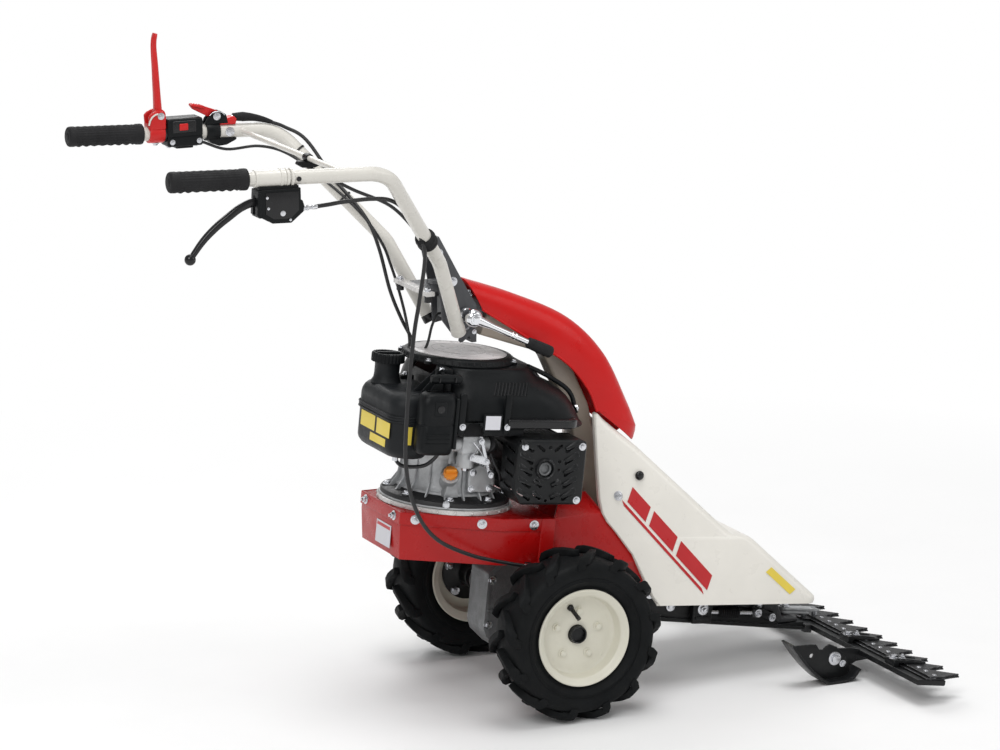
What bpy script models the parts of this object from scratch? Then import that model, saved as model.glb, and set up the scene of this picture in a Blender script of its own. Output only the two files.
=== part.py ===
"""Walk-behind sickle-bar mower: two driven wheels, a vertical-shaft engine on a belt deck,
a gooseneck handlebar arm under a red cowl, and a counter-moving double knife at the front.

Metres, +Z up, +X forward, +Y to the operator's left. The origin is on the ground, at the
middle of the machine's length and width.
"""

import math

import bmesh
import bpy
from mathutils import Matrix, Vector

# ---- driving dimensions -------------------------------------------------------------------
REAR_X = -0.752            # rear end of the grips, from the axle
FRONT_X = 0.674            # tips of the knife teeth, from the axle
AXLE_Z = 0.152             # wheel radius over the lugs, so the axle's height
BODY_PITCH = math.radians(6.0)   # deck, engine, hood and beam lean forward on the axle
BAR_PITCH = math.radians(9.0)    # the cutter bar leans a little further
BAR_X, BAR_Z = 0.574, 0.050      # rear top edge of the cutter bar, from the axle
BAR_HALF = 0.435           # half the cutting width
BAR_DEPTH = 0.058
TEETH = 16
KNIFE = 0.003              # knife thickness
STROKE = 0.022             # each knife's travel to either side
GAP = 0.0003               # clearance between neighbouring pieces
SHEET = 0.0025             # pressed steel of the deck and frame
ROUND = 24                 # facets of a shaft and of the bore it turns in

TRACK_HALF = 0.226
TYRE_HALF = 0.046
RIM_R = 0.0872
BARREL_R = 0.0762
RIM_HALF = 0.038
LUGS = 10
LUG_DEPTH = 0.0085
AXLE_R = 0.01234
AXLE_BORE = 0.0125
WHEEL_BOLTS = 5
WHEEL_BOLT_R = 0.042

ENGINE_X = -0.170          # crankshaft, in the pitched body's frame
BELT_Z = 0.140
PULLEY_R = 0.032
DRIVEN_R = 0.050
DRIVEN_X = 0.030

GRIP_Y = 0.247
TUBE_R = 0.0125
GRIP_R = 0.0175
TILT_X, TILT_Z = -0.130, 0.700   # handlebar's tilt bolt
SWING_X = -0.098           # upright pin that the handlebar swings on

RED = (0.72, 0.03, 0.03)
DARK_RED = (0.35, 0.02, 0.02)
IVORY = (0.80, 0.77, 0.68)
BLACK = (0.02, 0.02, 0.022)
CHARCOAL = (0.06, 0.06, 0.065)
STEEL = (0.45, 0.45, 0.46)
ALLOY = (0.62, 0.62, 0.62)
ORANGE = (0.85, 0.33, 0.02)
PALE = (0.75, 0.73, 0.72)


# ---- modelling helpers --------------------------------------------------------------------
def frame(name, parent, location=(0, 0, 0), pitch=0.0):
    empty = bpy.data.objects.new(name, None)
    bpy.context.collection.objects.link(empty)
    empty.parent = parent
    empty.location = location
    empty.rotation_euler = (0, pitch, 0)
    return empty


def add_object(name, home, data):
    obj = bpy.data.objects.new(name, data)
    bpy.context.collection.objects.link(obj)
    obj.parent = home
    return obj


def from_bmesh(name, home, bm):
    bmesh.ops.recalc_face_normals(bm, faces=bm.faces)
    mesh = bpy.data.meshes.new(name)
    bm.to_mesh(mesh)
    bm.free()
    return add_object(name, home, mesh)


def block(name, home, low, high):
    """A box between two corners."""
    bm = bmesh.new()
    bmesh.ops.create_cube(bm, size=1.0)
    low, high = Vector(low), Vector(high)
    size = high - low
    bmesh.ops.scale(bm, vec=size, verts=bm.verts)
    bmesh.ops.translate(bm, vec=(low + high) / 2, verts=bm.verts)
    return from_bmesh(name, home, bm)


def prism(name, home, outline, start, end, along="Y"):
    """A flat outline swept from start to end along one axis."""
    place = {"X": lambda a, b: (start, a, b), "Y": lambda a, b: (a, start, b),
             "Z": lambda a, b: (a, b, start)}[along]
    step = {"X": (1, 0, 0), "Y": (0, 1, 0), "Z": (0, 0, 1)}[along]
    bm = bmesh.new()
    face = bm.faces.new([bm.verts.new(place(a, b)) for a, b in outline])
    swept = bmesh.ops.extrude_face_region(bm, geom=[face])["geom"]
    moved = [item for item in swept if isinstance(item, bmesh.types.BMVert)]
    bmesh.ops.translate(bm, verts=moved, vec=Vector(step) * (end - start))
    return from_bmesh(name, home, bm)


def loft(name, home, rings, ends=(True, True), closed=True):
    """Equal rings of points, skinned in order; each end is capped or left open."""
    bm = bmesh.new()
    rows = [[bm.verts.new(point) for point in ring] for ring in rings]
    count = len(rows[0])
    for lower, upper in zip(rows, rows[1:]):
        for i in range(count if closed else count - 1):
            j = (i + 1) % count
            bm.faces.new((lower[i], lower[j], upper[j], upper[i]))
    if ends[0]:
        bm.faces.new(rows[0])
    if ends[1]:
        bm.faces.new(rows[-1])
    return from_bmesh(name, home, bm)


def turned(name, home, profile, centre, along="Z", steps=ROUND):
    """A closed (radius, height) profile spun round an axis through centre."""
    bm = bmesh.new()
    verts = [bm.verts.new((radius, 0, height)) for radius, height in profile]
    edges = [bm.edges.new((verts[i - 1], verts[i])) for i in range(len(verts))]
    bmesh.ops.spin(bm, geom=verts + edges, axis=(0, 0, 1), cent=(0, 0, 0),
                   angle=math.tau, steps=steps, use_merge=True)
    bmesh.ops.remove_doubles(bm, verts=bm.verts, dist=1e-6)
    turn = {"X": Matrix.Rotation(math.pi / 2, 4, "Y"), "Z": Matrix.Identity(4),
            "Y": Matrix.Rotation(-math.pi / 2, 4, "X")}[along]
    bmesh.ops.transform(bm, matrix=Matrix.Translation(centre) @ turn, verts=bm.verts)
    return from_bmesh(name, home, bm)


def rod(name, home, start, end, radius, steps=16):
    """A round bar between two points."""
    start, end = Vector(start), Vector(end)
    span = end - start
    turn = span.to_track_quat("Z", "Y").to_matrix().to_4x4()
    bm = bmesh.new()
    bmesh.ops.create_cone(bm, cap_ends=True, segments=steps, radius1=radius, radius2=radius,
                          depth=span.length)
    place = Matrix.Translation((start + end) / 2) @ turn
    bmesh.ops.transform(bm, matrix=place, verts=bm.verts)
    return from_bmesh(name, home, bm)


def ball(name, home, centre, radius):
    bm = bmesh.new()
    bmesh.ops.create_uvsphere(bm, u_segments=12, v_segments=8, radius=radius)
    bmesh.ops.translate(bm, vec=centre, verts=bm.verts)
    return from_bmesh(name, home, bm)


def pipe(name, home, points, radius, wall=0.0, sides=3):
    """A curve with a round bevel: solid with capped ends, or an open tube with a wall."""
    curve = bpy.data.curves.new(name, "CURVE")
    curve.dimensions = "3D"
    curve.bevel_depth = radius
    curve.bevel_resolution = sides
    curve.use_fill_caps = wall == 0
    spline = curve.splines.new("POLY")
    spline.points.add(len(points) - 1)
    for slot, point in zip(spline.points, points):
        slot.co = (*point, 1.0)
    obj = add_object(name, home, curve)
    if wall:
        hollow = obj.modifiers.new("wall", "SOLIDIFY")
        hollow.thickness = wall
        hollow.offset = -1.0
    return obj


def rounded_path(points, radius, steps=5):
    """A polyline whose inner corners are replaced by arcs of one radius."""
    points = [Vector(point) for point in points]
    path = [points[0]]
    for before, corner, after in zip(points, points[1:], points[2:]):
        to_before = (before - corner).normalized()
        to_after = (after - corner).normalized()
        half = to_before.angle(to_after) / 2
        reach = min(radius / math.tan(half), (before - corner).length * 0.45,
                    (after - corner).length * 0.45)
        middle = (to_before + to_after).normalized() * (reach / math.cos(half))
        centre = corner + middle
        start = corner + to_before * reach - centre
        end = corner + to_after * reach - centre
        sweep = start.angle(end)
        for i in range(steps + 1):
            share = i / steps
            arm = (start * math.sin((1 - share) * sweep) + end * math.sin(share * sweep))
            path.append(centre + arm / math.sin(sweep))
    path.append(points[-1])
    return path


def smooth_path(points, steps=4):
    """A Catmull-Rom curve through the points."""
    points = [Vector(point) for point in points]
    padded = [2 * points[0] - points[1], *points, 2 * points[-1] - points[-2]]
    path = []
    for a, b, c, d in zip(padded, padded[1:], padded[2:], padded[3:]):
        for i in range(steps):
            t = i / steps
            path.append(0.5 * (2 * b + (c - a) * t + (2 * a - 5 * b + 4 * c - d) * t * t
                               + (3 * b - a - 3 * c + d) * t ** 3))
    path.append(points[-1])
    return path


def band(path, half):
    """The closed outline of a strip of even depth that follows a flat (x, z) path."""
    path = [Vector(point) for point in path]
    left, right = [], []
    for i, point in enumerate(path):
        ahead = path[min(i + 1, len(path) - 1)] - path[max(i - 1, 0)]
        side = Vector((-ahead.y, ahead.x)).normalized() * half
        left.append(point + side)
        right.append(point - side)
    return left + right[::-1]


def helper(obj):
    """Marks a solid that only shapes another one."""
    obj.hide_render = True
    obj.display_type = "WIRE"
    return obj


def combine(target, operation, tools):
    for tool in tools:
        modifier = target.modifiers.new(operation.lower(), "BOOLEAN")
        modifier.operation = operation
        modifier.solver = "EXACT"
        modifier.object = helper(tool)
    return target


def weld(target, *tools):
    return combine(target, "UNION", tools)


def cut(target, *tools):
    return combine(target, "DIFFERENCE", tools)


def shell(obj, keep_face, thickness):
    """Drops the faces that keep_face refuses and gives the rest a wall, inwards."""
    bm = bmesh.new()
    bm.from_mesh(obj.data)
    dropped = [face for face in bm.faces if not keep_face(face)]
    bmesh.ops.delete(bm, geom=dropped, context="FACES")
    bm.to_mesh(obj.data)
    bm.free()
    wall = obj.modifiers.new("wall", "SOLIDIFY")
    wall.thickness = thickness
    wall.offset = -1.0
    wall.use_even_offset = True
    return obj


def bevel(obj, width, segments=2, angle=35):
    modifier = obj.modifiers.new("bevel", "BEVEL")
    modifier.width = width
    modifier.segments = segments
    modifier.limit_method = "ANGLE"
    modifier.angle_limit = math.radians(angle)
    return obj


def pivot_at(obj, point):
    """Moves the object's origin to a point of its joint's axis."""
    point = Vector(point)
    obj.data.transform(Matrix.Translation(-point))
    obj.location = point
    return obj


def smooth(obj, angle=40):
    if obj.type == "MESH":
        obj.data.shade_smooth()
        obj.data.set_sharp_from_angle(angle=math.radians(angle))
    return obj


def paint(obj, colour, roughness=0.45, metallic=0.0):
    material = bpy.data.materials.new(obj.name)
    material.use_nodes = True
    surface = material.node_tree.nodes["Principled BSDF"]
    surface.inputs["Base Color"].default_value = (*colour, 1.0)
    surface.inputs["Roughness"].default_value = roughness
    surface.inputs["Metallic"].default_value = metallic
    obj.data.materials.clear()
    obj.data.materials.append(material)
    return obj


def between(value, table):
    """Straight-line reading of a short (value, result) table in rising order."""
    for (low, first), (high, last) in zip(table, table[1:]):
        if value <= high:
            return first + (last - first) * (value - low) / (high - low)
    return table[-1][1]


# ---- wheels and axle ----------------------------------------------------------------------
def tyre(name, home, side):
    """A U-section tyre whose crown carries two staggered rows of slanted lugs."""
    half = ((0.0325, 0.0765), (0.0325, 0.0885), (0.043, 0.102), (TYRE_HALF, 0.122),
            (0.043, 0.139), (0.022, AXLE_Z - LUG_DEPTH))
    raised = {4: 0.0085, 5: LUG_DEPTH}
    inner = ((0.024, 0.0765), (0.034, 0.118), (-0.034, 0.118), (-0.024, 0.0765))
    segments = LUGS * 4
    rings = []
    for k in range(segments):
        ring = []
        for row, sign in ((0, 1), (1, -1)):
            points = list(enumerate(half))
            for i, (offset, radius) in points if sign > 0 else points[::-1]:
                lug = (k + 2 * row) % 4 in (0, 1)
                slant = 0.10 * (1 - offset / TYRE_HALF) if i >= 4 else 0.0
                angle = (k - 0.5) * math.tau / segments + slant
                r = radius + (raised.get(i, 0.0) if lug else 0.0)
                ring.append((r * math.sin(angle), sign * offset, -r * math.cos(angle)))
            if sign > 0:
                angle = (k - 0.5) * math.tau / segments
                r = AXLE_Z - LUG_DEPTH
                ring.append((r * math.sin(angle), 0.0, -r * math.cos(angle)))
        angle = (k - 0.5) * math.tau / segments
        for offset, radius in inner[::-1]:
            ring.append((radius * math.sin(angle), offset, -radius * math.cos(angle)))
        rings.append(ring)
    obj = loft(name, home, rings + [rings[0]], ends=(False, False))
    bm = bmesh.new()
    bm.from_mesh(obj.data)
    bmesh.ops.remove_doubles(bm, verts=bm.verts, dist=1e-6)
    bmesh.ops.recalc_face_normals(bm, faces=bm.faces)
    bm.to_mesh(obj.data)
    bm.free()
    obj.location = (0, side * TRACK_HALF, AXLE_Z)
    return paint(obj, BLACK, 0.85)


def bolt_circle():
    for i in range(WHEEL_BOLTS):
        angle = math.radians(54 + 360 * i / WHEEL_BOLTS)
        yield WHEEL_BOLT_R * math.cos(angle), WHEEL_BOLT_R * math.sin(angle)


def rim(name, home, side):
    """A deep-dish rim: two flanges, a barrel and a bolted disc 30 mm in from the outer face."""
    f, b = RIM_HALF, BARREL_R
    profile = [(RIM_R, f), (RIM_R, f - 0.0045), (b, f - 0.0045), (b, 0.0045 - f),
               (RIM_R, 0.0045 - f), (RIM_R, -f), (RIM_R - 0.004, -f), (b - 0.003, 0.0015 - f),
               (b - 0.003, 0.002), (0.0165, 0.002), (0.0165, 0.006), (0.060, 0.006),
               (b - 0.0037, 0.011), (b - 0.003, f - 0.0015), (RIM_R - 0.004, f)]
    profile = [(radius, side * height) for radius, height in profile]
    obj = turned(name, home, profile, (0, 0, 0), "Y", 20)
    holes = [rod(name + "_hole", obj, (x, -side * 0.01, z), (x, side * 0.02, z), 0.0046, 8)
             for x, z in bolt_circle()]
    cut(obj, *holes)
    obj.location = (0, side * TRACK_HALF, AXLE_Z)
    return paint(smooth(obj), IVORY, 0.35)


def hub(name, home, side):
    """The hub behind the disc, with the nose in the disc's bore and five wheel bolts."""
    profile = [(0.0156, 0.016), (0.0156, 0.0017), (0.052, 0.0017), (0.052, -0.005),
               (0.024, -0.009), (0.024, -0.040), (AXLE_BORE, -0.040), (AXLE_BORE, 0.016)]
    profile = [(radius, side * height) for radius, height in profile]
    obj = turned(name, home, profile, (0, 0, 0), "Y")
    tools = []
    for x, z in bolt_circle():
        tools.append(rod(name + "_shank", obj, (x, -side * 0.002, z), (x, side * 0.008, z),
                         0.004, 8))
        tools.append(rod(name + "_head", obj, (x, side * (0.006 + GAP), z),
                         (x, side * 0.0118, z), 0.0078, 6))
    weld(obj, *tools)
    obj.location = (0, side * TRACK_HALF, AXLE_Z)
    return paint(smooth(obj), CHARCOAL, 0.5, 0.6)


def axle(home):
    """The driven cross shaft with its worm wheel."""
    end = TRACK_HALF + 0.010
    obj = rod("axle_shaft", home, (0, -end, 0), (0, end, 0), AXLE_R, ROUND)
    weld(obj, rod("worm_wheel_disc", obj, (0, -0.009, 0), (0, 0.009, 0), 0.046, ROUND))
    obj.location = (0, 0, AXLE_Z)
    return paint(smooth(obj), STEEL, 0.35, 0.9)


def transmission_case(home):
    """The worm gearbox between the wheels, hollow, with an axle tube to each side."""
    outline = [(-0.085, 0.060), (-0.085, -0.040), (-0.050, -0.080), (0.035, -0.080),
               (0.085, -0.045), (0.085, 0.070), (0.060, 0.098), (-0.050, 0.098)]
    inside = [(x * 0.86, z * 0.86) for x, z in outline]
    obj = bevel(prism("transmission_case", home, outline, -0.036, 0.036), 0.004)
    weld(obj, rod("axle_tube", home, (0, -0.168, 0), (0, 0.168, 0), 0.023, 24))
    cut(obj, prism("case_inside", home, inside, -0.029, 0.029),
        rod("axle_bore", home, (0, -0.2, 0), (0, 0.2, 0), AXLE_BORE, ROUND),
        rod("input_bore", home, (DRIVEN_X, 0, 0.05), (DRIVEN_X, 0, 0.12), 0.0125, ROUND))
    return paint(smooth(obj), ALLOY, 0.55, 0.5)


# ---- deck, frame and belt drive -----------------------------------------------------------
def bolt_heads(name, home, spots, axis, radius=0.0065, height=0.005):
    """Hexagon heads that stand on a face; spots lie on the face."""
    sunk = 0.001
    tools = []
    for spot in spots:
        spot = Vector(spot)
        out = Vector(axis)
        tools.append(rod(name, home, spot - out * sunk, spot + out * height, radius, 6))
    return tools


def deck_pan(home):
    """The belt deck: a folded pan, open below and at the front, tapered to the rear."""
    plan = [(-0.290, -0.085), (-0.120, -0.140), (-0.017, -0.140), (-0.017, 0.140),
            (-0.120, 0.140), (-0.290, 0.085)]
    obj = prism("deck_pan", home, plan, 0.100, 0.185, "Z")
    shell(obj, lambda face: face.normal.z > -0.5 and face.normal.x < 0.9, SHEET)
    rail = 0.140
    spots = [(-0.105, -rail, 0.155), (-0.035, -rail, 0.155)]
    far_spots = [(x, -y, z) for x, y, z in spots]
    weld(obj, *bolt_heads("deck_bolt", home, spots, (0, -1, 0)),
         *bolt_heads("deck_bolt", home, far_spots, (0, 1, 0)))
    cut(obj, rod("crank_hole", home, (ENGINE_X, 0, 0.17), (ENGINE_X, 0, 0.20), 0.030, 24))
    return paint(obj, RED, 0.3)


def front_frame(home):
    """The folded frame box over the gearbox, with a slot for the handlebar arm."""
    def ring(z, rear, front, rear_half, front_half):
        return [(rear, -rear_half, z), (front, -front_half, z), (front, front_half, z),
                (rear, rear_half, z)]
    rings = [ring(0.060, 0.020, 0.190, 0.105, 0.120), ring(0.100, -0.0165, 0.170, 0.137, 0.115),
             ring(0.185, -0.0165, 0.0985, 0.137, 0.095), ring(0.215, 0.030, 0.078, 0.060, 0.058)]
    obj = loft("front_frame", home, rings, ends=(False, True))
    shell(obj, lambda face: face.normal.x > -0.7, SHEET)
    cut(obj, block("arm_slot", home, (0.075, -0.026, 0.0), (0.25, 0.026, 0.2115)),
        block("beam_slot", home, (0.08, -0.048, 0.0), (0.25, 0.048, 0.075)))
    return paint(obj, DARK_RED, 0.35)


def spacer_plate(home):
    profile = [(0.120, 0.1853), (0.120, 0.1943), (0.030, 0.1943), (0.030, 0.1853)]
    obj = turned("spacer_plate", home, profile, (ENGINE_X, 0, 0))
    return paint(smooth(obj), PALE, 0.4)


def pulley(name, home, radius, bore, hub_top):
    z = BELT_Z
    profile = [(bore, z - 0.012), (radius, z - 0.012), (radius, z - 0.009),
               (radius - 0.010, z - 0.004), (radius - 0.010, z + 0.004), (radius, z + 0.009),
               (radius, z + 0.012), (bore + 0.008, z + 0.012), (bore + 0.008, hub_top),
               (bore, hub_top)]
    return smooth(turned(name, home, profile, (0, 0, 0)))


def crankshaft(home):
    """The upright crankshaft, its web inside the crankcase and the belt pulley at its foot."""
    obj = rod("crankshaft", home, (0, 0, 0.108), (0, 0, 0.285), AXLE_R, ROUND)
    web = rod("crank_web", obj, (0, 0, 0.240), (0, 0, 0.252), 0.052, ROUND)
    weld(obj, web, pulley("engine_pulley", obj, PULLEY_R, 0.004, BELT_Z + 0.02))
    obj.location = (ENGINE_X, 0, 0)
    return paint(smooth(obj), STEEL, 0.3, 0.9)


def driven_pulley(home):
    """The gearbox's input pulley, with its upright shaft down into the case."""
    obj = pulley("driven_pulley", home, DRIVEN_R, 0.004, BELT_Z + 0.02)
    weld(obj, rod("input_shaft", obj, (0, 0, 0.060), (0, 0, BELT_Z + 0.015), 0.0122, ROUND))
    obj.location = (DRIVEN_X, 0, 0)
    return paint(obj, STEEL, 0.4, 0.8)


def drive_belt(home):
    """One endless V-belt round both pulleys."""
    def loop(small, large):
        span = DRIVEN_X - ENGINE_X
        lean = math.acos((small - large) / span)
        points = []
        for i in range(13):
            angle = lean + (math.tau - 2 * lean) * i / 12
            points.append((ENGINE_X + small * math.cos(angle), small * math.sin(angle)))
        for i in range(13):
            angle = -lean + 2 * lean * i / 12
            points.append((DRIVEN_X + large * math.cos(angle), large * math.sin(angle)))
        return points
    outer = loop(PULLEY_R - 0.001, DRIVEN_R - 0.001)
    inner = loop(PULLEY_R - 0.0092, DRIVEN_R - 0.0092)
    obj = prism("drive_belt", home, outer, BELT_Z - 0.0035, BELT_Z + 0.0035, "Z")
    cut(obj, prism("belt_inside", home, inner, BELT_Z - 0.01, BELT_Z + 0.01, "Z"))
    return paint(obj, BLACK, 0.8)


def front_beam(home):
    """The cast beam that carries the knife drive forward to the bar."""
    outline = [(0.0857, 0.045), (0.0857, -0.020), (0.260, -0.030), (0.568, -0.052),
               (0.568, -0.0365), (0.514, -0.041), (0.500, -0.018), (0.360, 0.0), (0.300, 0.040),
               (0.200, 0.058), (0.130, 0.058)]
    obj = prism("front_beam", home, outline, -0.045, 0.045)
    weld(obj, block("beam_lug", home, (0.325, -0.056, -0.032), (0.365, 0.056, 0.020)))
    return paint(obj, CHARCOAL, 0.6, 0.3)


# ---- engine -------------------------------------------------------------------------------
def crankcase(home):
    """The alloy crankcase and sump flange, hollow round the crank."""
    profile = [(0.115, 0.1946), (0.115, 0.208), (0.090, 0.214), (0.085, 0.222),
               (0.083, 0.298), (0.0125, 0.298), (0.0125, 0.290), (0.072, 0.286),
               (0.075, 0.222), (0.060, 0.216), (0.0125, 0.214), (0.0125, 0.1946)]
    obj = turned("crankcase", home, profile, (ENGINE_X, 0, 0))
    boss = rod("oil_boss", home, (-0.200, -0.070, 0.235), (-0.2095, -0.0985, 0.256), 0.015, 16)
    bore = rod("oil_bore", home, (-0.196, -0.058, 0.226), (-0.211, -0.103, 0.2593), 0.0085, 16)
    cut(weld(obj, boss), bore)
    return paint(smooth(obj), ALLOY, 0.45, 0.7)


OIL_SEAT = (-0.2097, -0.0991, 0.2564)
OIL_AXIS = Vector((-0.0095, -0.0285, 0.021)).normalized()


def dipstick(home):
    """The oil filler cap with its dipstick blade."""
    seat = Vector(OIL_SEAT) + OIL_AXIS * 0.0003
    cap = rod("dipstick", home, seat, seat + OIL_AXIS * 0.010, 0.0125, 12)
    blade = rod("dipstick_blade", home, seat - OIL_AXIS * 0.022, seat + OIL_AXIS * 0.002,
                0.0075, 12)
    lug = rod("dipstick_lug", home, seat + OIL_AXIS * 0.008, seat + OIL_AXIS * 0.020, 0.0065, 6)
    weld(cap, blade, lug)
    pivot_at(cap, seat)
    return paint(cap, ORANGE, 0.4)


def cylinder_block(home):
    """The horizontal cylinder and head, with cooling fins."""
    obj = block("cylinder_block", home, (-0.0845, -0.036, 0.226), (0.050, 0.036, 0.300))
    fins = []
    for i in range(9):
        x = -0.074 + 0.014 * i
        fins.append(block("fin", home, (x, -0.056, 0.2165), (x + 0.003, 0.056, 0.309)))
    weld(obj, *fins, rod("spark_plug", home, (0.045, 0.0, 0.264), (0.066, 0.0, 0.264), 0.008, 12))
    return paint(obj, CHARCOAL, 0.55, 0.4)


def muffler(home):
    obj = block("muffler", home, (-0.100, -0.150, 0.235), (0.002, -0.118, 0.326))
    bevel(obj, 0.010)
    weld(obj, rod("exhaust_port", home, (-0.030, -0.125, 0.280), (-0.030, -0.0575, 0.280),
                  0.012, 16))
    return paint(smooth(obj), STEEL, 0.6, 0.6)


def muffler_guard(home):
    """The slotted heat guard over the muffler."""
    low, high = Vector((-0.117, -0.172, 0.217)), Vector((0.016, -0.108, 0.3335))
    obj = block("muffler_guard", home, low, high)
    shell(obj, lambda face: face.normal.y < 0.5, 0.0015)
    tools = [rod("outlet", home, (-0.063, -0.19, 0.282), (-0.063, -0.16, 0.282), 0.016, 20)]
    for column, lean in ((-0.098, 1), (-0.012, -1)):
        for row in range(4):
            z = 0.238 + row * 0.022
            slot = [(column - 0.012, z + lean * 0.008), (column + 0.012, z - lean * 0.008),
                    (column + 0.012, z - lean * 0.008 + 0.007),
                    (column - 0.012, z + lean * 0.008 + 0.007)]
            tools.append(prism("louvre", home, slot, -0.19, -0.165))
    cut(obj, *tools)
    return paint(obj, BLACK, 0.4, 0.3)


def rounded_box(low, high, radius, z, steps=3):
    """One ring of a box in plan, with rounded corners."""
    points = []
    corners = ((high[0] - radius, high[1] - radius, 0), (low[0] + radius, high[1] - radius, 1),
               (low[0] + radius, low[1] + radius, 2), (high[0] - radius, low[1] + radius, 3))
    for x, y, quarter in corners:
        for i in range(steps + 1):
            angle = math.pi / 2 * (quarter + i / steps)
            points.append((x + radius * math.cos(angle), y + radius * math.sin(angle), z))
    return points


def shroud_ring(rear, front, half, z, steps=5):
    """One level of the blower housing: small corners behind, long rounded ones in front."""
    small, long, wide = 0.05, 0.080, half * 0.62
    corners = ((front - long, half - wide, long, wide), (rear + small, half - small, small, small),
               (rear + small, small - half, small, small), (front - long, wide - half, long, wide))
    points = []
    for quarter, (x, y, along, across) in enumerate(corners):
        for i in range(steps + 1):
            angle = math.pi / 2 * (quarter + i / steps)
            points.append((x + along * math.cos(angle), y + across * math.sin(angle), z))
    return points


def engine_shroud(home):
    """The black blower housing: flat under the starter, sloping down over the cylinder."""
    rings = [shroud_ring(-0.2315, 0.0480, 0.148, 0.336),
             shroud_ring(-0.2315, 0.0470, 0.148, 0.350),
             shroud_ring(-0.2310, 0.0150, 0.140, 0.395),
             shroud_ring(-0.2300, -0.0400, 0.115, 0.430),
             shroud_ring(-0.2290, -0.0510, 0.110, 0.4445)]
    obj = loft("engine_shroud", home, rings, ends=(False, True))
    shell(obj, lambda face: True, 0.003)
    cut(obj, rod("air_inlet", home, (ENGINE_X + 0.02, 0, 0.42), (ENGINE_X + 0.02, 0, 0.46),
                 0.07, 24))
    return paint(smooth(obj, 30), BLACK, 0.45)


def recoil_housing(home):
    """The starter's round cover on top of the engine."""
    profile = [(0.0, 0.4610), (0.060, 0.4602), (0.086, 0.4580), (0.098, 0.4540),
               (0.098, 0.4448), (0.094, 0.4448), (0.094, 0.4515), (0.083, 0.4550),
               (0.058, 0.4570), (0.0, 0.4576)]
    obj = turned("recoil_housing", home, profile, (ENGINE_X, 0, 0))
    return paint(smooth(obj), BLACK, 0.4)


def air_cleaner_cover(home):
    rings = [rounded_box((-0.296, -0.156), (-0.2325, -0.1185), 0.016, 0.302),
             rounded_box((-0.300, -0.158), (-0.2325, -0.1185), 0.016, 0.315),
             rounded_box((-0.300, -0.158), (-0.2325, -0.1185), 0.016, 0.395),
             rounded_box((-0.294, -0.150), (-0.2325, -0.1185), 0.016, 0.410)]
    obj = loft("air_cleaner_cover", home, rings)
    return paint(smooth(obj, 50), BLACK, 0.45)


TANK_LOW, TANK_HIGH = (-0.333, -0.118), (-0.2325, 0.062)
FILLER = (-0.299, 0.010)


def fuel_tank(home):
    """The moulded petrol tank with its filler neck, open at the top."""
    rings = [rounded_box((-0.325, -0.110), (-0.2545, 0.054), 0.030, 0.285),
             rounded_box(TANK_LOW, (-0.2545, TANK_HIGH[1]), 0.034, 0.2990),
             rounded_box(TANK_LOW, TANK_HIGH, 0.034, 0.3015),
             rounded_box(TANK_LOW, TANK_HIGH, 0.034, 0.380),
             rounded_box((-0.325, -0.110), (TANK_HIGH[0], 0.054), 0.030, 0.400)]
    obj = loft("fuel_tank", home, rings)
    x, y = FILLER
    inside = [rounded_box((-0.3255, -0.1105), (-0.2405, 0.0545), 0.026, z) for z in (0.308, 0.390)]
    weld(obj, rod("neck", home, (x, y, 0.390), (x, y, 0.434), 0.022, 20))
    cut(obj, loft("tank_inside", home, inside),
        rod("neck_bore", home, (x, y, 0.38), (x, y, 0.45), 0.018, 20))
    return paint(smooth(obj, 50), CHARCOAL, 0.5)


def fuel_cap(home):
    x, y = FILLER
    profile = [(0.0, 0.452), (0.027, 0.452), (0.029, 0.449), (0.029, 0.4345), (0.0175, 0.4345),
               (0.0175, 0.422), (0.0, 0.422)]
    obj = turned("fuel_cap", home, profile, (0, 0, 0), steps=24)
    obj.location = (x, y, 0)
    return paint(smooth(obj), BLACK, 0.45)


def starter_handle(home):
    """The pull handle, at rest against the starter cover."""
    obj = rod("starter_handle", home, (-0.272, -0.126, 0.431), (-0.222, -0.126, 0.431), 0.008, 12)
    weld(obj, rod("rope_ferrule", home, (-0.247, -0.120, 0.431), (-0.247, -0.108, 0.437),
                  0.004, 10))
    pivot_at(obj, (-0.247, -0.126, 0.431))
    return paint(smooth(obj), BLACK, 0.5)


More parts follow.
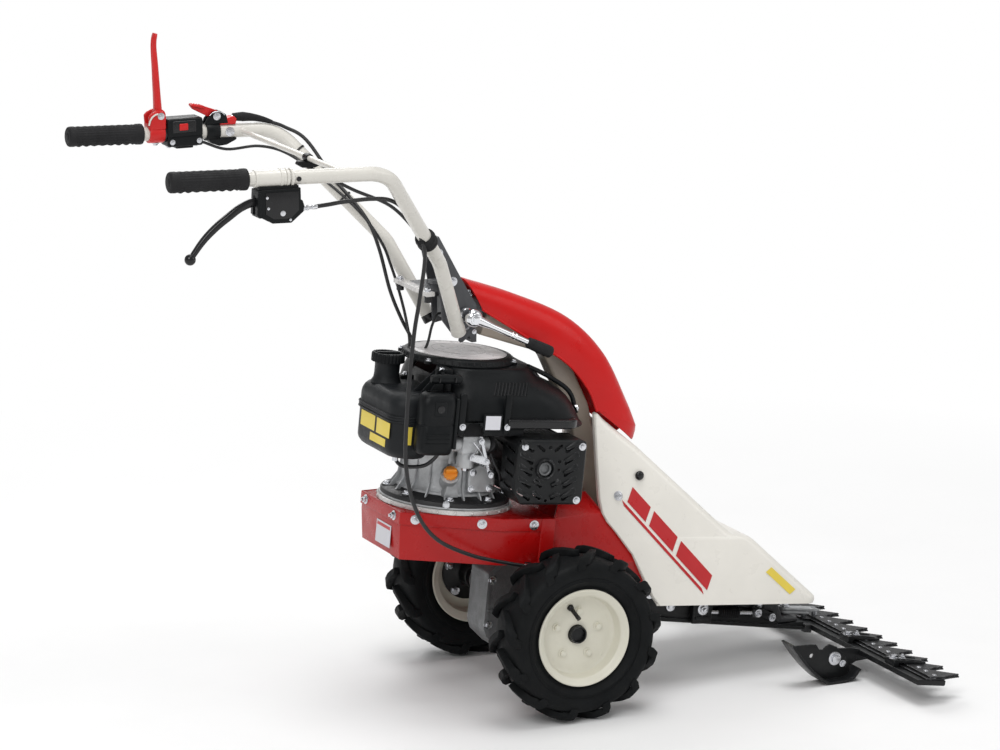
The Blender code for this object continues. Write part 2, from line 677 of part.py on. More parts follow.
# ---- hood, cowl and handlebar arm ---------------------------------------------------------
def hood(home):
    """The ivory front hood: a sheet bent round the front, open behind and below."""
    front = ((0.0235, 0.5350), (0.0335, 0.5380), (0.140, 0.4050), (0.143, 0.3670),
             (0.297, 0.1760), (0.357, 0.0900))
    rear = ((0.0235, 0.2090), (0.113, 0.1560), (0.151, 0.1240), (0.185, 0.0950),
            (0.280, 0.0860), (0.357, 0.0840))
    rings = []
    for z in (0.0235, 0.0335, 0.070, 0.105, 0.140, 0.143, 0.185, 0.245, 0.297, 0.330, 0.357):
        half = 0.057 + (0.357 - z) * (0.140 - 0.057) / (0.357 - 0.0235)
        fore, aft = between(z, front), between(z, rear)
        corner = min(0.035, half * 0.6, (fore - aft) * 0.8)
        side = [(aft, half)]
        for i in range(5):
            angle = math.pi / 2 * i / 4
            side.append((fore - corner + corner * math.sin(angle),
                         half - corner + corner * math.cos(angle)))
        ring = [(x, -y, z) for x, y in side] + [(x, y, z) for x, y in side[::-1]]
        rings.append(ring)
    obj = loft("hood", home, rings, ends=(False, False), closed=False)
    bm = bmesh.new()
    bm.from_mesh(obj.data)
    for face in bm.faces:
        outward = Vector((0.3, face.calc_center_median().y * 10, 0.3))
        if face.normal.dot(outward) < 0:
            face.normal_flip()
    bm.to_mesh(obj.data)
    bm.free()
    wall = obj.modifiers.new("wall", "SOLIDIFY")
    wall.thickness = 0.002
    wall.offset = -1.0
    cut(obj, block("arm_gap", home, (0.05, -0.040, 0.2985), (0.20, 0.040, 0.380)))
    return paint(smooth(obj, 50), IVORY, 0.3)


def cowl(home):
    """The red gooseneck cowl: an arched channel that follows the handlebar arm."""
    crown = smooth_path([(-0.118, 0.757, 0), (-0.015, 0.719, 0), (0.0835, 0.671, 0),
                         (0.153, 0.602, 0), (0.200, 0.510, 0), (0.2235, 0.452, 0)], 3)
    skirt = smooth_path([(-0.093, 0.704, 0), (-0.006, 0.645, 0), (0.066, 0.595, 0),
                         (0.107, 0.545, 0), (0.124, 0.505, 0), (0.1255, 0.5035, 0)], 3)
    rings = []
    last = len(crown) - 1
    for i, (top, low) in enumerate(zip(crown, skirt)):
        half = 0.042 + (0.056 - 0.042) * min(1.0, i / 5)
        ring = []
        for k in range(11):
            angle = math.pi * k / 10
            across = -math.cos(angle)
            up = math.sin(angle)
            y = half * math.copysign(abs(across) ** 0.55, across)
            point = low.lerp(top, up ** 0.75)
            if i == last:
                point = low.lerp(Vector((0.208, 0.436, 0)), min(1.0, up * 1.1)).lerp(
                    low.lerp(top, up), max(0.0, up - 0.9) * 10)
            ring.append((point.x, y, point.y))
        rings.append(ring)
    obj = loft("cowl", home, rings, ends=(False, False), closed=False)
    bm = bmesh.new()
    bm.from_mesh(obj.data)
    centre = Vector((0.0, 0.0, 0.55))
    for face in bm.faces:
        middle = face.calc_center_median()
        if face.normal.dot(Vector((middle.x - centre.x, middle.y * 8, middle.z - centre.z))) < 0:
            face.normal_flip()
    bm.to_mesh(obj.data)
    bm.free()
    wall = obj.modifiers.new("wall", "SOLIDIFY")
    wall.thickness = 0.0022
    wall.offset = -1.0
    return paint(smooth(obj, 50), RED, 0.25)


def steering_arm(home, body):
    """The square-section gooseneck, with a foot on the beam and an upright pin at the top."""
    line = rounded_path([(-0.080, 0.672, 0), (0.050, 0.625, 0), (0.108, 0.50, 0),
                         (0.128, 0.38, 0), (0.150, 0.26, 0), (0.1640, 0.204, 0)], 0.05, 3)
    outline = [(p.x, p.y) for p in band([(q.x, q.y) for q in line], 0.020)]
    obj = prism("steering_arm", home, outline, -0.020, 0.020)
    tongue = block("tongue", home, (-0.112, -0.018, 0.672), (-0.070, 0.018, 0.684))
    pin = rod("swing_pin", home, (SWING_X, 0, 0.660), (SWING_X, 0, 0.726), 0.008, 24)
    foot = block("arm_foot", body, (0.131, -0.040, 0.0585), (0.200, 0.040, 0.0645))
    spots = [(x, y, 0.0645) for x in (0.138, 0.193) for y in (-0.031, 0.031)]
    socket = block("arm_socket", body, (0.138, -0.024, 0.0600), (0.186, 0.024, 0.0760))
    weld(obj, tongue, pin, foot, socket, *bolt_heads("foot_bolt", body, spots, (0, 0, 1), 0.006, 0.004))
    return paint(obj, IVORY, 0.4)


# ---- handlebar ----------------------------------------------------------------------------
def swing_head(home):
    """The block on the upright pin that carries the tilt bolt."""
    obj = block("swing_head", home, (-0.150, -0.028, 0.6845), (-0.084, 0.028, 0.722))
    bevel(obj, 0.003)
    cut(obj, rod("pin_bore", home, (SWING_X, 0, 0.67), (SWING_X, 0, 0.74), 0.0081, 24),
        rod("tilt_bore", home, (TILT_X, -0.1, TILT_Z), (TILT_X, 0.1, TILT_Z), 0.0063, 20))
    pivot_at(obj, (SWING_X, 0, 0.68))
    return paint(obj, ALLOY, 0.5, 0.5)


CLAMP_Y = -0.090           # plane that the clamping lever swings in


def clamp_lever(home):
    """The tilt bolt with its chromed clamping lever."""
    bolt = rod("clamp_lever", home, (TILT_X, CLAMP_Y - 0.007, TILT_Z), (TILT_X, 0.060, TILT_Z),
               0.0061, 20)
    hub_piece = rod("clamp_hub", home, (TILT_X, CLAMP_Y - 0.006, TILT_Z),
                    (TILT_X, -0.0464, TILT_Z), 0.0095, 20)
    bar = rod("clamp_bar", home, (TILT_X, CLAMP_Y, TILT_Z), (-0.012, CLAMP_Y, 0.641), 0.005, 12)
    weld(bolt, hub_piece, bar)
    pivot_at(bolt, (TILT_X, 0, TILT_Z))
    return paint(smooth(bolt), PALE, 0.12, 1.0)


def clamp_grip(home):
    start, tip = Vector((-0.028, CLAMP_Y, 0.6489)), Vector((0.018, CLAMP_Y, 0.6259))
    grip_piece = rod("clamp_grip", home, start, tip, 0.0105, 14)
    bore = rod("clamp_grip_bore", home, start - (tip - start) * 0.3,
               start + (tip - start) * 0.45, 0.0054, 12)
    cut(grip_piece, bore)
    pivot_at(grip_piece, (TILT_X, 0, TILT_Z))
    return paint(smooth(grip_piece), BLACK, 0.6)


def swing_lock(home):
    """The short lever under the pin that locks the sideways swing."""
    hub_piece = rod("swing_lock", home, (SWING_X, 0, 0.6510), (SWING_X, 0, 0.6597), 0.010, 16)
    arm = rod("lock_arm", home, (SWING_X, 0, 0.6555), (-0.142, -0.030, 0.6555), 0.0038, 8)
    weld(hub_piece, arm)
    pivot_at(hub_piece, (SWING_X, 0, 0.65))
    return paint(smooth(hub_piece), CHARCOAL, 0.5)


def console_plate(home):
    """The folded plate at the foot of the handlebar: two cheeks, a front web and a rear brace."""
    outline = [(-0.190, 0.835), (-0.178, 0.842), (-0.136, 0.765), (-0.106, 0.712),
               (-0.110, 0.686), (-0.128, 0.672), (-0.152, 0.668), (-0.170, 0.690),
               (-0.177, 0.755)]
    inner = [(-0.22, 0.86), (-0.1905, 0.860), (-0.1385, 0.7635), (-0.1290, 0.7460),
             (-0.090, 0.7460), (-0.090, 0.65), (-0.22, 0.65)]
    obj = prism("console_plate", home, outline, -0.046, 0.046)
    cut(obj, prism("console_inside", home, inner, -0.0435, 0.0435),
        rod("console_bore", home, (TILT_X, -0.1, TILT_Z), (TILT_X, 0.1, TILT_Z), 0.0063, 20))
    brace = block("cross_brace", home, (-0.2135, -0.072, 0.742), (-0.1975, 0.072, 0.750))
    tie = block("brace_tie", home, (-0.200, -0.0440, 0.743), (-0.1700, 0.0440, 0.749))
    nut = rod("tilt_nut", home, (TILT_X, 0.0455, TILT_Z), (TILT_X, 0.0535, TILT_Z), 0.011, 6)
    nut_bore = rod("nut_bore", home, (TILT_X, 0.04, TILT_Z), (TILT_X, 0.07, TILT_Z), 0.0063, 20)
    cut(weld(obj, brace, tie, nut), nut_bore)
    pivot_at(obj, (TILT_X, 0, TILT_Z))
    return paint(obj, CHARCOAL, 0.5)


def handle_line(side):
    return rounded_path([(-0.745, side * GRIP_Y, 1.013), (-0.362, side * GRIP_Y, 1.000),
                         (-0.208, side * 0.115, 0.810), (-0.147, side * 0.0597, 0.671)],
                        0.07, 4)


def handle_tube(name, home, side):
    """One bent steel tube, from the grip down to the console."""
    obj = pipe(name, home, handle_line(side), TUBE_R, wall=0.002)
    pivot_at(obj, (TILT_X, 0, TILT_Z))
    return paint(obj, IVORY, 0.3)


def along_handle(x, side, drop=0.0):
    """A point of the straight rear stretch of a handle tube."""
    slope = (1.000 - 1.013) / (-0.362 + 0.745)
    return (x, side * GRIP_Y, 1.013 + slope * (x + 0.745) - drop)


def sleeve(name, home, side, rear, front, radius, bore=TUBE_R + GAP, steps=20):
    obj = rod(name, home, along_handle(rear, side), along_handle(front, side), radius, steps)
    return obj, rod(name + "_bore", home, along_handle(rear - 0.02, side),
                    along_handle(front + 0.02, side), bore, 20)


def grip(name, home, side):
    """A rubber grip, closed at the rear."""
    obj = rod(name, home, along_handle(REAR_X, side), along_handle(-0.615, side), GRIP_R, 20)
    cut(obj, rod(name + "_bore", home, along_handle(-0.7455, side), along_handle(-0.58, side),
                 TUBE_R + GAP, 20))
    pivot_at(obj, (TILT_X, 0, TILT_Z))
    return paint(smooth(obj), BLACK, 0.8)


def upper_brace(home):
    reach = GRIP_Y - TUBE_R - 0.0006
    x, _, z = along_handle(-0.430, 1)
    obj = rod("upper_brace", home, (x, -reach, z), (x, reach, z), 0.005, 12)
    pivot_at(obj, (TILT_X, 0, TILT_Z))
    return paint(smooth(obj), IVORY, 0.4)


def drive_lever_housing(home):
    """The switch box under the right handle that the drive lever pivots in."""
    y = -GRIP_Y
    outline = [(-0.603, 0.992), (-0.603, 0.948), (-0.575, 0.932), (-0.540, 0.932),
               (-0.519, 0.952), (-0.519, 0.968), (-0.527, 0.990)]
    obj = prism("drive_lever_housing", home, outline, y - 0.016, y + 0.016)
    bevel(obj, 0.003)
    ring, bore = sleeve("lever_clamp", home, -1, -0.602, -0.535, 0.0158)
    slot = block("lever_slot", home, (-0.62, y - 0.0045, 0.90), (-0.536, y + 0.0045, 0.9885))
    cut(weld(obj, ring), bore, slot)
    pivot_at(obj, (TILT_X, 0, TILT_Z))
    return paint(obj, BLACK, 0.5)


LEVER_PIVOT = (-0.558, -GRIP_Y, 0.950)


def drive_lever(home):
    """The traction lever under the right grip, with a ball end."""
    y = -GRIP_Y
    line = smooth_path([(-0.556, 0.952, 0), (-0.590, 0.970, 0), (-0.645, 0.951, 0),
                        (-0.690, 0.915, 0), (-0.716, 0.882, 0)], 3)
    outline = [(p.x, p.y) for p in band([(q.x, q.y) for q in line], 0.0052)]
    obj = prism("drive_lever", home, outline, y - 0.004, y + 0.004)
    weld(obj, ball("lever_ball", home, (-0.716, y, 0.882), 0.0097))
    pivot_at(obj, LEVER_PIVOT)
    return paint(smooth(obj), BLACK, 0.4)


SAFETY_PIVOT = (-0.584, GRIP_Y, 1.040)


def safety_bracket(home):
    y = GRIP_Y
    obj = block("safety_bracket", home, (-0.606, y - 0.015, 1.012), (-0.5745, y + 0.015, 1.046))
    bevel(obj, 0.003)
    ring, bore = sleeve("safety_clamp", home, 1, -0.606, -0.5745, 0.0165)
    slot = block("safety_slot", home, (-0.62, y - 0.0090, 1.0275), (-0.5775, y + 0.0090, 1.06))
    cut(weld(obj, ring), bore, slot)
    pivot_at(obj, (TILT_X, 0, TILT_Z))
    return paint(obj, RED, 0.4)


def safety_lever(home):
    """The red operator-presence lever, standing up when released."""
    y = GRIP_Y
    line = [(-0.584, 1.038, 0), (-0.588, 1.090, 0), (-0.590, 1.140, 0), (-0.586, 1.184, 0)]
    outline = [(p[0], p[1]) for p in band([q[:2] for q in line], 0.0045)]
    obj = prism("safety_lever", home, outline, y - 0.0082, y + 0.0082)
    pivot_at(obj, SAFETY_PIVOT)
    return paint(obj, RED, 0.35)


def switch_housing(home):
    y = GRIP_Y
    obj = block("switch_housing", home, (-0.5735, y - 0.020, 0.984), (-0.5065, y + 0.020, 1.034))
    bevel(obj, 0.006)
    _, bore = sleeve("switch", home, 1, -0.58, -0.50, 0.0165)
    helper(_)
    cut(obj, bore)
    pivot_at(obj, (TILT_X, 0, TILT_Z))
    return paint(obj, BLACK, 0.5)


THROTTLE_PIVOT = (-0.478, GRIP_Y, 1.032)


def throttle_body(home):
    y = GRIP_Y
    obj = block("throttle_body", home, (-0.5055, y - 0.014, 0.978), (-0.440, y + 0.014, 1.042))
    bevel(obj, 0.005)
    _, bore = sleeve("throttle", home, 1, -0.52, -0.43, 0.0165)
    helper(_)
    slot = block("throttle_slot", home, (-0.52, y - 0.0035, 1.0205), (-0.456, y + 0.0035, 1.06))
    cut(obj, bore, slot)
    pivot_at(obj, (TILT_X, 0, TILT_Z))
    return paint(obj, BLACK, 0.5)


def throttle_lever(home):
    y = GRIP_Y
    obj = rod("throttle_lever", home, (-0.478, y - 0.003, 1.032), (-0.478, y + 0.003, 1.032),
              0.009, 16)
    arm = prism("thumb_arm", home, [(-0.482, 1.026), (-0.520, 1.046), (-0.524, 1.054),
                                    (-0.478, 1.040)], y - 0.003, y + 0.003)
    weld(obj, arm)
    pivot_at(obj, THROTTLE_PIVOT)
    return paint(obj, RED, 0.4)


# ---- cutter bar ---------------------------------------------------------------------------
def skid_bracket(home, side):
    outline = [(0.500, 0.060), (0.560, 0.055), (0.606, 0.040), (0.606, 0.031), (0.567, 0.029),
               (0.545, 0.018), (0.510, 0.022), (0.495, 0.040)]
    return prism("skid_bracket", home, outline, side * 0.2268, side * 0.2215)


def cutter_bar(home, ground):
    """The bar's base plate with the beam saddle and the two skid brackets."""
    obj = block("cutter_bar", home, (0.0, -BAR_HALF, -0.010), (BAR_DEPTH, BAR_HALF, 0.0))
    saddle = block("saddle", home, (-0.0115, -0.045, -0.016), (0.004, 0.045, -0.0005))
    weld(obj, saddle, skid_bracket(ground, 1), skid_bracket(ground, -1))
    cut(obj, *[rod("skid_bolt_hole", ground, (0.519, side * 0.21, 0.042),
                   (0.519, side * 0.24, 0.042), 0.0056, 12) for side in (1, -1)])
    return paint(obj, CHARCOAL, 0.5, 0.6)


def knife_outline(back, front, tooth_root, phase):
    """A strip with blunt trapezoid teeth along its front edge."""
    pitch = 2 * BAR_HALF / TEETH
    half = BAR_HALF - 0.024
    points = [(back, -half), (back, half)]
    for i in range(TEETH - 1, -1, -1):
        y = -BAR_HALF + pitch * (i + 0.5) + phase
        root, tip = pitch * 0.44, pitch * 0.14
        ends = [(tooth_root, y + root), (front, y + tip), (front, y - tip), (tooth_root, y - root)]
        points += ends
    first, last = points[2], points[-1]
    points[0] = (back, last[1])
    points[1] = (back, first[1])
    return points


LOWER_PIN_X, UPPER_PIN_X, ROCKER_X = 0.008, 0.030, -0.035


def lower_knife(home):
    low, high = GAP, GAP + KNIFE
    obj = prism("lower_knife", home, knife_outline(0.016, 0.1012, 0.054, 0.0), low, high, "Z")
    tab = block("lower_head", home, (0.0, -0.014, low), (0.020, 0.014, high))
    pin = rod("lower_pin", home, (LOWER_PIN_X, 0, low + 0.001), (LOWER_PIN_X, 0, 0.0145),
              0.004, 12)
    weld(obj, tab, pin)
    return paint(obj, STEEL, 0.35, 0.9)


def upper_knife(home):
    low = 2 * GAP + KNIFE
    high = low + KNIFE
    obj = prism("upper_knife", home, knife_outline(0.024, 0.0995, 0.054, 0.0), low, high, "Z")
    weld(obj, rod("upper_pin", home, (UPPER_PIN_X, 0, low + 0.001), (UPPER_PIN_X, 0, 0.021),
                  0.004, 12))
    return paint(obj, STEEL, 0.35, 0.9)


def rocker(name, home, pin_x, low, high):
    """A forked arm on the knife drive's post; its fork holds one knife's pin."""
    reach = pin_x - ROCKER_X
    obj = rod(name, home, (0, 0, low), (0, 0, high), 0.012, 20)
    arm = block(name + "_arm", obj, (0.0, -0.0105, low), (reach + 0.007, 0.0105, high))
    slot = block(name + "_slot", obj, (reach - 0.011, -0.0067, low - 0.01),
                 (reach + 0.02, 0.0067, high + 0.01))
    bore = rod(name + "_bore", obj, (0, 0, low - 0.01), (0, 0, high + 0.01), 0.0051, 20)
    cut(weld(obj, arm), slot, bore)
    obj.location = (ROCKER_X, 0, 0)
    return paint(obj, STEEL, 0.45, 0.8)


def knife_drive_case(home, bar):
    """The knife gearcase on the beam, with the upright post for the rockers."""
    outline = [(0.380, -0.002), (0.5005, -0.0172), (0.5143, -0.0404), (0.556, -0.0368),
               (0.556, -0.0305), (0.524, -0.0315), (0.512, -0.006), (0.480, 0.030),
               (0.410, 0.040), (0.385, 0.030)]
    obj = prism("knife_drive_case", home, outline, -0.038, 0.038)
    bevel(obj, 0.0015, 1)
    weld(obj, rod("rocker_post", bar, (ROCKER_X, 0, 0.0065), (ROCKER_X, 0, 0.0265), 0.005, 20))
    return paint(obj, CHARCOAL, 0.55, 0.4)


def hold_down(name, home, y):
    """A clip bolted behind the knives that presses them down."""
    low = 3 * GAP + 2 * KNIFE
    foot = block(name, home, (0.001, y - 0.016, GAP), (0.0125, y + 0.016, low + 0.006))
    finger = block(name + "_finger", home, (0.004, y - 0.016, low), (0.068, y + 0.016, low + 0.006))
    weld(foot, finger, rod(name + "_bolt", home, (0.007, y, low + 0.005), (0.007, y, low + 0.011),
                           0.0065, 6))
    return paint(foot, CHARCOAL, 0.5, 0.6)


def skid(name, home, side):
    """A curved runner with an upright cheek, bolted outside its bracket."""
    sole = [(0.419, 0.082), (0.455, 0.034), (0.480, 0.010), (0.498, 0.0), (0.534, 0.0),
            (0.550, 0.006), (0.564, 0.022)]
    upper = [(0.559, 0.0245), (0.547, 0.0105), (0.532, 0.005), (0.500, 0.005), (0.484, 0.0140),
             (0.459, 0.0370), (0.4245, 0.0835)]
    inner, outer = side * 0.212, side * 0.254
    obj = prism(name, home, sole + upper, inner, outer)
    cheek = [(0.434, 0.0755), (0.512, 0.070), (0.540, 0.046), (0.552, 0.014), (0.534, 0.003),
             (0.500, 0.003), (0.470, 0.023)]
    tools = [prism(name + "_cheek", home, cheek, side * 0.2271, side * 0.2315)]
    tools.append(rod(name + "_bolt", home, (0.519, side * 0.216, 0.042),
                     (0.519, side * 0.230, 0.042), 0.005, 12))
    tools.append(rod(name + "_bolt_head", home, (0.519, side * 0.230, 0.042),
                     (0.519, side * 0.2385, 0.042), 0.010, 6))
    weld(obj, *tools)
    return paint(obj, CHARCOAL, 0.5, 0.5)


# ---- cables -------------------------------------------------------------------------------
def drive_cable(home):
    """From the drive lever's housing down past the engine to the belt deck."""
    points = [(-0.517, -0.247, 0.960), (-0.440, -0.243, 0.966), (-0.350, -0.205, 0.905),
              (-0.270, -0.160, 0.790), (-0.272, -0.168, 0.660), (-0.285, -0.172, 0.560),
              (-0.290, -0.172, 0.450), (-0.270, -0.168, 0.360), (-0.225, -0.160, 0.300),
              (-0.140, -0.158, 0.262)]
    return paint(pipe("drive_cable", home, smooth_path(points, 3), 0.0035, sides=1), BLACK, 0.5)


def throttle_cable(home):
    """From the throttle down to the engine's top."""
    points = [(-0.436, 0.247, 0.985), (-0.370, 0.225, 0.950), (-0.290, 0.165, 0.850),
              (-0.240, 0.110, 0.740), (-0.262, 0.085, 0.660), (-0.270, 0.090, 0.600)]
    return paint(pipe("throttle_cable", home, smooth_path(points, 3), 0.003, sides=1), BLACK, 0.5)


# ---- assembly -----------------------------------------------------------------------------
def build_running_gear(ground, body):
    transmission_case(body)
    axle(ground)
    for label, side in (("right", -1), ("left", 1)):
        tyre("tyre_" + label, ground, side)
        rim("rim_" + label, ground, side)
        hub("wheel_hub_" + label, ground, side)


def build_body(ground, body):
    deck_pan(body)
    front_frame(body)
    front_beam(body)
    hood(body)
    cowl(ground)
    steering_arm(ground, body)
    spacer_plate(body)
    crankshaft(body)
    driven_pulley(body)
    drive_belt(body)


def build_engine(body):
    crankcase(body)
    dipstick(body)
    cylinder_block(body)
    muffler(body)
    muffler_guard(body)
    engine_shroud(body)
    recoil_housing(body)
    air_cleaner_cover(body)
    fuel_tank(body)
    fuel_cap(body)
    starter_handle(body)


def build_handlebar(ground):
    swing_head(ground)
    clamp_lever(ground)
    clamp_grip(ground)
    swing_lock(ground)
    console_plate(ground)
    for label, side in (("right", -1), ("left", 1)):
        handle_tube("handle_tube_" + label, ground, side)
        grip("grip_" + label, ground, side)
    upper_brace(ground)
    drive_lever_housing(ground)
    drive_lever(ground)
    safety_bracket(ground)
    safety_lever(ground)
    switch_housing(ground)
    throttle_body(ground)
    throttle_lever(ground)
    drive_cable(ground)
    throttle_cable(ground)


def build_cutter(ground, body, bar):
    cutter_bar(bar, ground)
    lower_knife(bar)
    upper_knife(bar)
    rocker("lower_rocker", bar, LOWER_PIN_X, 0.0105, 0.0150)
    rocker("upper_rocker", bar, UPPER_PIN_X, 0.0160, 0.0215)
    knife_drive_case(body, bar)
    for i, y in enumerate((-0.330, -0.165, 0.165, 0.330)):
        hold_down(f"hold_down_{i + 1}", bar, y)
    skid("skid_right", ground, -1)
    skid("skid_left", ground, 1)


def main():
    for obj in list(bpy.data.objects):
        bpy.data.objects.remove(obj, do_unlink=True)
    middle = -(REAR_X + FRONT_X) / 2
    ground = frame("machine", None, (middle, 0, 0))
    body = frame("pitched_body", ground, (0, 0, AXLE_Z), BODY_PITCH)
    bar = frame("bar_frame", ground, (BAR_X, 0, BAR_Z), BAR_PITCH)
    build_running_gear(ground, body)
    build_body(ground, body)
    build_engine(body)
    build_handlebar(ground)
    build_cutter(ground, body, bar)


main()
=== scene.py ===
"""The looks of the two-wheel sickle-bar mower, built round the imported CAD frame.

Three local frames are used, all fixed to the frame's own axle: GROUND (level), BODY (deck,
engine, hood, pitched forward) and BAR (the cutter bar, pitched a little more). Metres.
"""

import math

import bmesh
import bpy
from mathutils import Matrix, Vector


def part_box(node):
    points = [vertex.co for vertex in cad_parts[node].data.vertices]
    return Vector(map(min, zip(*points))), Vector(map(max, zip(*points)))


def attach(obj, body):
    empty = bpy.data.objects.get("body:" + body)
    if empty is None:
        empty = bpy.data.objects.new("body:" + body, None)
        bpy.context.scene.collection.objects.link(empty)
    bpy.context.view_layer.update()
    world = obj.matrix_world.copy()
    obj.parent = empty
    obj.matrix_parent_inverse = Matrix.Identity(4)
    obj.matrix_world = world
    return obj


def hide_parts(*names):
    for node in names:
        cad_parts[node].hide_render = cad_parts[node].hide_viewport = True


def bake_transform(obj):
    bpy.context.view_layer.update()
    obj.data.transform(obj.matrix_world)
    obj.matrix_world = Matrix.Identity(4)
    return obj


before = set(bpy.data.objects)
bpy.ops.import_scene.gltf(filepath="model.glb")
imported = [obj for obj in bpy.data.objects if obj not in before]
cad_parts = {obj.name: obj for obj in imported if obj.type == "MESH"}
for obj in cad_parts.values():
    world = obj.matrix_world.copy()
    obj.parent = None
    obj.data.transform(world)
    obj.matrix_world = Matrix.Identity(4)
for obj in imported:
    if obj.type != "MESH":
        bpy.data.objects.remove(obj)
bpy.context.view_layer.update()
AXLE = (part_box("axle_shaft")[0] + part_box("axle_shaft")[1]) / 2
BODY_PITCH = math.radians(6.0)
BAR_PITCH = math.radians(9.0)
GROUND = Matrix.Translation((AXLE.x, 0, 0))
BODY = Matrix.Translation((AXLE.x, 0, AXLE.z)) @ Matrix.Rotation(BODY_PITCH, 4, "Y")
BAR = Matrix.Translation((AXLE.x + 0.574, 0, 0.050)) @ Matrix.Rotation(BAR_PITCH, 4, "Y")

AXLE_Z = AXLE.z
TRACK_HALF = 0.226                    # from the middle to each tyre's middle plane
GRIP_Y = 0.247                        # from the middle to each grip
TILT = Vector((-0.130, 0, 0.700))     # the handlebar's tilt bolt, in GROUND
SWING_X = -0.098                      # the handlebar's upright pin, in GROUND
ENGINE_X = -0.170                     # the crankshaft, in BODY


# ---- procedural materials -----------------------------------------------------------------
class Nodes:
    """A material's node tree, with short calls for the nodes that are used here."""

    def __init__(self, name):
        self.material = bpy.data.materials.new(name)
        self.material.use_nodes = True
        self.tree = self.material.node_tree
        self.surface = self.tree.nodes["Principled BSDF"]
        self.place = self.add("ShaderNodeTexCoord").outputs["Object"]

    def add(self, kind, **settings):
        node = self.tree.nodes.new(kind)
        for key, value in settings.items():
            setattr(node, key, value)
        return node

    def link(self, a, b):
        self.tree.links.new(a, b)

    def noise(self, scale, detail=3.0, rough=0.55, stretch=None):
        node = self.add("ShaderNodeTexNoise")
        node.inputs["Scale"].default_value = scale
        node.inputs["Detail"].default_value = detail
        node.inputs["Roughness"].default_value = rough
        source = self.place
        if stretch:
            mapping = self.add("ShaderNodeMapping")
            mapping.inputs["Scale"].default_value = stretch
            self.link(source, mapping.inputs["Vector"])
            source = mapping.outputs["Vector"]
        self.link(source, node.inputs["Vector"])
        return node.outputs["Fac"]

    def ramp(self, value, low, high, start=0.0, end=1.0):
        node = self.add("ShaderNodeMapRange")
        node.inputs["From Min"].default_value = low
        node.inputs["From Max"].default_value = high
        node.inputs["To Min"].default_value = start
        node.inputs["To Max"].default_value = end
        self.link(value, node.inputs["Value"])
        return node.outputs["Result"]

    def times(self, a, b):
        node = self.add("ShaderNodeMath", operation="MULTIPLY")
        self.link(a, node.inputs[0])
        if isinstance(b, float):
            node.inputs[1].default_value = b
        else:
            self.link(b, node.inputs[1])
        return node.outputs[0]

    def plus(self, a, b):
        node = self.add("ShaderNodeMath", operation="ADD", use_clamp=True)
        self.link(a, node.inputs[0])
        self.link(b, node.inputs[1])
        return node.outputs[0]

    def mix(self, factor, a, b):
        node = self.add("ShaderNodeMix", data_type="RGBA")
        self.link(factor, node.inputs["Factor"])
        for socket, colour in ((node.inputs["A"], a), (node.inputs["B"], b)):
            if isinstance(colour, tuple):
                socket.default_value = (*colour, 1.0)
            else:
                self.link(colour, socket)
        return node.outputs["Result"]

    def bump(self, height, distance, strength=1.0, below=None):
        node = self.add("ShaderNodeBump")
        node.inputs["Distance"].default_value = distance
        node.inputs["Strength"].default_value = strength
        self.link(height, node.inputs["Height"])
        if below:
            self.link(below, node.inputs["Normal"])
        return node.outputs["Normal"]


def shade(colour, amount):
    return tuple(min(1.0, channel * amount) for channel in colour)


def finish_of(name, colour, rough=0.4, metal=0.0, mottle=0.12, mottle_scale=14.0, grain=0.0,
              grain_scale=900.0, waves=0.0, worn=None, worn_amount=0.6, dust=None, dust_amount=0.0,
              coat=0.0, rough_spread=0.12, stretch=None, shine=0.5):
    """One procedural finish: cloudy colour, grain and ripple bumps, worn edges, settled dust."""
    n = Nodes(name)
    cloud = n.ramp(n.noise(mottle_scale, 4.0, stretch=stretch), 0.3, 0.7)
    base = n.mix(cloud, shade(colour, 1.0 - mottle), shade(colour, 1.0 + mottle))
    roughness = n.ramp(n.noise(mottle_scale * 3.1, 5.0, stretch=stretch), 0.25, 0.75,
                       max(0.03, rough - rough_spread), min(1.0, rough + rough_spread))
    if dust:
        settled = n.ramp(n.noise(38.0, 6.0, 0.7), 0.42, 0.78, 0.0, dust_amount)
        base = n.mix(settled, base, dust)
        roughness = n.plus(roughness, n.times(settled, 0.5))
    metallic = None
    if worn:
        soft = n.add("ShaderNodeBevel", samples=4)
        soft.inputs["Radius"].default_value = 0.0009
        facing = n.add("ShaderNodeVectorMath", operation="DOT_PRODUCT")
        n.link(soft.outputs["Normal"], facing.inputs[0])
        n.link(n.add("ShaderNodeNewGeometry").outputs["Normal"], facing.inputs[1])
        edge = n.ramp(facing.outputs["Value"], 0.90, 0.985, 1.0, 0.0)
        chips = n.times(edge, n.ramp(n.noise(160.0, 4.0, 0.7), 0.48, 0.64, 0.0, worn_amount))
        base = n.mix(chips, base, worn)
        metallic = chips
    n.link(base, n.surface.inputs["Base Color"])
    n.link(roughness, n.surface.inputs["Roughness"])
    n.surface.inputs["Metallic"].default_value = metal
    n.surface.inputs["Specular IOR Level"].default_value = shine
    if metallic and metal < 0.5:
        n.link(n.times(metallic, 0.8), n.surface.inputs["Metallic"])
    normal = None
    if waves:
        normal = n.bump(n.noise(22.0, 2.0, stretch=stretch), waves)
    if grain:
        normal = n.bump(n.noise(grain_scale, 2.0, 0.6, stretch=stretch), grain, 1.0, normal)
    if normal:
        n.link(normal, n.surface.inputs["Normal"])
    if coat:
        n.surface.inputs["Coat Weight"].default_value = coat
        n.surface.inputs["Coat Roughness"].default_value = 0.12
    return n.material


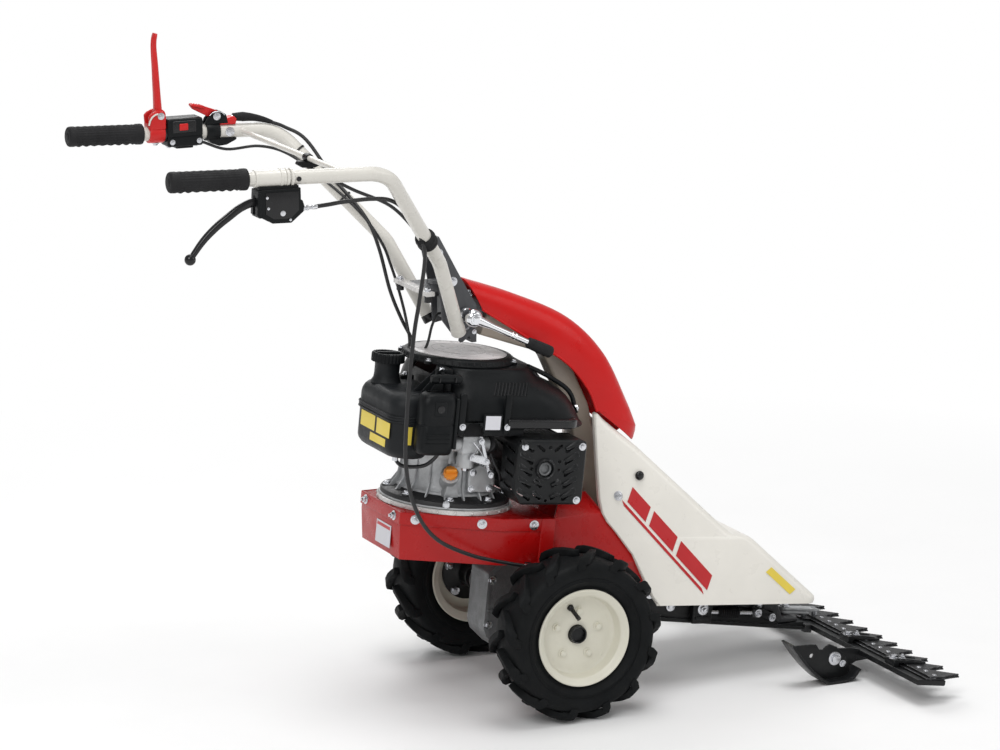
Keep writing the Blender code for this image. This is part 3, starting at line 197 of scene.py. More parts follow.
RED_PAINT = finish_of("red_powder_coat", (0.40, 0.004, 0.004), 0.30, mottle=0.06, grain=0.00012,
                      grain_scale=700, waves=0.0006, coat=0.12, shine=0.3)
COWL_RED = finish_of("red_moulded_cowl", (0.56, 0.005, 0.005), 0.34, mottle=0.05, grain=0.0001,
                     grain_scale=500, waves=0.0008, coat=0.08, shine=0.25)
LEVER_RED = finish_of("red_lever_nylon", (0.55, 0.010, 0.010), 0.38, mottle=0.07, grain=0.00008,
                      grain_scale=1500, shine=0.4)
IVORY = finish_of("ivory_powder_coat", (0.80, 0.775, 0.715), 0.33, mottle=0.025, grain=0.0001,
                  grain_scale=700, waves=0.0006, coat=0.15)
TUBE_IVORY = finish_of("ivory_tube_enamel", (0.66, 0.64, 0.59), 0.30, mottle=0.03,
                       grain=0.00008, waves=0.0003, coat=0.25)
RIM_IVORY = finish_of("ivory_rim_enamel", (0.70, 0.68, 0.58), 0.36, mottle=0.035, grain=0.00012,
                      dust=(0.45, 0.40, 0.30), dust_amount=0.10)
# The arm's real paint is ivory; this warm grey-brown is painted shade from the cowl over it, mixed
# with a painted reflection of the red cowl.
ARM_PAINTED_SHADE = finish_of("arm_ivory_with_painted_shade", (0.40, 0.345, 0.285), 0.42, mottle=0.10, grain=0.0002,
                      waves=0.0005, worn=(0.3, 0.28, 0.26))
PLASTIC = finish_of("black_moulded_plastic", (0.0050, 0.0060, 0.0068), 0.36, mottle=0.18,
                    grain=0.00022, grain_scale=1100, waves=0.0004, dust=(0.04, 0.04, 0.04),
                    dust_amount=0.06, shine=0.18)
GLOSS_PLASTIC = finish_of("black_gloss_plastic", (0.008, 0.008, 0.009), 0.24, mottle=0.15,
                          grain=0.00006, grain_scale=900, shine=0.4)
TANK_PLASTIC = finish_of("charcoal_tank_plastic", (0.0105, 0.0120, 0.0135), 0.42, mottle=0.12,
                         grain=0.0003, grain_scale=800, waves=0.0006, dust=(0.06, 0.06, 0.06),
                         dust_amount=0.06, shine=0.22)
RUBBER = finish_of("tyre_rubber", (0.0048, 0.0056, 0.0062), 0.62, mottle=0.22, grain=0.0004,
                   grain_scale=420, waves=0.0005, dust=(0.04, 0.038, 0.034), dust_amount=0.10,
                   shine=0.14)
GRIP_RUBBER = finish_of("grip_rubber", (0.011, 0.011, 0.012), 0.66, mottle=0.15, grain=0.0003,
                        grain_scale=900, dust=(0.07, 0.07, 0.07), dust_amount=0.10, shine=0.25)
CABLE = finish_of("cable_sleeve", (0.009, 0.009, 0.010), 0.42, mottle=0.10, grain=0.0002,
                  grain_scale=600)
BLACK_STEEL = finish_of("black_painted_steel", (0.0070, 0.0078, 0.0086), 0.36, metal=0.1,
                        mottle=0.2, grain=0.0003, grain_scale=600, waves=0.0005,
                        worn=(0.42, 0.42, 0.44), worn_amount=0.5, dust=(0.06, 0.056, 0.05),
                        dust_amount=0.10, shine=0.28)
CONSOLE = finish_of("grey_coated_steel", (0.060, 0.062, 0.068), 0.42, metal=0.25, mottle=0.12,
                    grain=0.0003, grain_scale=700, worn=(0.4, 0.4, 0.42), worn_amount=0.5)
CASTING = finish_of("cast_aluminium", (0.50, 0.51, 0.52), 0.46, metal=0.75, mottle=0.14,
                    mottle_scale=30, grain=0.0009, grain_scale=420, waves=0.0008,
                    dust=(0.22, 0.21, 0.20), dust_amount=0.22, rough_spread=0.16)
GREY_CASTING = finish_of("grey_cast_housing", (0.17, 0.175, 0.18), 0.46, metal=0.6, mottle=0.2,
                         mottle_scale=26, grain=0.0009, grain_scale=380, waves=0.0008,
                         dust=(0.12, 0.11, 0.10), dust_amount=0.25)
FIN_BLACK = finish_of("black_cast_fins", (0.013, 0.013, 0.014), 0.5, metal=0.3, mottle=0.25,
                      grain=0.0007, grain_scale=500, worn=(0.35, 0.35, 0.36), worn_amount=0.5)
ZINC = finish_of("bright_zinc", (0.66, 0.67, 0.70), 0.25, metal=1.0, mottle=0.05,
                 mottle_scale=60, grain=0.00005, rough_spread=0.05)
CHROME = finish_of("chrome", (0.78, 0.79, 0.81), 0.09, metal=1.0, mottle=0.03, grain=0.00002,
                   rough_spread=0.04)
KNIFE_STEEL = finish_of("hardened_knife_steel", (0.018, 0.0185, 0.020), 0.36, metal=0.7,
                        mottle=0.15, mottle_scale=40, grain=0.00015, grain_scale=500,
                        worn=(0.55, 0.55, 0.57), worn_amount=0.8, stretch=(1, 6, 1))
DARK_CASTING = finish_of("dark_cast_case", (0.050, 0.051, 0.054), 0.44, metal=0.5, mottle=0.2,
                         mottle_scale=30, grain=0.0007, grain_scale=420, waves=0.0006,
                         worn=(0.45, 0.45, 0.46), dust=(0.13, 0.12, 0.11), dust_amount=0.15)
SHAFT_STEEL = finish_of("turned_steel", (0.42, 0.43, 0.45), 0.28, metal=1.0, mottle=0.10,
                        grain=0.0001, grain_scale=600, stretch=(1, 1, 18))
ORANGE = finish_of("orange_moulding", (0.80, 0.27, 0.02), 0.38, mottle=0.06, grain=0.0001)
DISC_GREY = finish_of("starter_badge", (0.74, 0.71, 0.71), 0.32, mottle=0.06, grain=0.00005,
                      coat=0.3)
SPACER = finish_of("pale_spacer", (0.60, 0.585, 0.57), 0.26, metal=0.15, mottle=0.10,
                   mottle_scale=30, grain=0.0004, grain_scale=300, coat=0.3)
BLANK_YELLOW = finish_of("blank_label_yellow", (0.80, 0.62, 0.08), 0.42, mottle=0.05,
                         grain=0.00004)
BLANK_WHITE = finish_of("blank_label_white", (0.66, 0.66, 0.70), 0.38, mottle=0.03,
                        grain=0.00004)
STRIPE_RED = finish_of("red_stripe_film", (0.50, 0.018, 0.022), 0.34, mottle=0.05,
                       grain=0.00004)
# Painted shade: a near-black laid into holes, slots, seams and openings where only shade falls.
PAINTED_SHADE = finish_of("painted_shade_dark", (0.006, 0.006, 0.007), 0.8, mottle=0.2)


def studio_floor():
    """Pale matt floor that melts into the white backdrop away from the object."""
    n = Nodes("studio_floor")
    tone = n.ramp(n.noise(2.5, 3.0), 0.3, 0.7)
    n.link(n.mix(tone, (0.87, 0.87, 0.87), (0.90, 0.90, 0.90)), n.surface.inputs["Base Color"])
    n.surface.inputs["Roughness"].default_value = 0.6
    n.link(n.bump(n.noise(60.0, 2.0), 0.0002), n.surface.inputs["Normal"])
    distance = n.add("ShaderNodeVectorMath", operation="LENGTH")
    n.link(n.place, distance.inputs[0])
    far = n.ramp(distance.outputs["Value"], 0.9, 2.4)
    glow = n.add("ShaderNodeEmission")
    glow.inputs["Strength"].default_value = 1.0
    blend = n.add("ShaderNodeMixShader")
    n.link(far, blend.inputs["Fac"])
    n.link(n.surface.outputs["BSDF"], blend.inputs[1])
    n.link(glow.outputs["Emission"], blend.inputs[2])
    n.link(blend.outputs["Shader"], n.tree.nodes["Material Output"].inputs["Surface"])
    return n.material


FLOOR = studio_floor()


# ---- mesh building ------------------------------------------------------------------------
def box_mesh(low, high):
    """A box between two opposite corners."""
    bm = bmesh.new()
    bmesh.ops.create_cube(bm, size=1.0)
    low, high = Vector(low), Vector(high)
    bmesh.ops.scale(bm, vec=high - low, verts=bm.verts)
    bmesh.ops.translate(bm, vec=(low + high) / 2, verts=bm.verts)
    return bm


def prism_mesh(outline, start, end, along="Y"):
    """A flat outline swept along one axis, from start to end."""
    place = {"X": lambda a, b: (start, a, b), "Y": lambda a, b: (a, start, b),
             "Z": lambda a, b: (a, b, start)}[along]
    step = {"X": (1, 0, 0), "Y": (0, 1, 0), "Z": (0, 0, 1)}[along]
    bm = bmesh.new()
    face = bm.faces.new([bm.verts.new(place(a, b)) for a, b in outline])
    swept = bmesh.ops.extrude_face_region(bm, geom=[face])["geom"]
    moved = [item for item in swept if isinstance(item, bmesh.types.BMVert)]
    bmesh.ops.translate(bm, verts=moved, vec=Vector(step) * (end - start))
    bmesh.ops.recalc_face_normals(bm, faces=bm.faces)
    return bm


AXES = {"X": Matrix.Rotation(math.pi / 2, 4, "Y"), "Z": Matrix.Identity(4),
        "Y": Matrix.Rotation(-math.pi / 2, 4, "X")}


def lathe_mesh(profile, centre=(0, 0, 0), along="Z", steps=64):
    """A (radius, height) profile spun round an axis through centre."""
    bm = bmesh.new()
    verts = [bm.verts.new((max(radius, 0.0), 0, height)) for radius, height in profile]
    edges = [bm.edges.new((verts[i - 1], verts[i])) for i in range(len(verts))]
    bmesh.ops.spin(bm, geom=verts + edges, axis=(0, 0, 1), cent=(0, 0, 0), angle=math.tau,
                   steps=steps, use_merge=True)
    bmesh.ops.remove_doubles(bm, verts=bm.verts, dist=1e-6)
    turn = AXES[along] if isinstance(along, str) else along
    bmesh.ops.transform(bm, matrix=Matrix.Translation(centre) @ turn, verts=bm.verts)
    bmesh.ops.recalc_face_normals(bm, faces=bm.faces)
    return bm


def toward(axis):
    """The turn that brings +Z onto an axis."""
    return Vector(axis).to_track_quat("Z", "Y").to_matrix().to_4x4()


def rod_mesh(start, end, radius, steps=32):
    """A plain round rod between two points."""
    start, end = Vector(start), Vector(end)
    span = end - start
    bm = bmesh.new()
    bmesh.ops.create_cone(bm, cap_ends=True, segments=steps, radius1=radius, radius2=radius,
                          depth=span.length)
    place = Matrix.Translation((start + end) / 2) @ toward(span)
    bmesh.ops.transform(bm, matrix=place, verts=bm.verts)
    return bm


def loft_mesh(rings, caps=(True, True), closed=True):
    """A skin through rings of equal length, with or without its two end faces."""
    bm = bmesh.new()
    rows = [[bm.verts.new(point) for point in ring] for ring in rings]
    count = len(rows[0])
    for lower, upper in zip(rows, rows[1:]):
        for i in range(count if closed else count - 1):
            j = (i + 1) % count
            bm.faces.new((lower[i], lower[j], upper[j], upper[i]))
    if caps[0]:
        bm.faces.new(rows[0])
    if caps[1]:
        bm.faces.new(rows[-1])
    bmesh.ops.recalc_face_normals(bm, faces=bm.faces)
    return bm


def tube_mesh(points, radius, sides=16, caps=True, flat=1.0):
    """A round (or flattened) bar swept along a path; radius may be one per point."""
    points = [Vector(point) for point in points]
    radii = radius if isinstance(radius, (list, tuple)) else [radius] * len(points)
    up = Vector((0, 1, 0))
    rings = []
    for i, point in enumerate(points):
        ahead = points[min(i + 1, len(points) - 1)] - points[max(i - 1, 0)]
        ahead.normalize()
        if abs(ahead.dot(up)) > 0.95:
            up = Vector((0, 0, 1)) if abs(ahead.z) < 0.9 else Vector((1, 0, 0))
        up = (up - ahead * up.dot(ahead)).normalized()
        side = ahead.cross(up)
        rings.append([point + (side * math.cos(a) + up * math.sin(a) * flat) * radii[i]
                      for a in (math.tau * k / sides for k in range(sides))])
    return loft_mesh(rings, (caps, caps))


def ball_mesh(centre, radius, stretch=(1, 1, 1)):
    """A ball, stretched along the axes."""
    bm = bmesh.new()
    bmesh.ops.create_uvsphere(bm, u_segments=28, v_segments=18, radius=radius)
    bmesh.ops.scale(bm, vec=stretch, verts=bm.verts)
    bmesh.ops.translate(bm, vec=centre, verts=bm.verts)
    return bm


def rounded_path(points, radius, steps=8):
    """A polyline whose inner corners are replaced by arcs of one radius."""
    points = [Vector(point) for point in points]
    path = [points[0]]
    for before, corner, after in zip(points, points[1:], points[2:]):
        to_before = (before - corner).normalized()
        to_after = (after - corner).normalized()
        half = to_before.angle(to_after) / 2
        reach = min(radius / math.tan(half), (before - corner).length * 0.45,
                    (after - corner).length * 0.45)
        centre = corner + (to_before + to_after).normalized() * (reach / math.cos(half))
        start = corner + to_before * reach - centre
        end = corner + to_after * reach - centre
        sweep = start.angle(end)
        for i in range(steps + 1):
            share = i / steps
            arm = start * math.sin((1 - share) * sweep) + end * math.sin(share * sweep)
            path.append(centre + arm / math.sin(sweep))
    path.append(points[-1])
    return path


def smooth_path(points, steps=6):
    """A Catmull-Rom curve through the points."""
    points = [Vector(point) for point in points]
    padded = [2 * points[0] - points[1], *points, 2 * points[-1] - points[-2]]
    path = []
    for a, b, c, d in zip(padded, padded[1:], padded[2:], padded[3:]):
        for i in range(steps):
            t = i / steps
            path.append(0.5 * (2 * b + (c - a) * t + (2 * a - 5 * b + 4 * c - d) * t * t
                               + (3 * b - a - 3 * c + d) * t ** 3))
    path.append(points[-1])
    return path


def rounded_box(low, high, radius, z, steps=6):
    """One ring of a box in plan, with rounded corners."""
    points = []
    corners = ((high[0] - radius, high[1] - radius, 0), (low[0] + radius, high[1] - radius, 1),
               (low[0] + radius, low[1] + radius, 2), (high[0] - radius, low[1] + radius, 3))
    for x, y, quarter in corners:
        for i in range(steps + 1):
            angle = math.pi / 2 * (quarter + i / steps)
            points.append((x + radius * math.cos(angle), y + radius * math.sin(angle), z))
    return points


def between(value, table):
    """Reads a value from a table of (place, value) steps."""
    for (low, first), (high, last) in zip(table, table[1:]):
        if value <= high:
            return first + (last - first) * (value - low) / (high - low)
    return table[-1][1]


def round_edges(bm, width, segments=2, angle=30):
    """Bevels a mesh's sharp edges."""
    sharp = [edge for edge in bm.edges
             if len(edge.link_faces) == 2 and edge.calc_face_angle(0) > math.radians(angle)]
    bmesh.ops.bevel(bm, geom=sharp, offset=width, segments=segments, profile=0.6,
                    affect="EDGES", clamp_overlap=True)
    return bm


def with_modifiers(bm, *steps):
    """The mesh after modifiers; each step is (type, settings)."""
    source = bpy.data.meshes.new("work")
    bm.to_mesh(source)
    bm.free()
    obj = bpy.data.objects.new("work", source)
    bpy.context.collection.objects.link(obj)
    for kind, settings in steps:
        modifier = obj.modifiers.new(kind, kind)
        for key, value in settings.items():
            setattr(modifier, key, value)
    bpy.context.view_layer.update()
    result = obj.evaluated_get(bpy.context.evaluated_depsgraph_get()).to_mesh()
    out = bmesh.new()
    out.from_mesh(result)
    bpy.data.objects.remove(obj)
    return out


def cut_mesh(bm, *tools):
    """The mesh less the tools."""
    cutters = []
    for i, tool in enumerate(tools):
        mesh = bpy.data.meshes.new(f"cutter{i}")
        tool.to_mesh(mesh)
        tool.free()
        cutter = bpy.data.objects.new(f"cutter{i}", mesh)
        bpy.context.collection.objects.link(cutter)
        cutters.append(cutter)
    steps = [("BOOLEAN", {"operation": "DIFFERENCE", "solver": "EXACT", "object": cutter})
             for cutter in cutters]
    out = with_modifiers(bm, *steps)
    for cutter in cutters:
        bpy.data.objects.remove(cutter)
    return out


def thick(bm, thickness, even=True):
    """A sheet made from a skin, thickened inward."""
    return with_modifiers(bm, ("SOLIDIFY", {"thickness": thickness, "offset": -1.0,
                                            "use_even_offset": even}))


class Piece:
    """One visible object, gathered from shaped parts in a local frame."""

    def __init__(self, name, body, home):
        self.name, self.body, self.home = name, body, home
        self.bm = bmesh.new()
        self.materials = []

    def add(self, bm, material, edge=0.0, segments=2, angle=30):
        if edge:
            round_edges(bm, edge, segments, angle)
        if material not in self.materials:
            self.materials.append(material)
        slot = self.materials.index(material)
        for face in bm.faces:
            face.material_index = slot
        mesh = bpy.data.meshes.new("part")
        bm.to_mesh(mesh)
        bm.free()
        self.bm.from_mesh(mesh)
        bpy.data.meshes.remove(mesh)
        return self

    def box(self, low, high, material, edge=0.001, segments=2):
        return self.add(box_mesh(low, high), material, edge, segments)

    def prism(self, outline, start, end, material, along="Y", edge=0.001, segments=2):
        return self.add(prism_mesh(outline, start, end, along), material, edge, segments)

    def rod(self, start, end, radius, material, steps=32, edge=0.0):
        return self.add(rod_mesh(start, end, radius, steps), material, edge)

    def tube(self, points, radius, material, sides=16, flat=1.0):
        return self.add(tube_mesh(points, radius, sides, True, flat), material)

    def lathe(self, profile, centre, material, along="Z", steps=64):
        return self.add(lathe_mesh(profile, centre, along, steps), material)

    def ball(self, centre, radius, material, stretch=(1, 1, 1)):
        return self.add(ball_mesh(centre, radius, stretch), material)

    def bolt(self, at, axis, radius=0.0065, height=0.005, material=None, washer=True):
        """A hexagon head on a washer, with a chamfered, slightly dished top."""
        material = material or ZINC
        at, axis = Vector(at), Vector(axis).normalized()
        if washer:
            self.rod(at - axis * 0.001, at + axis * 0.0012, radius * 1.45, material, 28, 0.0004)
        low = at + axis * 0.001
        self.rod(low, low + axis * height, radius, material, 6, radius * 0.10)
        top = low + axis * height
        self.rod(top - axis * 0.0004, top + axis * 0.0004, radius * 0.62, material, 20, 0.0002)
        return self

    def nut(self, at, axis, radius=0.0065, height=0.005):
        """A nut with the end of its stud standing out."""
        at, axis = Vector(at), Vector(axis).normalized()
        self.bolt(at, axis, radius, height)
        top = at + axis * (0.001 + height)
        self.rod(top, top + axis * radius * 0.7, radius * 0.5, ZINC, 20, 0.0005)
        return self

    def done(self, *replaced, angle=35):
        """Makes the object, sets it riding on its body and hides the CAD nodes it replaces."""
        mesh = bpy.data.meshes.new(self.name)
        self.bm.to_mesh(mesh)
        self.bm.free()
        mesh.transform(self.home)
        for material in self.materials:
            mesh.materials.append(material)
        mesh.shade_smooth()
        mesh.set_sharp_from_angle(angle=math.radians(angle))
        obj = bpy.data.objects.new(self.name, mesh)
        bpy.context.scene.collection.objects.link(obj)
        if isinstance(self.body, str):
            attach(obj, self.body)
        if replaced:
            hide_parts(*replaced)
        return obj


# ---- wheels and gearbox -------------------------------------------------------------------
CARCASS = 0.1400      # crown radius between the lugs
LUG_TOP = 0.1518      # radius over the lugs
LUGS = 13             # in each of the two rows
BOLT_CIRCLE = 0.042   # radius of the wheel bolts' circle


def carcass_radius(offset):
    """The carcass's crown radius at a distance from the tyre's middle plane."""
    return CARCASS - 0.0060 * (abs(offset) / 0.040) ** 2.2


def tyre(label, side):
    """An agricultural tyre: a rounded carcass with two staggered rows of curved lugs."""
    piece = Piece("tyre_look_" + label, "wheel_" + label, GROUND)
    centre = (0, side * TRACK_HALF, AXLE_Z)
    half = [(0.0765, 0.0300), (0.0775, 0.0322), (0.0905, 0.0325), (0.0925, 0.0345),
            (0.0960, 0.0375), (0.1010, 0.0405), (0.1030, 0.0425), (0.1050, 0.0420),
            (0.1150, 0.0448), (0.1220, 0.0452), (0.1280, 0.0442), (0.1330, 0.0415)]
    crown = [(carcass_radius(y), y) for y in (0.036, 0.028, 0.018, 0.008)]
    outer = half + crown
    profile = outer + [(r, -y) for r, y in outer[::-1]] + [(0.084, -0.026), (0.084, 0.026)]
    piece.lathe(profile, centre, RUBBER, "Y", 104)
    turn = Matrix.Translation(centre)
    for k in range(LUGS):
        for row in (1, -1):
            start = math.tau * (k + (0.5 if row > 0 else 0.0)) / LUGS
            rings = []
            sections = ((-0.004, 0.000, 0.050, LUG_TOP - 0.0005), (0.010, 0.055, 0.055, LUG_TOP),
                        (0.024, 0.125, 0.062, LUG_TOP), (0.036, 0.205, 0.070, LUG_TOP - 0.001),
                        (0.0435, 0.262, 0.074, LUG_TOP - 0.0045),
                        (0.0462, 0.300, 0.070, 0.1370), (0.0462, 0.322, 0.060, 0.1265))
            for i, (offset, lean, width, top) in enumerate(sections):
                low = top - 0.0135 if i < 5 else top
                inward = 0.0 if i < 5 else 0.0035
                ring = []
                for angle, radius, shift in ((-0.5, low, inward), (-0.42, top, 0.0),
                                             (0.42, top, 0.0), (0.5, low, inward)):
                    a = start + lean + angle * width * 2
                    y = row * (offset - shift)
                    ring.append((radius * math.sin(a), y, -radius * math.cos(a)))
                rings.append(ring)
            bm = loft_mesh(rings)
            bmesh.ops.transform(bm, matrix=turn, verts=bm.verts)
            piece.add(bm, RUBBER, 0.0009, 1, 40)
    bead = [(0.1085 + 0.0007 * math.cos(a), 0.0434 + 0.0007 * math.sin(a))
            for a in (math.tau * i / 8 for i in range(8))]
    for sign in (1, -1):
        piece.lathe([(r, sign * y) for r, y in bead], centre, RUBBER, "Y", 96)
    return piece.done("tyre_" + label, angle=40)


def wheel_bolts():
    """The five bolts' places round the hub, as (x, z) from its centre."""
    for i in range(5):
        angle = math.radians(13 + 72 * i)
        yield BOLT_CIRCLE * math.cos(angle), BOLT_CIRCLE * math.sin(angle)


def rim(label, side):
    """The deep-dish pressed rim with its valve and six low rivets in the dish."""
    piece = Piece("rim_look_" + label, "wheel_" + label, GROUND)
    centre = Vector((0, side * TRACK_HALF, AXLE_Z))
    profile = [(0.0764, 0.0300), (0.0790, 0.0326), (0.0858, 0.0336), (0.0874, 0.0352),
               (0.0876, 0.0370), (0.0866, 0.0384), (0.0850, 0.0386), (0.0835, 0.0374),
               (0.0800, 0.0346), (0.0762, 0.0326), (0.0742, 0.0300), (0.0732, 0.0240),
               (0.0724, 0.0160), (0.0706, 0.0108), (0.0668, 0.0078), (0.0610, 0.0066),
               (0.0560, 0.0070), (0.0530, 0.0064), (0.0300, 0.0062), (0.0262, 0.0068),
               (0.0210, 0.0074), (0.0172, 0.0070), (0.0165, 0.0060), (0.0165, 0.0024),
               (0.0600, 0.0022), (0.0690, 0.0042), (0.0716, 0.0020), (0.0722, -0.0290),
               (0.0762, -0.0322), (0.0830, -0.0362), (0.0850, -0.0384), (0.0866, -0.0384),
               (0.0876, -0.0370), (0.0874, -0.0350), (0.0858, -0.0336), (0.0790, -0.0326),
               (0.0764, -0.0300)]
    piece.lathe([(r, side * y) for r, y in profile], centre, RIM_IVORY, "Y", 112)
    out = Vector((0, side, 0))
    valve = centre + out * 0.006 + Vector((-0.013, 0, 0.050))
    tip = centre + out * 0.031 + Vector((-0.007, 0, 0.0335))
    lean = tip - valve
    piece.tube([valve, valve + lean * 0.18, valve + lean * 0.24, valve + lean * 0.78,
                valve + lean * 0.80, tip],
               [0.0062, 0.0052, 0.0038, 0.0036, 0.0041, 0.0039], GLOSS_PLASTIC, 20)
    for i in range(6):
        spot = centre + Vector((0.0655 * math.cos(i * math.tau / 6 + 0.3), 0,
                                0.0655 * math.sin(i * math.tau / 6 + 0.3)))
        piece.ball(spot + out * 0.0068, 0.0030, RIM_IVORY, (1, 0.35, 1))
    return piece.done("rim_" + label, angle=28)


def hub(label, side):
    """The black hub: the open nose in front, the flange behind and the five wheel bolts."""
    piece = Piece("hub_look_" + label, "wheel_" + label, GROUND)
    centre = Vector((0, side * TRACK_HALF, AXLE_Z))
    profile = [(0.0129, 0.0162), (0.0143, 0.0168), (0.0154, 0.0160), (0.0157, 0.0146),
               (0.0157, 0.0020), (0.0500, 0.0018), (0.0518, 0.0006), (0.0520, -0.0040),
               (0.0500, -0.0055), (0.0300, -0.0085), (0.0250, -0.0130), (0.0240, -0.0390),
               (0.0225, -0.0402), (0.0128, -0.0402)]
    piece.lathe([(r, side * y) for r, y in profile], centre, BLACK_STEEL, "Y", 72)
    out = Vector((0, side, 0))
    for x, z in wheel_bolts():
        spot = centre + Vector((x, 0, z))
        piece.bolt(spot + out * 0.0066, out, 0.0058, 0.0045, RIM_IVORY)
        piece.nut(spot - out * 0.0052, -out, 0.0068, 0.0050)
    piece.rod(centre - out * 0.026 + Vector((0, 0, 0.020)),
              centre - out * 0.026 + Vector((0, 0, 0.034)), 0.004, ZINC, 6, 0.0005)
    return piece.done("wheel_hub_" + label)


def axle_look():
    """The splined cross shaft with its worm wheel; the shaft is drawn black as painted shade for
    the dark bore inside each hub's nose.
    """
    piece = Piece("axle_look", "axle", GROUND)
    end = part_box("axle_shaft")[1].y
    radius = 0.0122
    ring = []
    for i in range(48):
        angle = math.tau * i / 48
        r = radius if i % 4 < 2 else radius - 0.0007
        ring.append((r * math.cos(angle), r * math.sin(angle)))
    rings = [[(x, y, z + AXLE_Z) for x, z in ring] for y in (-end, -0.17, 0.17, end)]
    # The black here is painted shade: the shaft's ends stand for the dark bores of the hub noses.
    piece.add(loft_mesh(rings), BLACK_STEEL)
    teeth = []
    for i in range(120):
        angle = math.tau * i / 120
        r = 0.0458 if i % 4 < 2 else 0.0432
        teeth.append((r * math.cos(angle), r * math.sin(angle) + AXLE_Z))
    piece.prism(teeth, -0.009, 0.009, SHAFT_STEEL, "Y", 0.0)
    return piece.done("axle_shaft")


def gearbox():
    """The cast worm gearbox: ribbed case, axle tubes with bolted flanges, drain plug."""
    piece = Piece("gearbox_look", "chassis", BODY)
    outline = [(-0.085, 0.060), (-0.085, -0.040), (-0.078, -0.056), (-0.050, -0.080),
               (0.035, -0.080), (0.066, -0.062), (0.085, -0.045), (0.085, 0.070),
               (0.060, 0.098), (-0.050, 0.098)]
    inside = [(x * 0.86, z * 0.86) for x, z in outline]
    case = cut_mesh(prism_mesh(outline, -0.034, 0.034), prism_mesh(inside, -0.029, 0.029))
    piece.add(case, GREY_CASTING, 0.003, 3)
    small = [(x * 0.90, z * 0.90) for x, z in outline]
    for near, far, cut_near, cut_far in ((-0.036, -0.030, -0.04, -0.02),
                                         (0.030, 0.036, 0.02, 0.04)):
        flange = cut_mesh(prism_mesh(outline, near, far), prism_mesh(small, cut_near, cut_far))
        piece.add(flange, GREY_CASTING, 0.0012)
    for side in (-1, 1):
        tube = [(0.0128, side * 0.034), (0.040, side * 0.034), (0.038, side * 0.0405),
                (0.030, side * 0.045), (0.0232, side * 0.056), (0.0230, side * 0.150),
                (0.0245, side * 0.152), (0.0245, side * 0.167), (0.0128, side * 0.168)]
        piece.lathe(tube, (0, 0, 0), GREY_CASTING, "Y", 56)
        for x, z in ((-0.077, 0.048), (-0.077, -0.034), (-0.046, -0.071), (0.030, -0.071),
                     (0.076, -0.038), (0.076, 0.060)):
            piece.bolt((x, side * 0.0355, z), (0, side, 0), 0.0055, 0.0042)
        for i in range(5):
            angle = math.tau * i / 5 + 0.6
            spoke = Vector((math.cos(angle), 0, math.sin(angle)))
            spot = spoke * 0.041 + Vector((0, side * 0.034, 0))
            piece.box(spot - Vector((0.0025, 0.001 if side > 0 else 0.006, 0.0025)),
                      spot + Vector((0.0025, 0.006 if side > 0 else 0.001, 0.0025)),
                      GREY_CASTING, 0.0008)
        rib = [(-0.080, -0.010), (-0.045, -0.010), (-0.045, -0.006), (-0.080, -0.006)]
        piece.prism(rib, side * 0.033, side * 0.0375, GREY_CASTING, "Y", 0.0008)
    piece.bolt((-0.010, 0.0, -0.0795), (0, 0, -1), 0.0075, 0.005)
    piece.lathe([(0.0128, 0.094), (0.030, 0.094), (0.029, 0.104), (0.020, 0.107),
                 (0.0128, 0.107)], (0.030, 0, 0), GREY_CASTING, "Z", 48)
    return piece.done("transmission_case")


def running_gear():
    """Gearbox, axle and both wheels."""
    gearbox()
    axle_look()
    for label, side in (("right", -1), ("left", 1)):
        tyre(label, side)
        rim(label, side)
        hub(label, side)


# ---- deck, frame and belt drive -----------------------------------------------------------
SHEET = 0.0025        # thickness of the deck's and the frame's sheet
DRIVEN_X = 0.030      # the driven pulley's axis, in BODY
BELT_Z = 0.140        # the belt's middle plane, in BODY
DECK_PLAN = ((-0.290, -0.085), (-0.120, -0.140), (-0.017, -0.140))


def deck_wall_points(shrink, z):
    """The deck's wall line at one height, from its front right corner round to the left."""
    line = list(DECK_PLAN[::-1]) + [(x, -y) for x, y in DECK_PLAN]
    out = []
    for x, y in line:
        inward = Vector((-0.120 - x, -y)).normalized() * shrink
        out.append((x + (inward.x if x < -0.2 else 0.0), y + inward.y, z))
    return out


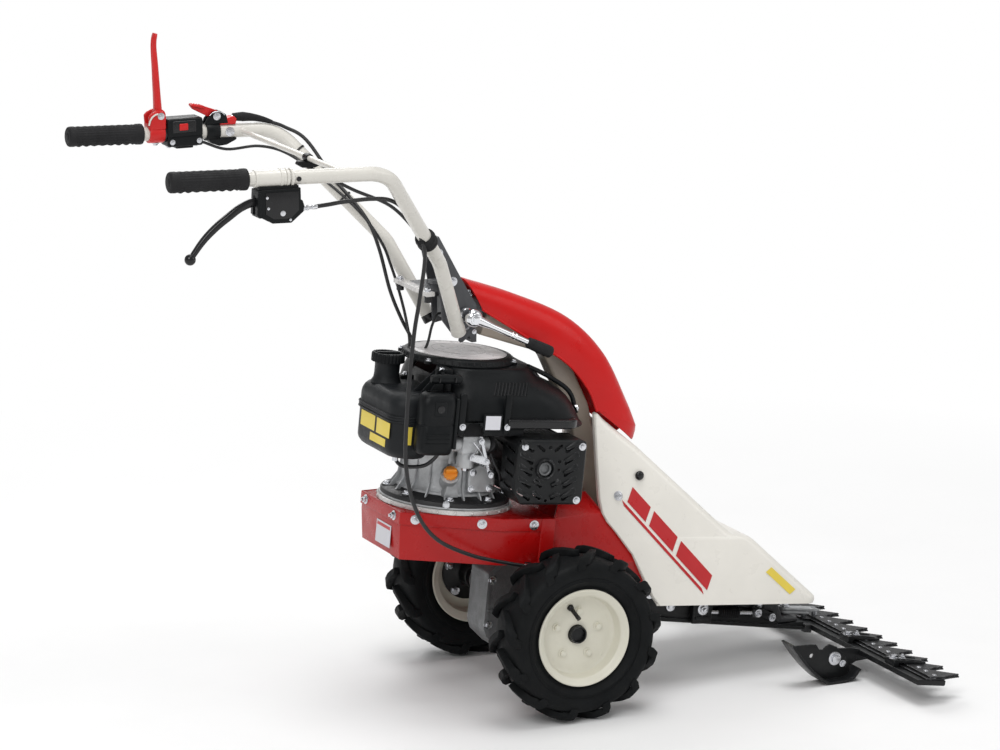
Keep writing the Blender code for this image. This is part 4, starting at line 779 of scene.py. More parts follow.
def deck():
    """The folded belt deck: top sheet, kinked walls, bolted rails and an underside lip."""
    piece = Piece("deck_look", "chassis", BODY)
    levels = ((0.006, 0.1000), (0.006, 0.1006), (0.000, 0.1540), (0.000, 0.1570),
              (0.0005, 0.1815), (0.0030, 0.1845), (0.0060, 0.1852))
    rows = [deck_wall_points(shrink, z) for shrink, z in levels]
    walls = loft_mesh(rows, (False, False), closed=False)
    for face in walls.faces:
        middle = face.calc_center_median()
        if face.normal.dot(Vector((middle.x + 0.12, middle.y, 0))) < 0:
            face.normal_flip()
    piece.add(thick(walls, SHEET), RED_PAINT, 0.0009)
    top = [(x, y) for x, y, _ in deck_wall_points(0.0055, 0)]
    sheet = prism_mesh(top, 0.1828, 0.1852, "Z")
    piece.add(cut_mesh(sheet, rod_mesh((ENGINE_X, 0, 0.17), (ENGINE_X, 0, 0.20), 0.034, 48)),
              RED_PAINT, 0.0006)
    lip = [(x, y) for x, y, _ in deck_wall_points(0.006, 0)]
    inner = [(x, y) for x, y, _ in deck_wall_points(0.020, 0)]
    piece.add(prism_mesh(lip + inner[::-1], 0.1000, 0.1022, "Z"), RED_PAINT, 0.0005)
    for side in (-1, 1):
        lap = [(-0.044, 0.104), (-0.0172, 0.104), (-0.0172, 0.186), (-0.044, 0.186)]
        piece.prism(lap, side * 0.1380, side * 0.1440, RED_PAINT, "Y", 0.0012, 3)
        piece.nut((-0.059, side * 0.1432, 0.1745), (0, side, 0), 0.0062, 0.0048)
        piece.bolt((-0.030, side * 0.1438, 0.118), (0, side, 0), 0.0056, 0.0042)
        skew = Vector((-0.055, side * 0.170, 0)).normalized()
        for share, z in ((0.14, 0.1745), (0.80, 0.1745)):
            spot = Vector((-0.290 + 0.170 * share, side * (0.0855 + 0.055 * share), z))
            piece.nut(spot + skew * 0.0028, skew, 0.0060, 0.0046)
    for y in (-0.062, 0.062):
        piece.nut((-0.2930, y, 0.1745), (-1, 0, 0), 0.0060, 0.0046)
    outer = [(x, y) for x, y, _ in deck_wall_points(-0.0030, 0)]
    rolled = [(x, y) for x, y, _ in deck_wall_points(0.0010, 0)]
    piece.add(round_edges(prism_mesh(outer + rolled[::-1], 0.1630, 0.1856, "Z"), 0.0014, 3),
              RED_PAINT)
    piece.box((-0.2912, -0.050, 0.112), (-0.2900, 0.012, 0.152), BLANK_WHITE, 0.0003, 1)
    piece.box((-0.2913, -0.047, 0.143), (-0.2902, 0.009, 0.149), STRIPE_RED, 0.0002, 1)
    for angle in (45, 135, 225, 315):
        spot = (ENGINE_X + 0.101 * math.cos(math.radians(angle)),
                0.101 * math.sin(math.radians(angle)), 0.1828)
        piece.nut(spot, (0, 0, -1), 0.0060, 0.0045)
    return piece.done("deck_pan")


def frame_box():
    """The faceted frame over the gearbox, with weld beads and bolts."""
    piece = Piece("frame_look", "chassis", BODY)

    def ring(z, rear, front, rear_half, front_half):
        return [(rear, -rear_half, z), (front, -front_half, z), (front, front_half, z),
                (rear, rear_half, z)]
    rings = [ring(0.060, 0.020, 0.190, 0.105, 0.120), ring(0.100, -0.0165, 0.170, 0.137, 0.115),
             ring(0.185, -0.0165, 0.0985, 0.137, 0.095), ring(0.215, 0.030, 0.078, 0.060, 0.058)]
    bm = loft_mesh(rings, (False, True))
    away = [face for face in bm.faces if face.normal.x < -0.7]
    bmesh.ops.delete(bm, geom=away, context="FACES")
    bm = thick(bm, SHEET)
    bm = cut_mesh(bm, box_mesh((0.075, -0.026, 0.0), (0.25, 0.026, 0.2115)),
                  box_mesh((0.08, -0.048, 0.0), (0.25, 0.048, 0.075)))
    piece.add(bm, RED_PAINT, 0.0012)
    for side in (-1, 1):
        seam = [(-0.0165, side * 0.1372, 0.1852), (0.030, side * 0.0602, 0.2152)]
        piece.tube(seam, 0.0019, RED_PAINT, 10)
        seam = [(0.0985, side * 0.0950, 0.1850), (0.0780, side * 0.0580, 0.2150)]
        piece.tube(seam, 0.0016, RED_PAINT, 10)
        piece.nut((0.050, side * 0.1235, 0.120), (0, side, 0.12), 0.0062, 0.0046)
        piece.bolt((0.112, side * 0.1190, 0.100), (0.1, side, 0.15), 0.0056, 0.0042)
    return piece.done("front_frame")


def belt_drive():
    """Both grooved pulleys with their shafts, and the V-belt."""
    crank = Piece("crank_look", "crank", BODY)
    z = BELT_Z
    profile = [(0.008, z - 0.012), (0.032, z - 0.012), (0.0325, z - 0.0105), (0.032, z - 0.009),
               (0.022, z - 0.004), (0.022, z + 0.004), (0.032, z + 0.009), (0.0325, z + 0.0105),
               (0.032, z + 0.012), (0.018, z + 0.0125), (0.017, z + 0.019), (0.008, z + 0.020)]
    crank.lathe(profile, (ENGINE_X, 0, 0), SHAFT_STEEL, "Z", 72)
    crank.rod((ENGINE_X, 0, 0.108), (ENGINE_X, 0, 0.286), 0.0122, SHAFT_STEEL, 40, 0.0008)
    crank.rod((ENGINE_X, 0, 0.240), (ENGINE_X, 0, 0.252), 0.051, SHAFT_STEEL, 56, 0.001)
    crank.bolt((ENGINE_X, 0, 0.108), (0, 0, -1), 0.0085, 0.006)
    crank.done("crankshaft")
    driven = Piece("input_look", "input_drive", BODY)
    profile = [(0.008, z - 0.012), (0.050, z - 0.012), (0.0505, z - 0.0105), (0.050, z - 0.009),
               (0.040, z - 0.004), (0.040, z + 0.004), (0.050, z + 0.009), (0.0505, z + 0.0105),
               (0.050, z + 0.012), (0.042, z + 0.012), (0.040, z + 0.008), (0.022, z + 0.007),
               (0.020, z + 0.019), (0.008, z + 0.020)]
    driven.lathe(profile, (DRIVEN_X, 0, 0), SHAFT_STEEL, "Z", 80)
    driven.rod((DRIVEN_X, 0, 0.060), (DRIVEN_X, 0, z + 0.017), 0.0121, SHAFT_STEEL, 40, 0.0008)
    # Six discs of painted shade stand for the holes in the driven pulley's face.
    for i in range(6):
        angle = math.tau * i / 6
        x, y = DRIVEN_X + 0.030 * math.cos(angle), 0.030 * math.sin(angle)
        driven.rod((x, y, z + 0.0065), (x, y, z + 0.0078), 0.0058, PAINTED_SHADE, 24)
    driven.done("driven_pulley")
    belt = Piece("belt_look", "chassis", BODY)

    def loop(small, large):
        span, count = DRIVEN_X - ENGINE_X, 28
        lean = math.acos((small - large) / span)
        points = []
        for i in range(count + 1):
            angle = lean + (math.tau - 2 * lean) * i / count
            points.append((ENGINE_X + small * math.cos(angle), small * math.sin(angle)))
        for i in range(count + 1):
            angle = -lean + 2 * lean * i / count
            points.append((DRIVEN_X + large * math.cos(angle), large * math.sin(angle)))
        return points
    rings = []
    layers = ((0.0310, 0.0052), (0.0314, 0.0045), (0.0226, 0.0032), (0.0226, -0.0032),
              (0.0314, -0.0045), (0.0310, -0.0052))
    for small, up in layers:
        rings.append([(x, y, z + up) for x, y in loop(small, small + 0.018)])
    belt.add(loft_mesh(rings + [rings[0]], (False, False)), GRIP_RUBBER)
    return belt.done("drive_belt")


def beam():
    """The cast beam under the hood: ribs, cross block, bellows, links and bolts."""
    piece = Piece("beam_look", "chassis", BODY)
    outline = [(0.0857, 0.045), (0.0857, -0.020), (0.260, -0.030), (0.568, -0.052),
               (0.568, -0.0365), (0.514, -0.041), (0.500, -0.018), (0.360, 0.0), (0.300, 0.040),
               (0.200, 0.058), (0.130, 0.058)]
    piece.prism(outline, -0.0415, 0.0415, BLACK_STEEL, "Y", 0.002)
    lower = [(0.0857, -0.012), (0.0857, -0.020), (0.260, -0.030), (0.568, -0.052),
             (0.568, -0.046), (0.260, -0.022)]
    piece.prism(lower, -0.045, 0.045, BLACK_STEEL, "Y", 0.0012)
    for side in (-1, 1):
        rib = [(0.120, 0.052), (0.126, 0.052), (0.210, -0.018), (0.203, -0.018)]
        piece.prism(rib, side * 0.040, side * 0.045, BLACK_STEEL, "Y", 0.001)
        piece.nut((0.345, side * 0.0562, -0.006), (0, side, 0), 0.0075, 0.0050)
        for x, z in ((0.150, 0.020), (0.240, 0.020), (0.285, -0.004)):
            piece.bolt((x, side * 0.0418, z), (0, side, 0), 0.0060, 0.0045)
        piece.rod((0.395, side * 0.0410, -0.012), (0.395, side * 0.049, -0.012), 0.0075, ZINC,
                  24, 0.0008)
        bellows = [(0.0, 0.0)]
        for i in range(9):
            bellows += [(0.0072, 0.0010 + 0.0046 * i), (0.0102, 0.0033 + 0.0046 * i)]
        bellows += [(0.0072, 0.0424), (0.0, 0.0424)]
        piece.add(lathe_mesh(bellows, (0.3790, side * 0.0520, -0.0130), toward((1, 0, -0.03)),
                             40), GRIP_RUBBER)
        piece.rod((0.360, side * 0.0520, -0.0125), (0.455, side * 0.0520, -0.0155), 0.0038, ZINC,
                  20)
        piece.box((0.450, side * 0.0515 - 0.0065, -0.0230),
                  (0.468, side * 0.0515 + 0.0065, -0.0080), DARK_CASTING, 0.0016, 3)
        link = [(0.452, -0.006), (0.462, -0.004), (0.500, -0.020), (0.502, -0.030),
                (0.494, -0.032), (0.456, -0.018)]
        piece.prism(link, side * 0.0440, side * 0.0480, BLACK_STEEL, "Y", 0.001)
        piece.nut((0.4600, side * 0.0582, -0.0150), (0, side, 0), 0.0052, 0.0036)
        piece.nut((0.4960, side * 0.0482, -0.0260), (0, side, 0), 0.0052, 0.0036)
    piece.box((0.325, -0.056, -0.034), (0.365, 0.056, 0.020), BLACK_STEEL, 0.003, 3)
    piece.box((0.331, -0.058, -0.026), (0.359, 0.058, -0.020), BLACK_STEEL, 0.001)
    return piece.done("front_beam")


# ---- hood, cowl and arm -------------------------------------------------------------------
# (height, x) of the hood's front and rear edges, in BODY
HOOD_FRONT = ((0.0235, 0.5350), (0.0280, 0.5375), (0.0335, 0.5375), (0.0400, 0.5300),
              (0.1330, 0.4130), (0.1385, 0.4040), (0.1415, 0.3900), (0.1435, 0.3720),
              (0.1490, 0.3600), (0.297, 0.1760), (0.357, 0.0900))
HOOD_REAR = ((0.0235, 0.2090), (0.0400, 0.1960), (0.0800, 0.1740), (0.113, 0.1560),
             (0.151, 0.1240), (0.170, 0.1060), (0.185, 0.0970), (0.210, 0.0915),
             (0.280, 0.0870), (0.357, 0.0840))


def hood_half(z):
    """The hood's half width at a height: its sides lean in toward the top."""
    return 0.057 + (0.357 - z) * (0.140 - 0.057) / (0.357 - 0.0235)


def hood_ring(z):
    """The hood's open outline at a height, from right rear round the nose to left rear."""
    half = hood_half(z)
    fore, aft = between(z, HOOD_FRONT), between(z, HOOD_REAR)
    corner = min(0.024, half * 0.6, (fore - aft) * 0.8)
    side = [(aft + 0.0012, half - 0.011), (aft, half - 0.0015), (aft + 0.0015, half)]
    for i in range(9):
        angle = math.pi / 2 * i / 8
        side.append((fore - corner + corner * math.sin(angle),
                     half - corner + corner * math.cos(angle)))
    return [(x, -y, z) for x, y in side] + [(x, y, z) for x, y in side[::-1]]


FILM = 0.0004     # thickness of a printed film, and its gap to the sheet under it


def on_hood(outline):
    """A thin flat film on each of the hood's leaning sides; outline is (x, z)."""
    films = []
    for side in (-1, 1):
        low = [(x, side * (hood_half(z) + FILM), z) for x, z in outline]
        high = [(x, side * (hood_half(z) + 2 * FILM), z) for x, z in outline]
        films.append(loft_mesh([low, high]))
    return films


def hood():
    """The ivory hood: one pressed skin with a stepped nose, turned-in rear edges, trims."""
    piece = Piece("hood_look", "chassis", BODY)
    heights = [0.0235, 0.0255, 0.0280, 0.0310, 0.0335, 0.0370, 0.0400, 0.055, 0.070, 0.080,
               0.090, 0.100, 0.113, 0.124, 0.1330, 0.1365, 0.1385, 0.1400, 0.1415, 0.1425,
               0.1435, 0.1460, 0.1490, 0.155, 0.163, 0.170, 0.178, 0.185, 0.197, 0.210, 0.228,
               0.245, 0.262, 0.280, 0.297, 0.315, 0.330, 0.345, 0.357]
    bm = loft_mesh([hood_ring(z) for z in heights], (False, False), closed=False)
    for face in bm.faces:
        middle = face.calc_center_median()
        if face.normal.dot(Vector((0.3, middle.y * 10, 0.3))) < 0:
            face.normal_flip()
    bm = thick(bm, 0.002, even=False)
    gap = box_mesh((0.05, -0.040, 0.2985), (0.20, 0.040, 0.380))
    piece.add(cut_mesh(bm, gap), IVORY)
    for side in (-1, 1):
        y = side * (hood_half(0.036) - 0.0010)
        hem = [(0.205, y, 0.0245), (0.215, y, 0.0245), (0.520, side * 0.132, 0.0245)]
        piece.tube(hem, 0.0021, IVORY, 10)
        spot = (0.170, side * hood_half(0.250), 0.2500)
        out = Vector((0, side, 0.25))
        piece.bolt((0.128, side * hood_half(0.215), 0.215), out, 0.0060, 0.0042)
        piece.ball(Vector(spot) + out * 0.003, 0.0085, GLOSS_PLASTIC, (1, 0.7, 1))
        piece.rod(spot, Vector(spot) + out * 0.004, 0.0050, GLOSS_PLASTIC, 24)
    rise = Vector((0.2025, -0.197)).normalized()
    across = Vector((-rise.y, rise.x))
    start = Vector((0.1700, 0.2290))

    def stripe(first, last, low, high):
        cant = 0.010
        corners = ((first, low), (last, low), (last - cant, high), (first - cant, high))
        return [tuple(start + rise * along + across * up) for along, up in corners]
    for first, last in ((0.000, 0.050), (0.060, 0.125), (0.135, 0.222)):
        for film in on_hood(stripe(first, last, -0.034, -0.008)):
            piece.add(film, STRIPE_RED)
    for film in on_hood(stripe(0.0, 0.222, -0.044, -0.039)):
        piece.add(film, STRIPE_RED)
    label = [(0.4270, 0.0800), (0.4390, 0.0885), (0.4880, 0.0490), (0.4760, 0.0405)]
    for film in on_hood(label):
        piece.add(film, BLANK_YELLOW)
    return piece.done("hood", angle=42)


def cowl():
    """The red gooseneck cowl: an arched moulding with a rolled rim."""
    piece = Piece("cowl_look", "chassis", GROUND)
    steps = 7
    crown = smooth_path([(-0.118, 0.757, 0), (-0.015, 0.719, 0), (0.0835, 0.671, 0),
                         (0.153, 0.602, 0), (0.200, 0.510, 0), (0.2235, 0.452, 0)], steps)
    skirt = smooth_path([(-0.093, 0.704, 0), (-0.006, 0.645, 0), (0.066, 0.595, 0),
                         (0.107, 0.545, 0), (0.124, 0.505, 0), (0.1255, 0.5035, 0)], steps)
    last = len(crown) - 1
    count = 32
    rings = []
    for i, (top, low) in enumerate(zip(crown, skirt)):
        half = 0.042 + 0.014 * min(1.0, i / (steps * 1.7))
        ring = []
        for k in range(count + 1):
            angle = math.pi * k / count
            across = -math.cos(angle)
            up = math.sin(angle)
            y = half * math.copysign(abs(across) ** 0.62, across)
            point = low.lerp(top, up ** 0.75)
            if i == last:
                point = low.lerp(Vector((0.208, 0.436, 0)), min(1.0, up * 1.1)).lerp(
                    low.lerp(top, up), max(0.0, up - 0.9) * 10)
            ring.append((point.x, y, point.y))
        rings.append(ring)
    bm = loft_mesh(rings, (False, False), closed=False)
    centre = Vector((0.0, 0.0, 0.55))
    for face in bm.faces:
        middle = face.calc_center_median()
        if face.normal.dot(Vector((middle.x - centre.x, middle.y * 8,
                                   middle.z - centre.z))) < 0:
            face.normal_flip()
    piece.add(thick(bm, 0.0024), COWL_RED)
    for edge in (0, -1):
        rim_line = [Vector(ring[edge]) + Vector((0, 0.0012 if edge == 0 else -0.0012, 0))
                    for ring in rings[:-1]]
        piece.tube(rim_line, 0.0023, COWL_RED, 12)
    return piece.done("cowl", angle=50)


def square_ring(centre, along, half, corner):
    """A rounded square round a point, square to a direction in the x-z plane."""
    side = Vector((-along.z, 0, along.x))
    ring = []
    for x, y, _ in rounded_box((-half, -half), (half, half), corner, 0, 5):
        ring.append(centre + side * x + Vector((0, y, 0)))
    return ring


def arm():
    """The square-tube gooseneck with its welded foot, tongue and swing pin."""
    piece = Piece("arm_look", "chassis", GROUND)
    line = rounded_path([(-0.080, 0, 0.672), (0.050, 0, 0.625), (0.108, 0, 0.50),
                         (0.128, 0, 0.38), (0.150, 0, 0.26), (0.1640, 0, 0.204)], 0.055, 9)
    rings = []
    for i, point in enumerate(line):
        ahead = (line[min(i + 1, len(line) - 1)] - line[max(i - 1, 0)]).normalized()
        rings.append(square_ring(point, ahead, 0.020, 0.0055))
    # The tube, foot and tongue carry painted shade and a painted red reflection in place of their
    # ivory.
    piece.add(loft_mesh(rings), ARM_PAINTED_SHADE)
    piece.box((-0.112, -0.018, 0.672), (-0.070, 0.018, 0.684), ARM_PAINTED_SHADE, 0.0015)
    piece.tube([(-0.072, -0.0195, 0.684), (-0.072, 0.0195, 0.684)], 0.003, ARM_PAINTED_SHADE, 12)
    piece.rod((SWING_X, 0, 0.660), (SWING_X, 0, 0.7255), 0.0080, SHAFT_STEEL, 40, 0.0008)
    piece.nut((SWING_X, 0, 0.7222), (0, 0, 1), 0.0098, 0.0030)
    turn = GROUND.inverted() @ BODY
    for low, high in (((0.131, -0.040, 0.0585), (0.200, 0.040, 0.0645)),
                      ((0.138, -0.024, 0.0600), (0.186, 0.024, 0.0760))):
        bm = round_edges(box_mesh(low, high), 0.0012, 2)
        bmesh.ops.transform(bm, matrix=turn, verts=bm.verts)
        piece.add(bm, ARM_PAINTED_SHADE)
    up = (turn.to_3x3() @ Vector((0, 0, 1))).normalized()
    for x in (0.138, 0.193):
        for y in (-0.031, 0.031):
            piece.bolt(turn @ Vector((x, y, 0.0645)), up, 0.0058, 0.0042)
    return piece.done("steering_arm", angle=40)


def body_work():
    """Deck, frame, belt drive, beam, hood, cowl and arm."""
    deck()
    frame_box()
    belt_drive()
    beam()
    hood()
    cowl()
    arm()


# ---- engine -------------------------------------------------------------------------------
FILLER = (-0.299, 0.010)      # (x, y) of the fuel filler's axis
OUTLET = (-0.063, 0.282)      # (x, z) of the muffler's outlet


def spacer():
    """The pale spacer ring between the engine and the deck, ribbed round its rim."""
    piece = Piece("spacer_look", "chassis", BODY)
    profile = [(0.030, 0.1853), (0.1185, 0.1853), (0.1200, 0.1862), (0.1200, 0.1932),
               (0.1188, 0.1942), (0.1120, 0.1943), (0.1100, 0.1930), (0.0300, 0.1930)]
    piece.lathe(profile, (ENGINE_X, 0, 0), SPACER, "Z", 96)
    for i in range(24):
        angle = math.tau * i / 24
        spot = Vector((ENGINE_X + 0.1192 * math.cos(angle), 0.1192 * math.sin(angle), 0.1898))
        piece.ball(spot, 0.0030, SPACER, (1, 1, 1.1))
    return piece.done("spacer_plate")


def crankcase():
    """The alloy crankcase on its black flange: ribs, bosses, side cover and bolts."""
    piece = Piece("crankcase_look", "chassis", BODY)
    flange = [(0.030, 0.1946), (0.1120, 0.1946), (0.1150, 0.1960), (0.1150, 0.2030),
              (0.1135, 0.2052), (0.1080, 0.2072), (0.0930, 0.2100), (0.0880, 0.2140),
              (0.030, 0.2140)]
    piece.lathe(flange, (ENGINE_X, 0, 0), FIN_BLACK, "Z", 96)
    piece.lathe([(0.1142, 0.1944), (0.1158, 0.1950), (0.1158, 0.1976), (0.1142, 0.1982)],
                (ENGINE_X, 0, 0), CASTING, "Z", 96)
    body = [(0.0125, 0.2120), (0.0890, 0.2120), (0.0885, 0.2170), (0.0850, 0.2210),
            (0.0820, 0.2290), (0.0815, 0.2700), (0.0830, 0.2760), (0.0850, 0.2790),
            (0.0850, 0.2850), (0.0820, 0.2880), (0.0800, 0.2980), (0.0125, 0.2980)]
    piece.lathe(body, (ENGINE_X, 0, 0), CASTING, "Z", 96)
    for i in range(18):
        angle = math.tau * i / 18 + 0.09
        spoke = Vector((math.cos(angle), math.sin(angle), 0))
        if spoke.x > 0.75:
            continue
        across = Vector((-spoke.y, spoke.x, 0)) * 0.0016
        centre = Vector((ENGINE_X, 0, 0))
        foot, top = centre + spoke * 0.1020, centre + spoke * 0.0815
        rings = []
        for base, z in ((foot, 0.2085), (centre + spoke * 0.0880, 0.2300), (top, 0.2760)):
            inner = centre + spoke * 0.076
            rings.append([(base - across) + Vector((0, 0, z)), (base + across) + Vector((0, 0, z)),
                          (inner + across) + Vector((0, 0, z)),
                          (inner - across) + Vector((0, 0, z))])
        piece.add(loft_mesh(rings), CASTING, 0.0007, 1)
    for degrees in (20, 75, 118, 160, 205, 250, 292, 338):
        angle = math.radians(degrees)
        spoke = Vector((math.cos(angle), math.sin(angle), 0))
        spot = Vector((ENGINE_X, 0, 0)) + spoke * 0.1030
        piece.rod(spot + Vector((0, 0, 0.1990)), spot + Vector((0, 0, 0.2090)), 0.0095,
                  FIN_BLACK, 28, 0.001)
        piece.bolt(spot + Vector((0, 0, 0.2090)), (0, 0, 1), 0.0058, 0.0045)
        spot = Vector((ENGINE_X, 0, 0)) + spoke * 0.0800
        piece.rod(spot + Vector((0, 0, 0.2700)), spot + Vector((0, 0, 0.2935)), 0.0075,
                  CASTING, 24, 0.001)
    piece.rod((-0.2000, -0.0700, 0.2350), (-0.2095, -0.0985, 0.2560), 0.0150, CASTING, 40,
              0.0014)
    piece.rod((-0.2080, -0.0940, 0.2527), (-0.2094, -0.0982, 0.2558), 0.0168, CASTING, 40,
              0.001)
    web = [(-0.214, 0.212), (-0.186, 0.212), (-0.190, 0.240), (-0.206, 0.248)]
    piece.prism(web, -0.0905, -0.0700, CASTING, "Y", 0.0015)
    cover = [(-0.170, 0.222), (-0.128, 0.222), (-0.118, 0.236), (-0.122, 0.262),
             (-0.150, 0.272), (-0.172, 0.262)]
    piece.prism(cover, -0.0930, -0.0600, CASTING, "Y", 0.003, 3)
    for x, z in ((-0.164, 0.229), (-0.129, 0.230), (-0.128, 0.257), (-0.163, 0.258)):
        piece.bolt((x, -0.0930, z), (0, -1, 0), 0.0046, 0.0036)
    drain = Vector((-0.045, -0.105, 0)).normalized()
    spot = Vector((ENGINE_X, 0, 0.2040)) + drain * 0.112
    piece.rod(spot, spot + drain * 0.009, 0.0070, ZINC, 6, 0.0007)
    return piece.done("crankcase")


def carburettor():
    """Carburettor body, governor arm, links and intake elbow in the arch under the shroud."""
    piece = Piece("carburettor", "chassis", BODY)
    piece.box((-0.205, -0.128, 0.298), (-0.172, -0.094, 0.330), CASTING, 0.003, 3)
    piece.rod((-0.189, -0.112, 0.272), (-0.189, -0.112, 0.300), 0.0150, CASTING, 36, 0.002)
    piece.rod((-0.189, -0.112, 0.266), (-0.189, -0.112, 0.273), 0.0060, ZINC, 6, 0.0006)
    piece.rod((-0.232, -0.112, 0.314), (-0.150, -0.112, 0.314), 0.0135, CASTING, 36, 0.0012)
    piece.rod((-0.150, -0.112, 0.314), (-0.134, -0.095, 0.306), 0.0150, FIN_BLACK, 36, 0.002)
    piece.rod((-0.134, -0.095, 0.306), (-0.095, -0.060, 0.285), 0.0140, FIN_BLACK, 36, 0.002)
    plate = [(-0.192, 0.2885), (-0.156, 0.2790), (-0.150, 0.2840), (-0.164, 0.2960),
             (-0.188, 0.3000)]
    piece.prism(plate, -0.1335, -0.1315, ZINC, "Y", 0.0005)
    arm_line = [(-0.150, 0.258), (-0.144, 0.258), (-0.168, 0.330), (-0.174, 0.330)]
    piece.prism(arm_line, -0.1290, -0.1272, ZINC, "Y", 0.0004)
    for spot in ((-0.147, 0.262), (-0.171, 0.322), (-0.186, 0.293), (-0.158, 0.286)):
        piece.bolt((spot[0], -0.1330, spot[1]), (0, -1, 0), 0.0038, 0.0030)
    links = (((-0.171, -0.131, 0.322), (-0.180, -0.133, 0.306), (-0.187, -0.131, 0.296)),
             ((-0.160, -0.131, 0.288), (-0.172, -0.134, 0.304), (-0.186, -0.131, 0.320)))
    for link in links:
        piece.tube(smooth_path(link), 0.0009, ZINC, 8)
    coil = [(-0.150 - 0.00045 * i * 1.2, -0.130 + 0.0028 * math.cos(i * 0.8),
             0.272 + 0.0028 * math.sin(i * 0.8) + 0.00030 * i) for i in range(70)]
    piece.tube(coil, 0.00055, ZINC, 6)
    piece.tube(smooth_path([(-0.150, -0.128, 0.300), (-0.142, -0.132, 0.282),
                            (-0.128, -0.128, 0.262), (-0.118, -0.112, 0.248)]), 0.0024,
               CABLE, 12)
    return piece.done()


def dipstick():
    """The orange oil cap: a ribbed head with a finger wing, and its dipstick."""
    piece = Piece("dipstick_look", "oil_dipstick", BODY)
    axis = Vector((-0.0095, -0.0285, 0.021)).normalized()
    seat = Vector((-0.2097, -0.0991, 0.2564)) + axis * 0.0004
    turn = toward(axis)
    head = []
    for i in range(72):
        angle = math.tau * i / 72
        head.append((0.0128 if i % 6 < 3 else 0.0119, angle))
    rings = []
    for scale, up in ((0.94, 0.0), (1.0, 0.001), (1.0, 0.008), (0.93, 0.0098), (0.5, 0.0102)):
        rings.append([seat + turn.to_3x3() @ Vector((r * scale * math.cos(a),
                                                     r * scale * math.sin(a), up))
                      for r, a in head])
    piece.add(loft_mesh(rings), ORANGE)
    wing = with_modifiers(box_mesh((-0.0095, -0.0024, 0.006), (0.0095, 0.0024, 0.0205)),
                          ("BEVEL", {"width": 0.002, "segments": 3}))
    bmesh.ops.transform(wing, matrix=Matrix.Translation(seat) @ turn, verts=wing.verts)
    piece.add(wing, ORANGE)
    piece.rod(seat - axis * 0.021, seat + axis * 0.001, 0.0072, ORANGE, 32, 0.0006)
    for i in range(5):
        at = seat - axis * (0.003 + 0.0035 * i)
        piece.rod(at - axis * 0.0007, at + axis * 0.0007, 0.0079, ORANGE, 32, 0.0004)
    return piece.done("dipstick")


def cylinder():
    """The horizontal cylinder and head with thin cast fins, spark plug and its cap."""
    piece = Piece("cylinder_look", "chassis", BODY)
    piece.box((-0.0845, -0.034, 0.228), (0.046, 0.034, 0.300), FIN_BLACK, 0.006, 3)
    for i in range(15):
        x = -0.0800 + 0.0088 * i
        fin = rounded_box((-0.056, 0.2165), (0.056, 0.309), 0.016, 0, 5)
        outline = [(y, z) for y, z, _ in fin]
        piece.prism(outline, x, x + 0.0022, FIN_BLACK, "X", 0.0005, 1)
    piece.box((0.0415, -0.044, 0.224), (0.0490, 0.044, 0.303), FIN_BLACK, 0.004, 3)
    for y in (-0.034, 0.034):
        for z in (0.236, 0.291):
            piece.bolt((0.0490, y, z), (1, 0, 0), 0.0062, 0.0045)
    piece.rod((0.046, 0.0, 0.264), (0.054, 0.0, 0.264), 0.0085, ZINC, 6, 0.0008)
    piece.tube([(0.052, 0, 0.264), (0.064, 0, 0.264), (0.066, 0, 0.266)], [0.009, 0.0088, 0.007],
               GRIP_RUBBER, 24)
    lead = smooth_path([(0.062, 0.002, 0.266), (0.058, 0.024, 0.285), (0.030, 0.050, 0.318),
                        (-0.010, 0.070, 0.332)])
    piece.tube(lead, 0.0034, CABLE, 12)
    return piece.done("cylinder_block")


def muffler():
    """The pressed muffler can behind its guard: seam, inlet pipe, flange and outlet."""
    piece = Piece("muffler_look", "chassis", BODY)
    outline = [(x, z) for x, z, _ in rounded_box((-0.100, 0.235), (0.002, 0.326), 0.018, 0)]
    piece.prism(outline, -0.148, -0.120, GREY_CASTING, "Y", 0.006, 3)
    seam = [(x, z) for x, z, _ in rounded_box((-0.104, 0.231), (0.006, 0.330), 0.020, 0)]
    piece.prism(seam, -0.1350, -0.1328, GREY_CASTING, "Y", 0.0004, 1)
    piece.rod((-0.030, -0.125, 0.280), (-0.030, -0.0575, 0.280), 0.0120, GREY_CASTING, 36,
              0.001)
    piece.box((-0.052, -0.064, 0.262), (-0.008, -0.0585, 0.298), GREY_CASTING, 0.002)
    x, z = OUTLET
    piece.rod((x, -0.148, z), (x, -0.1685, z), 0.0105, GREY_CASTING, 36, 0.001)
    return piece.done("muffler")


GUARD_LOW = Vector((-0.117, -0.172, 0.217))
GUARD_HIGH = Vector((0.016, -0.108, 0.3335))


def slanted_slot(x, z, length, height, lean):
    """The outline of one slanted slot with rounded ends, in the guard's face."""
    axis = Vector((math.cos(lean), math.sin(lean)))
    across = Vector((-axis.y, axis.x))
    points = []
    for end, start in ((1, -90), (-1, 90)):
        for i in range(6):
            angle = math.radians(start + 36 * i)
            spot = (Vector((x, z)) + axis * (end * (length - height) / 2)
                    + (axis * math.cos(angle) + across * math.sin(angle)) * height / 2)
            points.append(tuple(spot))
    return points


